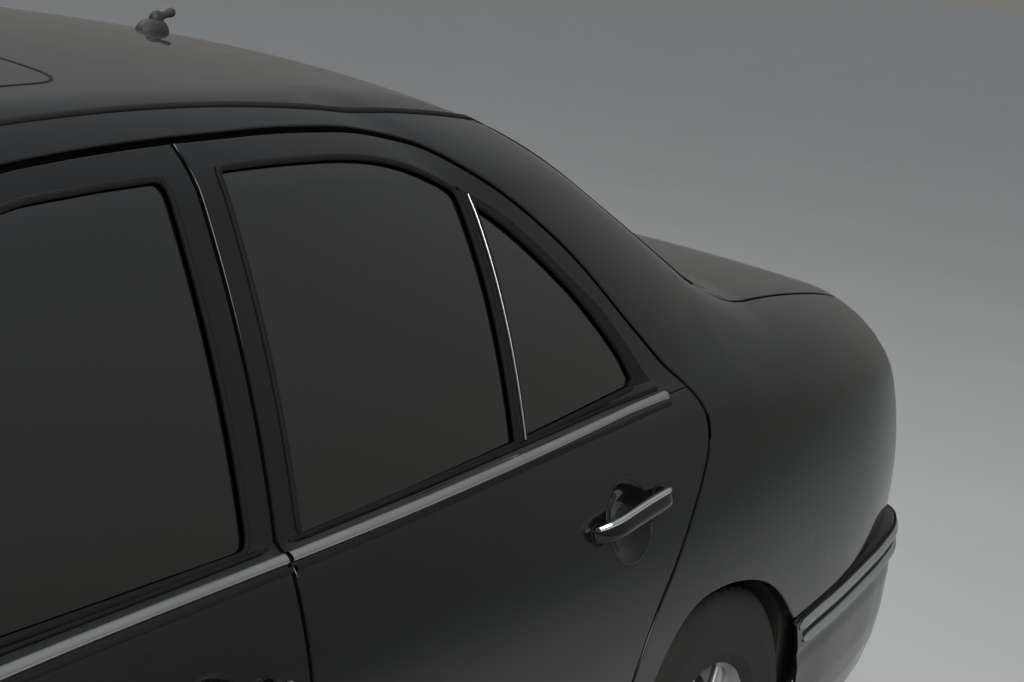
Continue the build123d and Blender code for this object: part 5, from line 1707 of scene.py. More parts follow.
@dataclass
class RoofDetails:
    """Ditch trims along the roof's seams, the sunroof's outline and the aerial."""

    sunroof: tuple[float, float, float] = (1180.0, 1605.0, 445.0)
    aerial: tuple[float, float] = (2300.0, 0.0)

    def ditch(self) -> Surface:
        """The black strip along the left seam."""
        s = np.linspace(1215, 2462, 150)
        return bead(settle(plan(*np.stack([s, roof_line(s) - 1.5], axis=1))), moulding(11.0, 2.6))

    def sunroof_ring(self) -> Surface:
        """The rubber in the gap round the sliding panel: a rounded rectangle in plan."""
        s0, s1, half = self.sunroof
        t = np.linspace(0, 2 * math.pi, 240, endpoint=False)
        c, s = np.cos(t), np.sin(t)
        size = (np.abs(c) ** 9 + np.abs(s) ** 9) ** (-1 / 9)
        flat = np.stack([(s0 + s1) / 2 + (s1 - s0) / 2 * c * size, half * s * size], axis=1)
        return bead(settle(plan(*eased_ring(flat, 240, 2))), moulding(5.0, 1.0, 0.8), ring=True)

    def aerial_shapes(self) -> tuple[Surface, Surface]:
        """The aerial's foot with its knuckle, and the socket that its rod screws into."""
        base = plan(self.aerial)[0]

        def foot(u: Array, v: Array) -> Array:
            """A drop-shaped foot: a sphere drawn out backwards, flat below."""
            a, b = 2 * math.pi * u, math.pi * v
            along = 33 * np.cos(a) * np.sin(b) ** 0.7 * (1 - 0.16 * np.cos(a))
            across = 21 * np.sin(a) * np.sin(b) ** 0.7
            return base + np.stack([along, across, -4 + 23 * np.maximum(np.cos(b), -0.2)], axis=-1)

        def knuckle(u: Array, v: Array) -> Array:
            """The round knuckle on the foot: a ball pressed in a little from the sides."""
            a, b = 2 * math.pi * u, math.pi * v
            ball = np.stack([14 * np.cos(a) * np.sin(b), 10 * np.sin(a) * np.sin(b), 14 * np.cos(b)], axis=-1)
            return base + np.array([4.0, 0.0, 18.0]) + ball

        t = np.array([0.0, 0.3, 0.72, 0.76, 0.96, 1.0, 1.0])[:, None]
        lean = np.array([36.0, 0.0, 9.0])
        path = base + np.array([6.0, 0.0, 21.0]) + t * lean
        upward = np.tile([0.0, 1.0, 0.0], (len(t), 1))
        across = np.tile(np.cross([0.0, 1.0, 0.0], lean / np.linalg.norm(lean)), (len(t), 1))
        radius = np.array([6.2, 6.2, 6.0, 7.2, 7.2, 6.2, 3.0])[:, None, None]
        feet = joined(inside_out_of(foot, 44, 24), inside_out_of(knuckle, 32, 20))
        return feet, tube(path, across, upward, rounded_loop(1, 1, 2, 24)[None] * radius)

    def build(self) -> None:
        """Makes the roof's details."""
        for side_name, hand in SIDES.items():
            put(f"roof_ditch_trim_{side_name}", handed(self.ditch(), hand), RUBBER)
        put("sunroof_seal", self.sunroof_ring(), RUBBER)
        foot, socket = self.aerial_shapes()
        put("aerial_foot", foot, PLASTIC, replaces=("roof_aerial",))
        put("aerial_socket", socket, PLASTIC)


@dataclass
class Bumper:
    """A moulded bumper: a section carried along its plan outline, with two real strips whose pale colour is a painted
    sky reflection, and a black groove between.
    """

    end: str
    outline: tuple[tuple[float, float], ...]
    middle: float
    bottom: float
    lead: tuple[tuple[float, float], ...]
    sign: int
    holes: tuple[tuple[float, tuple[float, float]], ...] = ()
    holes_level: float = 296.0

    def path(self) -> tuple[Array, Array, Array]:
        """The plan outline from the left end round to the right one, its outward directions and its run."""
        half = np.array(self.outline + ((self.middle, 0.0),), float)
        dense = smooth_line(np.concatenate([half, half[-2::-1] * np.array([1.0, -1.0])]), 900)
        ahead = np.gradient(dense, axis=0)
        ahead /= np.linalg.norm(ahead, axis=1, keepdims=True)
        out = np.stack([ahead[:, 1], -ahead[:, 0]], axis=1) * -self.sign
        run = np.concatenate([[0], np.cumsum(np.linalg.norm(np.diff(dense, axis=0), axis=1))])
        return dense, out, run

    def top(self, s: Array) -> Array:
        """Height of the upper edge."""
        return bumper_seam(s) - 2.5 if self.sign > 0 else np.full_like(s, 601.0)

    def at(self, u: Array, drop: Array, proud: Array) -> Array:
        """Points of the bumper: u along it in 0..1, drop below its upper edge, proud of its outline."""
        dense, out, run = self.path()
        lead_z = np.array([z for _, z in self.lead])
        lead_s = np.array([s for s, _ in self.lead])
        near = np.interp(self.lead[0][0] * self.sign, dense[:450, 0] * self.sign, run[:450])
        z = self.top(np.array([self.lead[0][0]]))[0] - drop
        start_s = np.interp(-z, -lead_z, lead_s)
        start = np.interp(start_s * self.sign, dense[:450, 0] * self.sign, run[:450], left=near)
        at = start + u * (run[-1] - 2 * start)
        s, y = (np.interp(at, run, dense[:, k]) for k in (0, 1))
        away = [np.interp(at, run, out[:, k]) for k in (0, 1)]
        height = self.top(s) - drop
        return np.stack([s + away[0] * proud, y + away[1] * proud, height], axis=-1)

    def skin(self) -> Surface:
        """The painted moulding: proud values by drop give its section, tucked in at its lower edge."""
        depth = self.top(np.array([self.middle]))[0] - self.bottom
        drop = np.concatenate([np.linspace(0, 8, 4), np.linspace(14, 92, 16), np.linspace(98, depth, 40)])
        u, v = np.meshgrid(np.linspace(0, 1, 300), drop, indexing="ij")
        sheet = free_sheet(self.at(u, v, self.section(v)),
                           self.at(u, v, self.section(v)) - np.array([1500.0, 0.0, 450.0]))
        for y, half in self.holes:
            for hand in (1, -1) if y else (1,):
                sheet = without(sheet, (1, 2), (hand * y, self.holes_level), half, 5.0, snap=False)
        return closed_shell(sheet, 5.0, 1.2)

    def section(self, drop: Array) -> Array:
        """How far the moulding stands out by the drop below its upper edge: a lip, a band, and a tuck under."""
        depth = self.top(np.array([self.middle]))[0] - self.bottom
        at = (0, 3, 8, 12, 66, 72, 100, 180, depth - 110, depth - 50, depth)
        return np.interp(drop, at, (-4, -1, 0, 2, 2, 0, 2, -1, -7, -22, -62))

    def shelf(self) -> Surface:
        """The moulding's upper flange, which reaches in under the body."""
        u, v = np.meshgrid(np.linspace(0.012, 0.988, 150), np.linspace(0, 1, 4), indexing="ij")
        grid = self.at(u, 3.0 + 5.0 * v, -4.5 - 46.0 * v)
        return closed_shell(free_sheet(grid, np.broadcast_to([0.0, 0.0, 1.0], grid.shape)), 3.0, 1.0)

    def behind_holes(self) -> list[tuple[str, Surface, Finish]]:
        """What shows through the holes: a slatted mesh in the middle, and a lamp's bowl and lens at each side."""
        level = self.top(np.array([self.middle]))[0] - self.holes_level
        made = []
        for y, (half_w, half_h) in self.holes:
            for hand in (1, -1) if y else (1,):
                # the station along the moulding whose y is the hole's
                u = np.linspace(0, 1, 900)
                place = self.at(u, np.full(900, level), self.section(np.full(900, level)))[:, 1]
                front_part = np.abs(u - 0.5) < 0.32
                low, high = (np.interp(-(hand * y + d), -place[front_part], u[front_part]) for d in (half_w + 9, -half_w - 9))
                if not y:
                    a, b = np.meshgrid(np.linspace(0, 1, 110), np.linspace(-1.15, 1.15, 46), indexing="ij")
                    away = -34.0 + 5.0 * np.sin(b * 3.5 * math.pi) + 1.2 * np.sin(a * 60 * math.pi)
                    grid = self.at(low + (high - low) * a, level + b * half_h, away)
                    sheet = free_sheet(grid, np.broadcast_to([-1.0, 0.0, 0.0], grid.shape))
                    made.append(("intake_mesh", closed_shell(sheet, 2.0, 0.6), DARK_MESH))
                    continue
                a, b = disc(31)
                flat = np.maximum(1 - a * a - b * b, 0.0)
                side_name = "left" if hand > 0 else "right"
                for part, away, scale, finish in (
                    ("lens", -10.0 + 5.0 * flat, 0.985, CLEAR),
                    ("bowl", -16.0 - 34.0 * np.sqrt(flat), 1.02, CHROME),
                ):
                    size = (np.abs(a) ** 5 + np.abs(b) ** 5) ** -0.2 * np.hypot(a, b)
                    size = np.where(np.hypot(a, b) > 1e-6, size, 1.0) * scale
                    across = (low + high) / 2 + a * size * (high - low) / 2 * half_w / (half_w + 9)
                    base = self.section(level + b * size * half_h)
                    grid = self.at(across, level + b * size * half_h, base + away)
                    sheet = free_sheet(grid, np.broadcast_to([-1.0, 0.0, 0.0], grid.shape))
                    made.append((f"fog_lamp_{part}_{side_name}", closed_shell(sheet, 2.2, 0.6), finish))
        return made

    def bar(self, drop: float, half: float, thick: float, start: float) -> Surface:
        """A bar along the bumper: its section stands on the moulding, and tapers to its ends."""
        u = np.linspace(start, 1 - start, 260)
        path = self.at(u, np.full(260, drop), np.full(260, 1.0))
        ahead = np.gradient(path, axis=0)
        ahead /= np.linalg.norm(ahead, axis=1, keepdims=True)
        up = np.cross(ahead, [0.0, 0.0, 1.0])
        up /= np.linalg.norm(up, axis=1, keepdims=True)
        up *= np.sign(np.sum(up * (path - np.array([1500.0, 0.0, 450.0])), axis=1, keepdims=True))
        across = np.cross(up, ahead)
        ease = np.clip(np.minimum(u - start, 1 - start - u) / 0.006, 0.35, 1)[:, None, None]
        return tube(path, across, up, moulding(2 * half, thick, 3.0, 14)[None] * ease)

    def build(self) -> None:
        """Makes the bumper and what is on it."""
        name = f"{self.end}_bumper"
        put(f"{name}_skin", self.skin(), PAINT, replaces=(name,))
        put(f"{name}_shelf", self.shelf(), PLASTIC)
        # the insert and the lower bar are real trim, coloured pale with a painted sky reflection
        put(f"{name}_insert", self.bar(19.0, 10.6, 6.5, 0.004), STRIP_PAINTED_REFLECTION)
        put(f"{name}_lower_bar", self.bar(52.5, 9.0, 8.5, 0.009), STRIP_PAINTED_REFLECTION)
        put(f"{name}_groove_upper", self.bar(4.5, 4.0, 1.2, 0.002), RUBBER)
        put(f"{name}_groove_middle", self.bar(36.5, 8.0, 1.6, 0.004), RUBBER)
        for part, surface, finish in self.behind_holes():
            put(f"{name}_{part}", surface, finish)


def bumpers() -> tuple[Bumper, Bumper]:
    """The front and the rear bumper."""
    rear_end = Bumper(
        "rear", ((3100, 880), (3190, 873), (3350, 864), (3500, 851), (3650, 834), (3760, 812), (3832, 776),
                 (3880, 724),
                 (3908, 655), (3924, 560), (3936, 430), (3944, 300), (3948.5, 200), (3951, 100)),
        3952.0, 255.0, ((3121, 535), (3146, 490), (3171, 430), (3184, 374), (3190, 300), (3186, 250)), 1)
    front_end = Bumper(
        "front", ((-300, 888), (-372, 884), (-470, 874), (-560, 857), (-640, 826), (-700, 786), (-742, 735),
                  (-775, 660),
                  (-796, 560), (-812, 430), (-825, 300), (-832, 200), (-836.5, 100)),
        -838.0, 220.0, ((-306, 604), (-330, 500), (-358, 400), (-366, 324), (-350, 215)), -1,
        ((0.0, (300.0, 34.0)), (478.0, (66.0, 30.0))))
    return front_end, rear_end


def extra_build() -> None:
    """Makes the trim of the body and the doors."""
    for place in ("front", "rear"):
        WindowTrim(place).build()
        Handle(place).build()
    Screen("windscreen", "windscreen", front, (722, 990), (560, 1362)).build()
    Screen("rear_window", "rear_window", rear, (628, 1092), (500, 1352), REAR_WINDOW_BOW).build()
    RoofDetails().build()
    for bumper in bumpers():
        bumper.build()


MIRROR_GLASS = Finish("mirror_glass", "bright_trim", (0.75, 0.77, 0.78), (0.72, 0.74, 0.75), rough=0.03,
                      rough_spread=0.01, metallic=1.0, relief=0.0, dust=0.02)
DARK_MESH = Finish("grille_backing", "black_trim", (0.006, 0.006, 0.006), rough=0.8, grain=260.0, relief=0.8,
                   dust=0.1)


def disc(count: int = 25) -> tuple[Array, Array]:
    """A square grid drawn onto the unit disc: x = a sqrt(1 - b^2 / 2), y = b sqrt(1 - a^2 / 2)."""
    a, b = np.meshgrid(np.linspace(-1, 1, count), np.linspace(-1, 1, count), indexing="ij")
    return a * np.sqrt(1 - b * b / 2), b * np.sqrt(1 - a * a / 2)


def repeated(surface: Surface, centre: Sequence[float], times: int, start: float = 0.0) -> Surface:
    """Copies of a surface spaced evenly round a wheel's axis."""
    copies = []
    middle = np.array(centre, float)
    for i in range(times):
        a = start + 2 * math.pi * i / times
        c, s = math.cos(a), math.sin(a)
        turn = np.array([[c, 0, -s], [0, 1, 0], [s, 0, c]])
        copies.append(Surface((surface.points - middle) @ turn.T + middle, surface.faces))
    return joined(*copies)


@dataclass
class Headlamp:
    """One oval headlamp: clear lens, gasket, ribbed reflector and bulb."""

    name: str
    y: float
    z: float
    half_width: float
    half_height: float

    def face(self, size: float, count: int) -> tuple[Array, Array]:
        """Places on the skin over the lamp's oval, and their distance from its middle."""
        x, y = disc(count)
        flat = np.stack([self.y + self.half_width * size * x, self.z + self.half_height * size * y], axis=-1)
        return front(*flat.reshape(-1, 2)).reshape(count, count, 3), np.hypot(x, y)

    def build(self, replaces: Sequence[str] = ()) -> None:
        """Makes the lamp."""
        place, away = self.face(0.985, 29)
        normal = SKIN.normal(place)
        lens = free_sheet(place + normal * (1.0 + 4.0 * (1 - away**2))[..., None], normal)
        put(f"{self.name}_lens", closed_shell(lens, 3.0, 0.8), CLEAR, replaces=replaces)
        place, away = self.face(0.965, 41)
        ribs = 0.6 * np.cos(12 * math.pi * away)
        deep = 7.0 + 44.0 * (1 - np.clip(away, 0, 1) ** 2) + ribs
        bowl = free_sheet(place + np.stack([deep, 0 * deep, 0 * deep], axis=-1), np.array([-1.0, 0, 0]))
        put(f"{self.name}_reflector", closed_shell(bowl, 2.0, 0.5), CHROME)
        t = np.linspace(0, 2 * math.pi, 90, endpoint=False)
        rim = front(*np.stack([self.y + self.half_width * np.cos(t), self.z + self.half_height * np.sin(t)],
                              axis=1))
        put(f"{self.name}_gasket", bead(rim, moulding(6.0, 2.4), ring=True), RUBBER)
        middle = front((self.y, self.z))[0]
        t = np.linspace(0, 1, 14)
        radius = np.concatenate([[0.01], np.full(5, 11.0), 11.0 * np.sqrt(1 - np.linspace(0, 0.99, 8) ** 2)])
        along = np.concatenate([[48.0], np.linspace(48, 30, 5), 30 - 12 * np.linspace(0, 0.99, 8)])
        path = middle + np.stack([along, 0 * t, 0 * t], axis=1)
        loop = rounded_loop(1.0, 1.0, 2.0, 20)
        across, upward = np.tile([0.0, 1.0, 0.0], (14, 1)), np.tile([0.0, 0.0, 1.0], (14, 1))
        put(f"{self.name}_bulb", tube(path, across, upward, loop[None] * radius[:, None, None]), SATIN)


@dataclass
class Grille:
    """The grille: bright frame, level bars, a centre upright and a dark mesh behind."""

    middle: float = 672.0
    half_width: float = 270.0
    half_height: float = 50.0
    bars: int = 4

    def outline(self, size: float, count: int) -> Array:
        """The opening's outline from the front, |y|^6 + |z|^6 = 1."""
        return (
            rounded_loop(self.half_width * size, self.half_height * size, 6.0, count)
            + np.array([0.0, self.middle])
        )

    def build(self) -> None:
        """Makes the grille."""
        ring = front(*eased_ring(self.outline(1.0, 300), 240, 1))
        put("grille_frame", bead(ring, moulding(15.0, 6.0, 3.0), ring=True), CHROME, replaces=("grille",))
        bars = []
        for k in range(self.bars):
            z = self.middle + self.half_height * (2 * (k + 1) / (self.bars + 1) - 1)
            y = np.linspace(-self.half_width + 4, self.half_width - 4, 70)
            path = front(*np.stack([y, np.full(70, z)], axis=1)) + np.array([11.0, 0, 0])
            n = len(path)
            across, upward = np.tile([0.0, 0.0, 1.0], (n, 1)), np.tile([-1.0, 0.0, 0.0], (n, 1))
            bars.append(tube(path, across, upward, rounded_loop(3.2, 9.0, 2.4, 16)))
        put("grille_bars", joined(*bars), SATIN)
        z = np.linspace(self.middle - self.half_height + 2, self.middle + self.half_height - 2, 20)
        path = front(*np.stack([np.zeros(20), z], axis=1)) + np.array([7.0, 0, 0])
        across, upward = np.tile([0.0, 1.0, 0.0], (20, 1)), np.tile([-1.0, 0.0, 0.0], (20, 1))
        put("grille_upright", tube(path, across, upward, rounded_loop(7.0, 10.0, 3.0, 18)), CHROME)
        y, z = np.meshgrid(np.linspace(-274, 274, 90), np.linspace(620, 724, 40), indexing="ij")
        back = front(*np.stack([y, z], axis=-1).reshape(-1, 2)).reshape(90, 40, 3)
        cells = 3.0 * np.sin(y * math.pi / 12) * np.sin(z * math.pi / 12)
        back = back + np.stack([36 + cells, 0 * y, 0 * y], axis=-1)
        put("grille_mesh", closed_shell(free_sheet(back, np.array([-1.0, 0, 0])), 2.0, 0.5), DARK_MESH)


@dataclass
class TailLamp:
    """A tail lamp in two parts, on the wing and on the lid: fluted bands in a black gasket."""

    part: str
    inner: float
    outer: float
    bottom: float = 700.0
    top: float = 850.0

    def band(self, low: float, high: float) -> Surface:
        """One fluted lens band standing a little proud of the skin."""
        y, z = np.meshgrid(np.linspace(self.inner, self.outer, 40), np.linspace(low, high, 34), indexing="ij")
        place = rear(*np.stack([y, z], axis=-1).reshape(-1, 2)).reshape(40, 34, 3)
        normal = SKIN.normal(place)
        lift = 3.2 + 0.7 * np.abs(np.sin((z - low) * math.pi / 9.0))
        return closed_shell(free_sheet(place + normal * lift[..., None], normal), 4.0, 1.2)

    def build(self, hand: int, side_name: str, body: str, replaces: Sequence[str]) -> None:
        """Makes the lamp on one side."""
        name = f"tail_lamp_{self.part}_{side_name}"
        third = (self.top - self.bottom) / 3
        put(f"{name}_lower", handed(self.band(self.bottom, self.bottom + third - 1), hand), RED, body,
            replaces)
        middle = AMBER if self.part == "wing" else RED
        put(f"{name}_middle", handed(self.band(self.bottom + third + 1, self.top - third - 1), hand), middle,
            body)
        put(f"{name}_upper", handed(self.band(self.top - third + 1, self.top), hand), RED, body)
        corners = [(self.inner, self.bottom), (self.outer, self.bottom), (self.outer, self.top),
                   (self.inner, self.top)]
        ring = rear(*eased_ring(np.array(corners, float), 160, 2))
        put(f"{name}_gasket", handed(bead(ring, moulding(6.0, 4.0), ring=True), hand), RUBBER, body)


def boot_pull_bar() -> Surface:
    """The bright bar that the boot lid is pulled up by, eased to its ends."""
    y = np.linspace(-290, 290, 120)
    path = rear(*np.stack([y, np.full(120, 826.0)], axis=1)) + np.array([3.0, 0, 0])
    across, upward = np.tile([0.0, 0.0, 1.0], (120, 1)), np.tile([1.0, 0.0, 0.0], (120, 1))
    ease = np.sqrt(np.clip(1 - (np.abs(y) / 291.0) ** 24, 0.05, 1))[:, None, None]
    return tube(path, across, upward, rounded_loop(9.0, 11.0, 3.0, 20)[None] * ease)


@dataclass
class DoorMirror:
    """A door mirror: a rounded housing on a foot, with its glass set in a black rim."""

    middle: tuple[float, float, float] = (640.0, 960.0, 985.0)
    half: tuple[float, float, float] = (58.0, 106.0, 70.0)

    def housing(self, u: Array, v: Array) -> Array:
        """A superellipsoid with its pole ahead, cut flatter behind: radius sin(b)^0.55, drawn to a rounded oval."""
        a, b = 2 * math.pi * u, math.pi * v
        c, s = np.cos(a), np.sin(a)
        size = (np.abs(c) ** 2.8 + np.abs(s) ** 2.8) ** (-1 / 2.8)
        spread_out = np.maximum(np.sin(b), 0) ** 0.62
        along = np.where(np.cos(b) > 0, -self.half[0] * np.cos(b) ** 0.9, 34.0 * np.abs(np.cos(b)) ** 0.5)
        taper = 1 - 0.10 * c * (np.cos(b) > 0)
        return np.stack([self.middle[0] + along + 10 * c * spread_out,
                         self.middle[1] + self.half[1] * c * size * spread_out,
                         self.middle[2] + self.half[2] * s * size * spread_out * taper], axis=-1)

    def foot(self) -> Surface:
        """The foot from the corner of the window down to the door, swept and waisted."""
        t = np.linspace(0, 1, 30)
        path = np.stack([612 + 20 * t, 770 + 130 * t, 936 + 22 * t + 6 * np.sin(math.pi * t)], axis=1)
        across = np.tile([1.0, 0.0, 0.0], (30, 1))
        upward = np.tile([0.0, -0.2, 0.98], (30, 1))
        width = (1.25 - 0.5 * np.sin(math.pi * t * 0.8))[:, None, None]
        return tube(path, across, upward, rounded_loop(36.0, 15.0, 2.6, 28)[None] * width)

    def build(self) -> None:
        """Makes the mirror on both doors."""
        shape = inside_out_of(self.housing, 64, 44)
        x, y = disc(25)
        away = np.hypot(x, y)
        place = np.stack([self.middle[0] + 35.5 + 1.5 * (1 - away**2), self.middle[1] + 92 * x,
                          self.middle[2] + 56 * y], axis=-1)
        glass = closed_shell(free_sheet(place, np.array([1.0, 0, 0])), 2.5, 0.5)
        t = np.linspace(0, 2 * math.pi, 80, endpoint=False)
        rim_path = np.stack([np.full(80, self.middle[0] + 34.0), self.middle[1] + 94 * np.cos(t),
                             self.middle[2] + 58 * np.sin(t)], axis=1)
        up = np.tile([1.0, 0.0, 0.0], (80, 1))
        across = np.cross(up, np.roll(rim_path, -1, axis=0) - np.roll(rim_path, 1, axis=0))
        across /= np.linalg.norm(across, axis=1, keepdims=True)
        rim = tube(rim_path, across, up, moulding(6.0, 4.0, 2.0), ring=True)
        for side_name, hand in SIDES.items():
            body = f"door_front_{side_name}"
            put(f"mirror_housing_{side_name}", handed(shape, hand), PAINT, body, (f"mirror_{side_name}",))
            put(f"mirror_foot_{side_name}", handed(self.foot(), hand), PLASTIC, body)
            put(f"mirror_glass_{side_name}", handed(glass, hand), MIRROR_GLASS, body)
            put(f"mirror_rim_{side_name}", handed(rim, hand), RUBBER, body)


@dataclass
class Wheel:
    """An alloy wheel with its bolts and cap, brake disc and treaded tyre."""

    place: str
    spokes: int = 8
    bolts: int = 5

    @property
    def centre(self) -> tuple[float, float, float]:
        """The middle of the left wheel."""
        return (0.0 if self.place == "front" else CAR.wheelbase, CAR.track / 2, CAR.tyre_radius)

    def barrel(self) -> Surface:
        """The rim: lips, bead seats and well, turned."""
        outside = [(206, -88.5), (207.5, -86), (206, -80), (193, -77), (190, -60), (176, -40), (174, 20),
                   (184, 44), (190, 56),
                   (192, 77), (204, 80), (207.5, 84), (207, 88), (203.5, 90.3), (200, 89)]
        inside = [(196, 83), (190, 74), (184.5, 62), (181, 50), (168, 30), (167, -34), (182, -62), (186, -82),
                  (196, -88.5)]
        return turned(np.array(outside + inside, float), self.centre, 144)

    def spoke(self) -> Surface:
        """One spoke: a rounded bar, waisted along its length and dished to the hub."""
        t = np.linspace(0, 1, 26)
        reach = 50 + 140 * t
        face = 56 + 15 * t + 7 * np.sin(math.pi * t)
        width = 25 - 9 * np.sin(math.pi * t * 0.9) + 5 * t * t
        thick = 9.5 - 1.5 * t
        path = np.array(self.centre) + np.stack([reach, face - 9, 0 * t], axis=1)
        loop = rounded_loop(1.0, 1.0, 3.0, 24)
        profile = loop[None] * np.stack([width, thick], axis=-1)[:, None]
        across, upward = np.tile([0.0, 0.0, 1.0], (26, 1)), np.tile([0.0, 1.0, 0.0], (26, 1))
        return tube(path, across, upward, profile)

    def hub(self) -> Surface:
        """The hub's face with its shallow dish, turned."""
        return turned(np.array([(0.01, 40), (66, 38), (71, 44), (70, 57), (64, 61), (50, 59), (36, 58),
                                (33, 60), (0.01, 60)], float),
                      self.centre, 96)

    def cap(self) -> Surface:
        """The plain centre cap, domed."""
        t = np.linspace(0, 1, 9)
        dome = np.stack([np.maximum(31 * np.cos(t * math.pi / 2), 0.01), 63 + 5 * np.sin(t * math.pi / 2)],
                        axis=1)
        return turned(np.concatenate([[(0.01, 58.0), (32, 58), (32, 62)], dome]), self.centre, 72)

    def bolt(self) -> Surface:
        """One wheel bolt: a six-sided head on a round seat."""
        t = np.linspace(0, 2 * math.pi, 6, endpoint=False)
        head = np.stack([8.6 * np.cos(t), 8.6 * np.sin(t)], axis=1)
        path = np.array(self.centre) + np.array([56.0, 0, 0]) + np.stack([np.zeros(4), [56, 62.5, 63.5, 64.5],
                                                                          np.zeros(4)], axis=1)
        size = np.array([1.0, 1.0, 0.92, 0.7])[:, None, None]
        across, upward = np.tile([1.0, 0.0, 0.0], (4, 1)), np.tile([0.0, 0.0, 1.0], (4, 1))
        return tube(path, across, upward, head[None] * size)

    def brake_disc(self) -> Surface:
        """The ventilated brake disc and its bell, turned."""
        return turned(np.array([(48, -56), (70, -56), (72, -50), (143, -50), (143, -42), (120, -41),
                                (120, -37), (143, -36),
                                (143, -28), (74, -28), (72, 36), (48, 36)], float), self.centre, 120)

    def tyre(self) -> Surface:
        """The tyre: a closed section turned round, with four grooves and blocks cut by cross slots.

        The tread's radius is 324 - 4 (y / 84)^2 mm. Slots lower it by 5 mm in each of 64 places round, shifted
        by half a place between the ribs.
        """
        side_wall = [(193, 88), (204, 93), (212, 98.5), (216, 98), (240, 101.5), (262, 102.4), (266, 103.4),
                     (270, 102.6),
                     (290, 100), (303, 95.5), (311, 90.5), (316, 86)]
        tread_y, tread_r = [82.0, 72.0], [0.0, 0.0]
        for middle in (56.0, 19.0, -19.0, -56.0):
            tread_y += [middle + 4.6, middle + 3.4, middle - 3.4, middle - 4.6]
            tread_r += [0.0, 7.0, 7.0, 0.0]
            if middle > -50:
                tread_y.append(middle - 18.5)
                tread_r.append(0.0)
        tread_y += [-72.0, -82.0]
        tread_r += [0.0, 0.0]
        y, lowered = np.array(tread_y), np.array(tread_r)
        radius = CAR.tyre_radius - 4 * (y / 84) ** 2 - lowered
        inner = [(196, -84), (236, -93), (280, -92), (300, -80), (308, 0), (300, 80), (280, 92), (236, 93),
                 (196, 84)]
        right_wall = [(r, -w) for r, w in side_wall[::-1]]
        profile = np.array(side_wall + list(zip(radius, y)) + right_wall + inner, float)
        blocks, steps = 64, 5
        count = blocks * steps
        loops = np.repeat(profile[None], count, axis=0)
        first = len(side_wall)
        rib = np.round((y + 75) / 37.5).astype(int)
        phase = (np.arange(count)[:, None] + np.where(rib % 2 == 0, 0, steps // 2)[None]) % steps
        slot = (phase == 0) & (lowered < 1)[None] & (np.abs(y)[None] > 2)
        loops[:, first : first + len(y), 0] -= 4.5 * slot
        t = np.linspace(0, 2 * math.pi, count, endpoint=False)
        radial = np.stack([np.cos(t), np.zeros(count), np.sin(t)], axis=1)
        return tube(np.tile(np.array(self.centre), (count, 1)), radial, np.tile([0.0, 1.0, 0.0], (count, 1)),
                    loops, ring=True)

    def build(self) -> None:
        """Makes both wheels of the axle."""
        shapes = [
            ("rim", self.barrel(), ALLOY),
            ("spokes", repeated(self.spoke(), self.centre, self.spokes, 0.2), ALLOY),
            ("hub", self.hub(), ALLOY), ("cap", self.cap(), SATIN),
            ("bolts", repeated(self.bolt(), self.centre, self.bolts), STEEL),
            ("disc", self.brake_disc(), STEEL),
            ("tread_and_walls", self.tyre(), TYRE),
        ]
        for side_name, hand in SIDES.items():
            body = f"wheel_{self.place}_{side_name}"
            for name, shape, finish in shapes:
                replaces = {"rim": (body,), "tread_and_walls": (f"tyre_{self.place}_{side_name}",)}.get(name,
                                                                                                        ())
                put(f"{body}_{name}", handed(shape, hand), finish, body, replaces, 30.0)


@dataclass
class Wipers:
    """Two wipers: pivots on the scuttle, arms and blades on the glass."""

    sweeps: tuple = (((-70.0, 1000.0), (-600.0, 1032.0)), ((560.0, 1000.0), (20.0, 1032.0)))

    def build(self) -> None:
        """Makes both wipers."""
        blades, arms = [], []
        for (y0, z0), (y1, z1) in self.sweeps:
            t = np.linspace(0, 1, 60)
            flat = np.stack([y0 + (y1 - y0) * t, z0 + (z1 - z0) * t + 6 * np.sin(math.pi * t)], axis=1)
            path = front(*flat)
            across, up = frame_along(path)
            blades.append(tube(path + up * 5.0, across, up, rounded_loop(2.2, 6.5, 2.2, 12)))
            reach = t < 0.62
            lift = 13.0 + 7.0 * np.sin(math.pi * t[reach] / 0.62)
            width = np.interp(t[reach], (0, 0.15, 0.62), (11.0, 8.0, 4.5))
            profile = rounded_loop(1.0, 1.0, 3.0, 14)[None] * np.stack([width, width * 0.45], axis=-1)[:,
                                                                                                       None]
            arms.append(tube(path[reach] + up[reach] * lift[:, None], across[reach], up[reach], profile))
        put("wiper_blades", joined(*blades), RUBBER, replaces=("wipers",))
        put("wiper_arms", joined(*arms), PLASTIC)


def detail_build() -> None:
    """Makes lamps, grille, mirrors, wheels and wipers."""
    for k, (y, z, half_w, half_h) in enumerate(HEADLAMPS):
        for side_name, hand in SIDES.items():
            lamp = Headlamp(f"headlamp_{('outer', 'inner')[k]}_{side_name}", hand * y, z, half_w - 1.0,
                            half_h - 1.0)
            lamp.build(("headlamps",) if k == 0 and hand > 0 else ())
    Grille().build()
    for side_name, hand in SIDES.items():
        TailLamp("wing", 604.0, 706.0).build(hand, side_name, "root", ("tail_lamps",) if hand > 0 else ())
        TailLamp("lid", 470.0, 578.0).build(hand, side_name, "boot_lid", ())
    put("boot_pull_bar", boot_pull_bar(), CHROME, "boot_lid")
    DoorMirror().build()
    for place in ("front", "rear"):
        Wheel(place).build()
    Wipers().build()


HEADLINER = Finish("headliner_cloth", "upholstery", (0.22, 0.22, 0.21), (0.19, 0.19, 0.18), rough=0.9,
                   grain=1800.0,
                   relief=0.35, dust=0.0, sheen=0.3, specular=0.2)
CARPET = Finish("cut_carpet", "cabin_trim", (0.025, 0.025, 0.026), (0.035, 0.034, 0.034), rough=0.95,
                grain=700.0,
                relief=0.9, dust=0.15, sheen=0.2, specular=0.1)


@dataclass(frozen=True)
class Channel:
    """A sewn line on a pad: where it lies on one local axis, and how deep and wide it pulls in, in millimetres."""

    axis: int
    at: float
    depth: float = 7.0
    width: float = 7.0
    span: float = 0.86


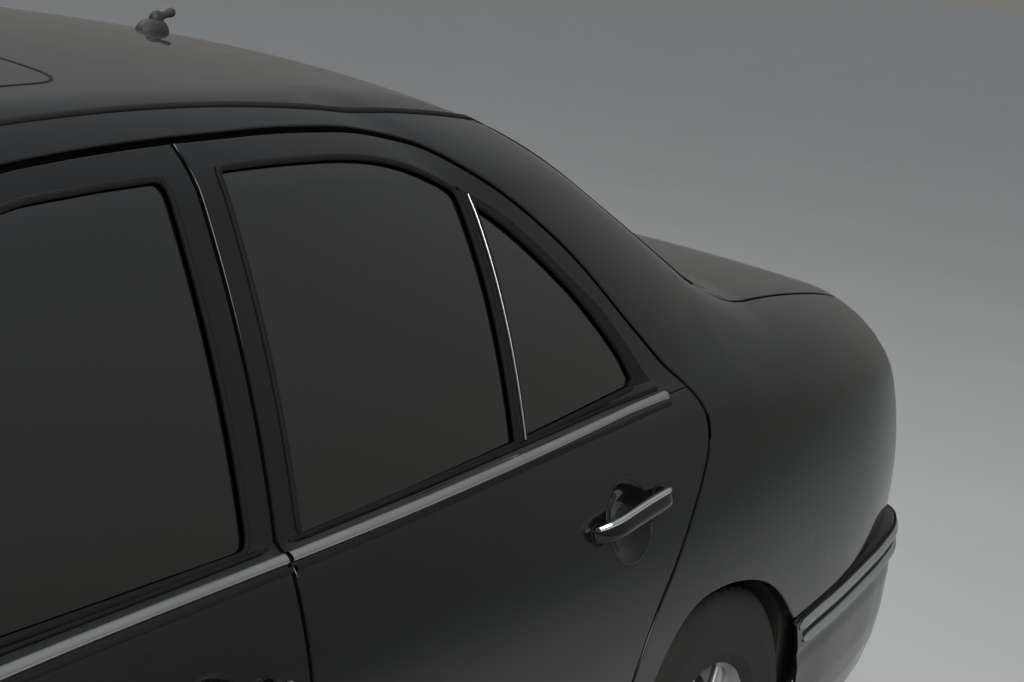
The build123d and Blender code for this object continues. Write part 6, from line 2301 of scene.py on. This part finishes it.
@dataclass
class Pad:
    """A stuffed cushion: a rounded box, swelled as cloth, then drawn in along its sewn channels.

    Local axes are 0 through the pad towards the sitter, 1 across the car and 2 along the pad.
    """

    name: str
    centre: tuple[float, float, float]
    half: tuple[float, float, float]
    facing: tuple[float, float, float]
    bolster: float
    channels: tuple[Channel, ...]
    replaces: tuple[str, ...] = ()
    voxel: float = 0.011
    swell: float = 0.012
    power: float = 4.5

    def axes(self) -> Array:
        """The local axes as rows, in (station, y, z)."""
        through = np.array(self.facing, float)
        through /= np.linalg.norm(through)
        across = np.array([0.0, 1.0, 0.0])
        return np.stack([through, across, np.cross(through, across)])

    def form(self) -> Surface:
        """The rounded box: each direction d is scaled by (sum |d / half|^p)^(-1/p)."""
        half = np.array(self.half) - np.array([9.0, 9.0, 9.0])

        def shape(u: Array, v: Array) -> Array:
            """A point of the box by longitude and latitude."""
            a, b = 2 * math.pi * u, math.pi * v
            d = np.stack([np.cos(a) * np.sin(b), np.sin(a) * np.sin(b), np.cos(b)], axis=-1) * half
            size = np.sum(np.abs(d / half) ** self.power, axis=-1, keepdims=True) ** (-1 / self.power)
            return np.array(self.centre) + (d * size) @ self.axes()

        return inside_out_of(shape, 96, 64)

    def sewn(self, points: Array, normals: Array) -> Array:
        """Raises the bolsters and draws in the channels: depth exp(-(distance / width)^2) on the sitter's side."""
        local = (points - np.array(self.centre)) @ self.axes().T
        facing = np.clip((normals @ self.axes().T)[:, 0] * 1.6 - 0.2, 0, 1)
        lift = self.bolster * np.clip((np.abs(local[:, 1]) / self.half[1] - 0.62) / 0.2, 0, 1) ** 2
        lift *= np.clip((0.97 - np.abs(local[:, 1]) / self.half[1]) / 0.1, 0, 1)
        for line in self.channels:
            other = 3 - line.axis
            within = np.clip((line.span - np.abs(local[:, other]) / self.half[other]) / 0.06, 0, 1)
            away = (
                (np.abs(local[:, line.axis]) if line.at > 0 and line.axis == 1 else local[:, line.axis])
                - line.at
            )
            lift -= line.depth * np.exp(-((away / line.width) ** 2)) * within
        return points + self.axes()[0] * (lift * facing)[:, None]


def mesh_of(surface: Surface, name: str) -> bpy.types.Mesh:
    """A plain mesh of a surface, in the row frame."""
    mesh = bpy.data.meshes.new(name)
    quads = [f[:3] if f[2] == f[3] else f for f in surface.faces.tolist()]
    mesh.from_pydata(row_frame(surface.points).tolist(), [], quads)
    mesh.update()
    return mesh


def read_points(mesh: bpy.types.Mesh) -> Array:
    """A mesh's points in metres."""
    out = np.empty(len(mesh.vertices) * 3)
    mesh.vertices.foreach_get("co", out)
    return out.reshape(-1, 3)


def evaluated(obj: bpy.types.Object) -> bpy.types.Mesh:
    """A new mesh with the object's modifiers applied."""
    return bpy.data.meshes.new_from_object(obj.evaluated_get(bpy.context.evaluated_depsgraph_get()))


class Upholstery:
    """Swells all pads together as cloth, and makes them pieces."""

    FRAMES = 20
    PRESSURE = 4.0

    def __init__(self, pads: Sequence[Pad]) -> None:
        """Keeps the pads."""
        self.pads = pads

    def staged(self, pad: Pad) -> bpy.types.Object:
        """The pad's form, remeshed evenly and ready to swell."""
        obj = bpy.data.objects.new(pad.name, mesh_of(pad.form(), pad.name))
        bpy.context.scene.collection.objects.link(obj)
        remesh = obj.modifiers.new("even", "REMESH")
        remesh.mode, remesh.voxel_size = "VOXEL", pad.voxel
        obj.data = evaluated(obj)
        obj.modifiers.clear()
        cloth = obj.modifiers.new("swell", "CLOTH")
        cloth.settings.use_pressure = True
        cloth.settings.uniform_pressure_force = self.PRESSURE
        cloth.settings.effector_weights.gravity = 0.0
        cloth.collision_settings.use_collision = False
        cloth.point_cache.frame_start, cloth.point_cache.frame_end = 1, self.FRAMES
        return obj

    def build(self) -> None:
        """Makes every pad: remesh, cloth, a cap on how far a point may move, one subdivision, channels."""
        staged = [self.staged(pad) for pad in self.pads]
        for frame in range(1, self.FRAMES + 1):
            bpy.context.scene.frame_set(frame)
        for pad, obj in zip(self.pads, staged):
            start = read_points(obj.data)
            swelled = read_points(evaluated(obj))
            move = swelled - start
            size = np.maximum(np.linalg.norm(move, axis=1, keepdims=True), 1e-9)
            obj.modifiers.clear()
            obj.data.vertices.foreach_set("co", (start + move * np.minimum(1, pad.swell / size)).ravel())
            obj.data.update()
            smooth = obj.modifiers.new("finer", "SUBSURF")
            smooth.levels = smooth.render_levels = 1
            mesh = evaluated(obj)
            obj.modifiers.clear()
            points = read_points(mesh) / MM
            normals = np.empty(len(mesh.vertices) * 3)
            mesh.vertices.foreach_get("normal", normals)
            flip = np.array([-1.0, 1.0, 1.0])
            points = points * flip + np.array([CAR.front_axle_x, 0, 0])
            mesh.vertices.foreach_set("co",
                                      row_frame(pad.sewn(points, normals.reshape(-1, 3) * flip)).ravel())
            mesh.polygons.foreach_set("use_smooth", np.ones(len(mesh.polygons), bool))
            mesh.materials.clear()
            mesh.materials.append(LEATHER.material())
            mesh.update()
            obj.data = mesh
            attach(obj, "root")
            if pad.replaces:
                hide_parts(*pad.replaces)
            log.info("%s: padded, %d faces", pad.name, len(mesh.polygons))
        bpy.context.scene.frame_set(1)


def seat_pads() -> list[Pad]:
    """The cushions of the two front seats and of the rear bench."""
    pads = []
    for side_name, hand in SIDES.items():
        y = 370.0 * hand
        lean = (-math.cos(math.radians(14)), 0.0, math.sin(math.radians(14)))
        pads += [
            Pad(f"front_seat_cushion_{side_name}", (1398, y, 462), (94, 252, 246), (-0.05, 0, 1), 16.0,
                (Channel(1, 150), *(Channel(2, v, 5.0) for v in (-120, -40, 40, 120))),
                ("front_seats",) if hand > 0 else ()),
            Pad(f"front_seat_back_{side_name}", (1690, y, 850), (62, 246, 312), lean, 18.0,
                (Channel(1, 145), *(Channel(2, v, 5.0) for v in (-200, -110, -20, 70, 160)))),
            Pad(f"front_head_restraint_{side_name}", (1784, y, 1204), (42, 132, 72), (-0.985, 0, 0.17), 3.0,
                (Channel(1, 86, 4.0, 5.0),), voxel=0.008, swell=0.008, power=3.2),
            Pad(f"rear_seat_cushion_{side_name}", (2292, 374.0 * hand, 436), (92, 262, 226), (-0.06, 0, 1),
                10.0,
                (Channel(1, 165), *(Channel(2, v, 5.0) for v in (-100, 0, 100))),
                ("rear_seat",) if hand > 0 else (),
                voxel=0.012),
        ]
    flat = (-math.cos(math.radians(8)), 0.0, math.sin(math.radians(8)))
    pads.append(Pad("rear_seat_back", (2452, 0, 768), (54, 612, 268), flat, 10.0,
                    (Channel(1, 150), Channel(1, 470), *(Channel(2, v, 5.0) for v in (-150, -50, 50, 150))),
                    voxel=0.013))
    pads.append(Pad("rear_seat_cushion_middle", (2292, 0, 470), (60, 112, 224), (-0.06, 0, 1), 0.0,
                    tuple(Channel(2, v, 4.0) for v in (-100, 0, 100)), voxel=0.012))
    return pads


@dataclass
class SeatFrames:
    """What carries the front seats: plinths and head restraint posts."""

    def build(self) -> None:
        """Makes the frames of both seats."""
        for side_name, hand in SIDES.items():
            y = 370.0 * hand
            loop = rounded_loop(1.0, 1.0, 6.0, 40)
            z = np.array([258.0, 262, 300, 345, 372, 378])
            size = np.array([[200, 190], [206, 196], [212, 204], [228, 222], [236, 230], [230, 224]], float)
            path = np.stack([np.full(6, 1398.0), np.full(6, y), z], axis=1)
            n = len(path)
            across, upward = np.tile([1.0, 0, 0], (n, 1)), np.tile([0, 1.0, 0], (n, 1))
            put(f"front_seat_plinth_{side_name}", tube(path, across, upward, loop[None] * size[:, None]),
                CABIN)
            posts = []
            for off in (-62.0, 62.0):
                t = np.linspace(0, 1, 8)
                rod_path = np.stack([1768 + 12 * t, np.full(8, y + off), 1118 + 62 * t], axis=1)
                across, upward = np.tile([1.0, 0, 0], (8, 1)), np.tile([0, 1.0, 0], (8, 1))
                posts.append(tube(rod_path, across, upward, rounded_loop(5.5, 5.5, 2, 20)))
            put(f"head_restraint_posts_{side_name}", joined(*posts), SATIN)


@dataclass
class Dashboard:
    """The dashboard: a padded section carried across the car, with hood, vents, dials and glove box."""

    half_width: float = 636.0
    section: tuple = ((372, 566), (370, 872), (420, 884), (560, 893), (700, 893), (770, 886), (812, 868),
                      (828, 842),
                      (822, 800), (806, 775), (800, 740), (806, 700), (790, 660), (740, 600), (690, 566))

    def hood(self, s: Array, y: Array) -> Array:
        """How far the instrument hood rises: 34 mm times a flat bell across and a ramp along."""
        return (
            34 * np.exp(-(((y - 370) / 168) ** 6)) * np.clip((s - 600) / 130, 0, 1)
            * np.clip((870 - s) / 50, 0, 1)
        )

    def body(self) -> Surface:
        """The padded body."""
        loop = np.array(self.section, float)
        ring = spread(np.concatenate([loop, loop[:1]]), 121)[:-1]
        for _ in range(2):
            ring = (np.roll(ring, 1, axis=0) + 2 * ring + np.roll(ring, -1, axis=0)) / 4
        y = np.linspace(-1, 1, 121)
        y = self.half_width * np.sign(y) * np.abs(y) ** 0.9
        s = np.broadcast_to(ring[None, :, 0], (121, 120))
        rise = np.where(ring[None, :, 1] > 790, self.hood(s, y[:, None]), 0)
        ease = 1 - 0.02 * (np.abs(y[:, None]) / self.half_width) ** 20
        profile = np.stack([(s - 600) * ease, (ring[None, :, 1] - 730) * ease + rise], axis=-1)
        path = np.stack([np.full(121, 600.0), y, np.full(121, 730.0)], axis=1)
        return tube(path, np.tile([1.0, 0, 0], (121, 1)), np.tile([0, 0, 1.0], (121, 1)), profile)

    def board(self, y0: float, y1: float, z0: float, z1: float, out: float, s: float = 818.0) -> Surface:
        """A thin rounded board standing a little proud of the dashboard's face."""
        loop = rounded_loop((y1 - y0) / 2, (z1 - z0) / 2, 8.0, 48)
        path = np.stack([np.array([s - 12, s + out - 1.5, s + out]), np.full(3, (y0 + y1) / 2),
                         np.full(3, (z0 + z1) / 2)], axis=1)
        size = np.array([1.0, 1.0, 0.975])[:, None, None]
        return tube(path, np.tile([0, 1.0, 0], (3, 1)), np.tile([0, 0, 1.0], (3, 1)), loop[None] * size)

    def slats(self, y0: float, y1: float, z0: float, z1: float, s: float = 822.0) -> Surface:
        """The level slats of one vent."""
        bars = []
        for z in np.linspace(z0 + 8, z1 - 8, 4):
            path = np.stack([np.full(12, s + 5), np.linspace(y0 + 4, y1 - 4, 12), np.full(12, z)], axis=1)
            bars.append(tube(path, np.tile([1.0, 0, 0.3], (12, 1)), np.tile([0, 0, 1.0], (12, 1)),
                             rounded_loop(6, 1.4, 2.4, 12)))
        return joined(*bars)

    def build(self) -> None:
        """Makes the dashboard."""
        put("dashboard_pad", self.body(), CABIN, replaces=("dashboard",))
        vents = [(-630, -520, 800, 846), (-78, -4, 800, 846), (4, 78, 800, 846), (548, 628, 800, 846)]
        put("dashboard_vent_frames", joined(*(self.board(*v, 2.0, 818.0) for v in vents)), BORDER)
        put("dashboard_vent_slats", joined(*(self.slats(*v, 818.0) for v in vents)), CABIN)
        put("centre_stack", joined(self.board(-84, 84, 700, 790, 4.0, 808.0),
                                   self.board(-84, 84, 640, 692, 4.0, 800.0)), BORDER)
        knobs = []
        for y, z, s in [(-60, 665, 806), (0, 665, 806), (60, 665, 806), (-66, 745, 814), (66, 745, 814)]:
            path = np.array([[s - 2, y, z], [s + 12, y, z], [s + 14, y, z]], float)
            size = np.array([1.0, 0.92, 0.8])[:, None, None]
            knobs.append(tube(path, np.tile([0, 1.0, 0], (3, 1)), np.tile([0, 0, 1.0], (3, 1)),
                              rounded_loop(13, 13, 2, 32)[None] * size))
        put("dashboard_knobs", joined(*knobs), SATIN)
        put("glove_box_lid", self.board(-600, -150, 640, 772, 5.0, 796.0), CABIN)
        rings = []
        for y, r in ((282, 46), (370, 56), (458, 46)):
            t = np.linspace(0, 2 * math.pi, 60, endpoint=False)
            path = np.stack([np.full(60, 829.0), y + r * np.cos(t), 852 + 0.62 * r * np.sin(t)], axis=1)
            radial = np.stack([np.zeros(60), np.cos(t), np.sin(t)], axis=1)
            rings.append(tube(path, radial, np.tile([1.0, 0, 0], (60, 1)), rounded_loop(2.2, 3.0, 2, 12),
                              ring=True))
        put("instrument_rings", joined(*rings), SATIN)
        put("instrument_face", self.board(216, 524, 816, 888, 4.0, 822.0), BORDER)
        axis = np.array([math.sin(math.radians(65)), 0, math.cos(math.radians(65))])
        hub = np.array([1010.0, 370, 900])
        t = np.array([-225.0, -215, -120, -46, -34])
        size = np.array([30.0, 42, 46, 40, 26])[:, None, None]
        path = hub + t[:, None] * axis
        side_way, up_way = np.tile([0, 1.0, 0], (5, 1)), np.tile(np.cross(axis, [0, 1.0, 0]), (5, 1))
        put("steering_column_shroud",
            tube(path, side_way, up_way, rounded_loop(1, 1.15, 3.0, 36)[None] * size), CABIN)


@dataclass
class SteeringWheel:
    """The steering wheel: a grip of oval section, a hub pad and four spokes, on its raked axis."""

    centre: tuple[float, float, float] = (1010.0, 370.0, 900.0)
    radius: float = 185.0
    rake: float = 65.0

    def placed(self, local: Array) -> Array:
        """Local (x up the wheel, y across, z to the driver) into (station, y, z)."""
        c, s = math.cos(math.radians(self.rake)), math.sin(math.radians(self.rake))
        return np.array(self.centre) + local @ np.array([[-c, 0, s], [0, 1, 0], [s, 0, c]])

    def turned_tube(self, path: Array, across: Array, upward: Array, profile: Array,
                    ring: bool = False) -> Surface:
        """A tube made in local axes, then placed."""
        made = tube(path, across, upward, profile, ring)
        return outward(Surface(self.placed(made.points), made.faces))

    def build(self) -> None:
        """Makes the steering wheel."""
        t = np.linspace(0, 2 * math.pi, 120, endpoint=False)
        radial = np.stack([np.cos(t), np.sin(t), np.zeros(120)], axis=1)
        upright = np.tile([0, 0, 1.0], (120, 1))
        swell = 1 + 0.10 * np.exp(-(((np.abs(np.degrees(t) % 360 - 180) - 120) / 14) ** 2))
        grip = self.turned_tube(radial * self.radius, radial, upright,
                                rounded_loop(12.5, 14, 2.2, 24)[None] * swell[:, None, None], True)
        put("steering_wheel_grip", grip, LEATHER, "steering_wheel", ("steering_wheel",))
        z = np.array([-20.0, -16, 4, 16, 21, 22.5])
        size = np.array([40.0, 58, 66, 60, 44, 6])
        path = np.stack([0 * z, 0 * z, z], axis=1)
        n = len(z)
        hub = self.turned_tube(path, np.tile([1.0, 0, 0], (n, 1)), np.tile([0, 1.0, 0], (n, 1)),
                               rounded_loop(0.95, 1.15, 3.2, 56)[None] * size[:, None, None])
        put("steering_wheel_hub", hub, CABIN, "steering_wheel")
        spokes = []
        for angle in (10, 170, 250, 290):
            a = math.radians(angle)
            out, side_way = np.array([math.cos(a), math.sin(a), 0]), np.array([-math.sin(a), math.cos(a), 0])
            r = np.linspace(40, self.radius - 4, 16)
            path = out * r[:, None] + np.array([0, 0, 1.0]) * (4 - 6 * np.sin(math.pi * (r - 40) / 150))[:,
                                                                                                         None]
            width = np.interp(r, (40, 90, 181), (24.0, 14.0, 17.0))
            profile = rounded_loop(1, 1, 2.6, 18)[None] * np.stack([width, np.full(16, 7.0)], axis=1)[:, None]
            spokes.append(self.turned_tube(path, np.tile(side_way, (16, 1)), np.tile([0, 0, 1.0], (16, 1)),
                                           profile))
        put("steering_wheel_spokes", joined(*spokes), CABIN, "steering_wheel")


@dataclass
class DoorCard:
    """A door's inner trim: a moulded card with an armrest, a pocket and a release."""

    place: str
    face_y: float = 741.0

    def build(self) -> None:
        """Makes the card on both sides."""
        s0, s1 = {"front": (585.0, 1500.0), "rear": (1700.0, 2350.0)}[self.place]
        z1 = float(belt(s0)) - 32
        s, z = np.meshgrid(np.linspace(s0, s1, 40), np.linspace(330.0, z1, 60), indexing="ij")
        middle = (s0 + s1) / 2
        rest = (
            np.clip(1 - (np.abs(s - middle - 40) / (0.40 * (s1 - s0))) ** 6, 0, 1)
            * np.exp(-(((z - 640) / 34) ** 4))
        )
        pocket = (
            np.clip(1 - (np.abs(s - middle + 60) / (0.36 * (s1 - s0))) ** 8, 0, 1)
            * np.clip((500 - z) / 24, 0, 1) * np.clip((z - 345) / 24, 0, 1)
        )
        edge = np.minimum(np.minimum(s - s0, s1 - s), np.minimum(z - 330, z1 - z))
        relief = (
            6 + 46 * rest + 20 * pocket - 5 * (1 - np.clip(edge / 18, 0, 1)) ** 2
            - 2.5 * np.exp(-(((z - 720) / 5) ** 2))
        )
        grid = np.stack([s, self.face_y - relief, z], axis=-1)
        card = closed_shell(free_sheet(grid, np.array([0, -1.0, 0])), 4.5, 1.5)
        pull_path = np.stack([np.linspace(s0 + 150, s0 + 230, 14),
                              self.face_y - 14 - 6 * np.sin(np.linspace(0, math.pi, 14)),
                              np.full(14, 760.0)], axis=1)
        pull = tube(pull_path, np.tile([0, 0, 1.0], (14, 1)), np.tile([0, 1.0, 0], (14, 1)),
                    rounded_loop(9, 3.5, 2.6, 16))
        for side_name, hand in SIDES.items():
            body = f"door_{self.place}_{side_name}"
            put(f"{body}_card", handed(card, hand), CABIN, body)
            put(f"{body}_release", handed(pull, hand), SATIN, body)


def carpet() -> Surface:
    """The moulded carpet: level at the sills, up over the tunnel by a smooth step, and up the toe board."""
    s, y = np.meshgrid(np.linspace(374, 2050, 50), np.linspace(-704, 704, 61), indexing="ij")
    shoulder = np.clip((172 - np.abs(y)) / 58, 0, 1)
    tunnel = 147 * shoulder * shoulder * (3 - 2 * shoulder)
    toe_board = 150 * np.clip((540 - s) / 160, 0, 1) ** 1.5
    grid = np.stack([s, y, 258 + np.maximum(tunnel, toe_board)], axis=-1)
    return closed_shell(free_sheet(grid, np.broadcast_to([0.0, 0.0, 1.0], grid.shape)), 4.0, 1.0)


def cabin_build() -> None:
    """Makes the inside of the car."""
    SeatFrames().build()
    Dashboard().build()
    SteeringWheel().build()
    for place in ("front", "rear"):
        DoorCard(place).build()
    s = np.linspace(1240, 2420, 26)
    flat = np.stack(np.meshgrid(s, np.linspace(-1, 1, 24), indexing="ij"), axis=-1)
    flat[..., 1] *= (roof_line(s) - 45)[:, None]
    sheet = sheet_of(plan(*flat.reshape(-1, 2)).reshape(26, 24, 3))
    sheet.points = sheet.points - sheet.normals * 22.0
    put("headliner", closed_shell(sheet, 4.0, 1.0), HEADLINER)
    put("carpet", carpet(), CARPET)


FRAME: dict = {}


@dataclass
class Studio:
    """The floor, the lamps, the pale surroundings and the camera."""

    eye: tuple[float, float, float] = (2.0775, 2.220, 1.720)
    yaw: float = -151.55
    pitch: float = -11.23
    roll: float = 7.95
    focal_pixels: float = 2308.0
    frame_width: float = 1024.0

    def camera(self) -> None:
        """Stands the camera where the photograph was taken: looking along yaw and pitch, then rolled."""
        yaw, pitch, roll = (math.radians(v) for v in (self.yaw, self.pitch, self.roll))
        ahead = np.array([math.cos(pitch) * math.cos(yaw), math.cos(pitch) * math.sin(yaw), math.sin(pitch)])
        level = np.cross(ahead, (0.0, 0.0, 1.0))
        level /= np.linalg.norm(level)
        upright = np.cross(level, ahead)
        right = math.cos(roll) * level + math.sin(roll) * upright
        up = -math.sin(roll) * level + math.cos(roll) * upright
        data = bpy.data.cameras.new("camera")
        data.sensor_width = 36.0
        data.lens = self.focal_pixels / self.frame_width * data.sensor_width
        data.clip_start, data.clip_end = 0.05, 200.0
        camera = bpy.data.objects.new("camera", data)
        turn = Matrix((
            (right[0], up[0], -ahead[0], self.eye[0]),
            (right[1], up[1], -ahead[1], self.eye[1]),
            (right[2], up[2], -ahead[2], self.eye[2]),
            (0, 0, 0, 1),
        ))
        camera.matrix_world = turn
        bpy.context.scene.collection.objects.link(camera)
        bpy.context.scene.camera = camera

    def lamp(self, name: str, place: Sequence[float], aim: Sequence[float], size: tuple, power: float,
             colour: Sequence[float]) -> None:
        """Hangs one soft panel lamp, facing its aim."""
        data = bpy.data.lights.new(name, "AREA")
        data.shape, data.size, data.size_y = "RECTANGLE", *size
        data.energy, data.color = power, colour
        lamp = bpy.data.objects.new(name, data)
        lamp.location = place
        lamp.rotation_euler = (Vector(aim) - Vector(place)).to_track_quat("-Z", "Y").to_euler()
        bpy.context.scene.collection.objects.link(lamp)

    def floor(self) -> None:
        """A wide pale floor, faintly mottled."""
        mesh = bpy.data.meshes.new("floor")
        r = 60.0
        mesh.from_pydata([(-r, -r, 0), (r, -r, 0), (r, r, 0), (-r, r, 0)], [], [(0, 1, 2, 3)])
        floor = bpy.data.objects.new("floor", mesh)
        bpy.context.scene.collection.objects.link(floor)
        made = bpy.data.materials.new("floor")
        made.use_nodes = True
        made.node_tree.nodes.clear()
        t = Tree(made.node_tree)
        noise = t.node("TexNoise", {"Vector": t.place(), "Scale": 1.6, "Detail": 6.0})
        tone = t.blend(noise.outputs["Fac"], (0.50, 0.50, 0.49), (0.55, 0.55, 0.54))
        shader = t.node("BsdfPrincipled", {"Base Color": tone, "Roughness": 0.85})
        t.node("OutputMaterial", {0: shader.outputs[0]})
        mesh.materials.append(made)

    def surroundings(self) -> None:
        """A soft pale world, warmer and darker at the horizon."""
        world = bpy.data.worlds.new("surroundings")
        world.use_nodes = True
        bpy.context.scene.world = world
        world.node_tree.nodes.clear()
        t = Tree(world.node_tree)
        height = t.node("SeparateXYZ", {0: t.node("TexCoord").outputs["Generated"]}).outputs[2]
        tone = t.blend(t.between(height, 0.0, 0.7), (0.34, 0.33, 0.31), (0.62, 0.65, 0.68))
        sky = t.node("Background", {"Color": tone, "Strength": 0.55})
        t.node("OutputWorld", {0: sky.outputs[0]})

    def build(self) -> None:
        """Sets up the whole studio."""
        self.camera()
        self.floor()
        self.surroundings()
        self.lamp("key", (2.5, 4.5, 5.0), (0.0, 0.0, 0.6), (4.0, 3.0), 300.0, (1.0, 0.98, 0.95))
        self.lamp("fill", (-0.5, -3.0, 7.0), (-0.5, 0.0, 0.7), (5.0, 4.0), 240.0, (0.95, 0.97, 1.0))
        bpy.context.scene.view_settings.view_transform = "Standard"


NODE_FINISHES = {
    "floor_pan": LINER, "side_frame_left": INNER_PAINT, "side_frame_right": INNER_PAINT,
    "quarter_panels": PAINT,
    "front_wings": PAINT, "nose_panel": PAINT, "grille": CHROME, "roof_panel": PAINT, "cowl_panel": PLASTIC,
    "rear_deck": PAINT, "headlamps": CLEAR, "tail_lamps": RED, "front_bumper": PAINT, "rear_bumper": PAINT,
    "windscreen": GLASS, "rear_window": GLASS, "engine_block": CAST, "front_subframe": CAST,
    "rear_axle": CAST,
    "dashboard": CABIN, "front_seats": LEATHER, "rear_seat": LEATHER, "exhaust": STEEL, "wipers": PLASTIC,
    "roof_aerial": PLASTIC, "bonnet": PAINT, "boot_lid": PAINT, "steering_wheel": CABIN, "mirror": PAINT,
    "knuckle": CAST, "wheel": ALLOY, "tyre": TYRE, "door_glass": GLASS, "door_trim": SATIN, "door": PAINT,
}


def dress_solids() -> None:
    """Gives every solid that stays in view its finish, by the longest name that it starts with."""
    for name, obj in FRAME["nodes"].items():
        best = max((key for key in NODE_FINISHES if name.startswith(key)), key=len, default=None)
        if best is None or obj.type != "MESH":
            continue
        obj.data.materials.clear()
        obj.data.materials.append(NODE_FINISHES[best].material())


def main() -> None:
    """Loads the frame, builds the studio and every sub-assembly."""
    logging.basicConfig(level=logging.INFO, format="%(name)s: %(message)s")
    FRAME.update(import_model())
    Studio().build()
    Upholstery(seat_pads()).build()
    dress_solids()
    BodyShell().build()
    for place in ("front", "rear"):
        SideDoor(place).build()
    extra_build()
    detail_build()
    cabin_build()
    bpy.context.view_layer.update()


if __name__ == "__main__":
    main()
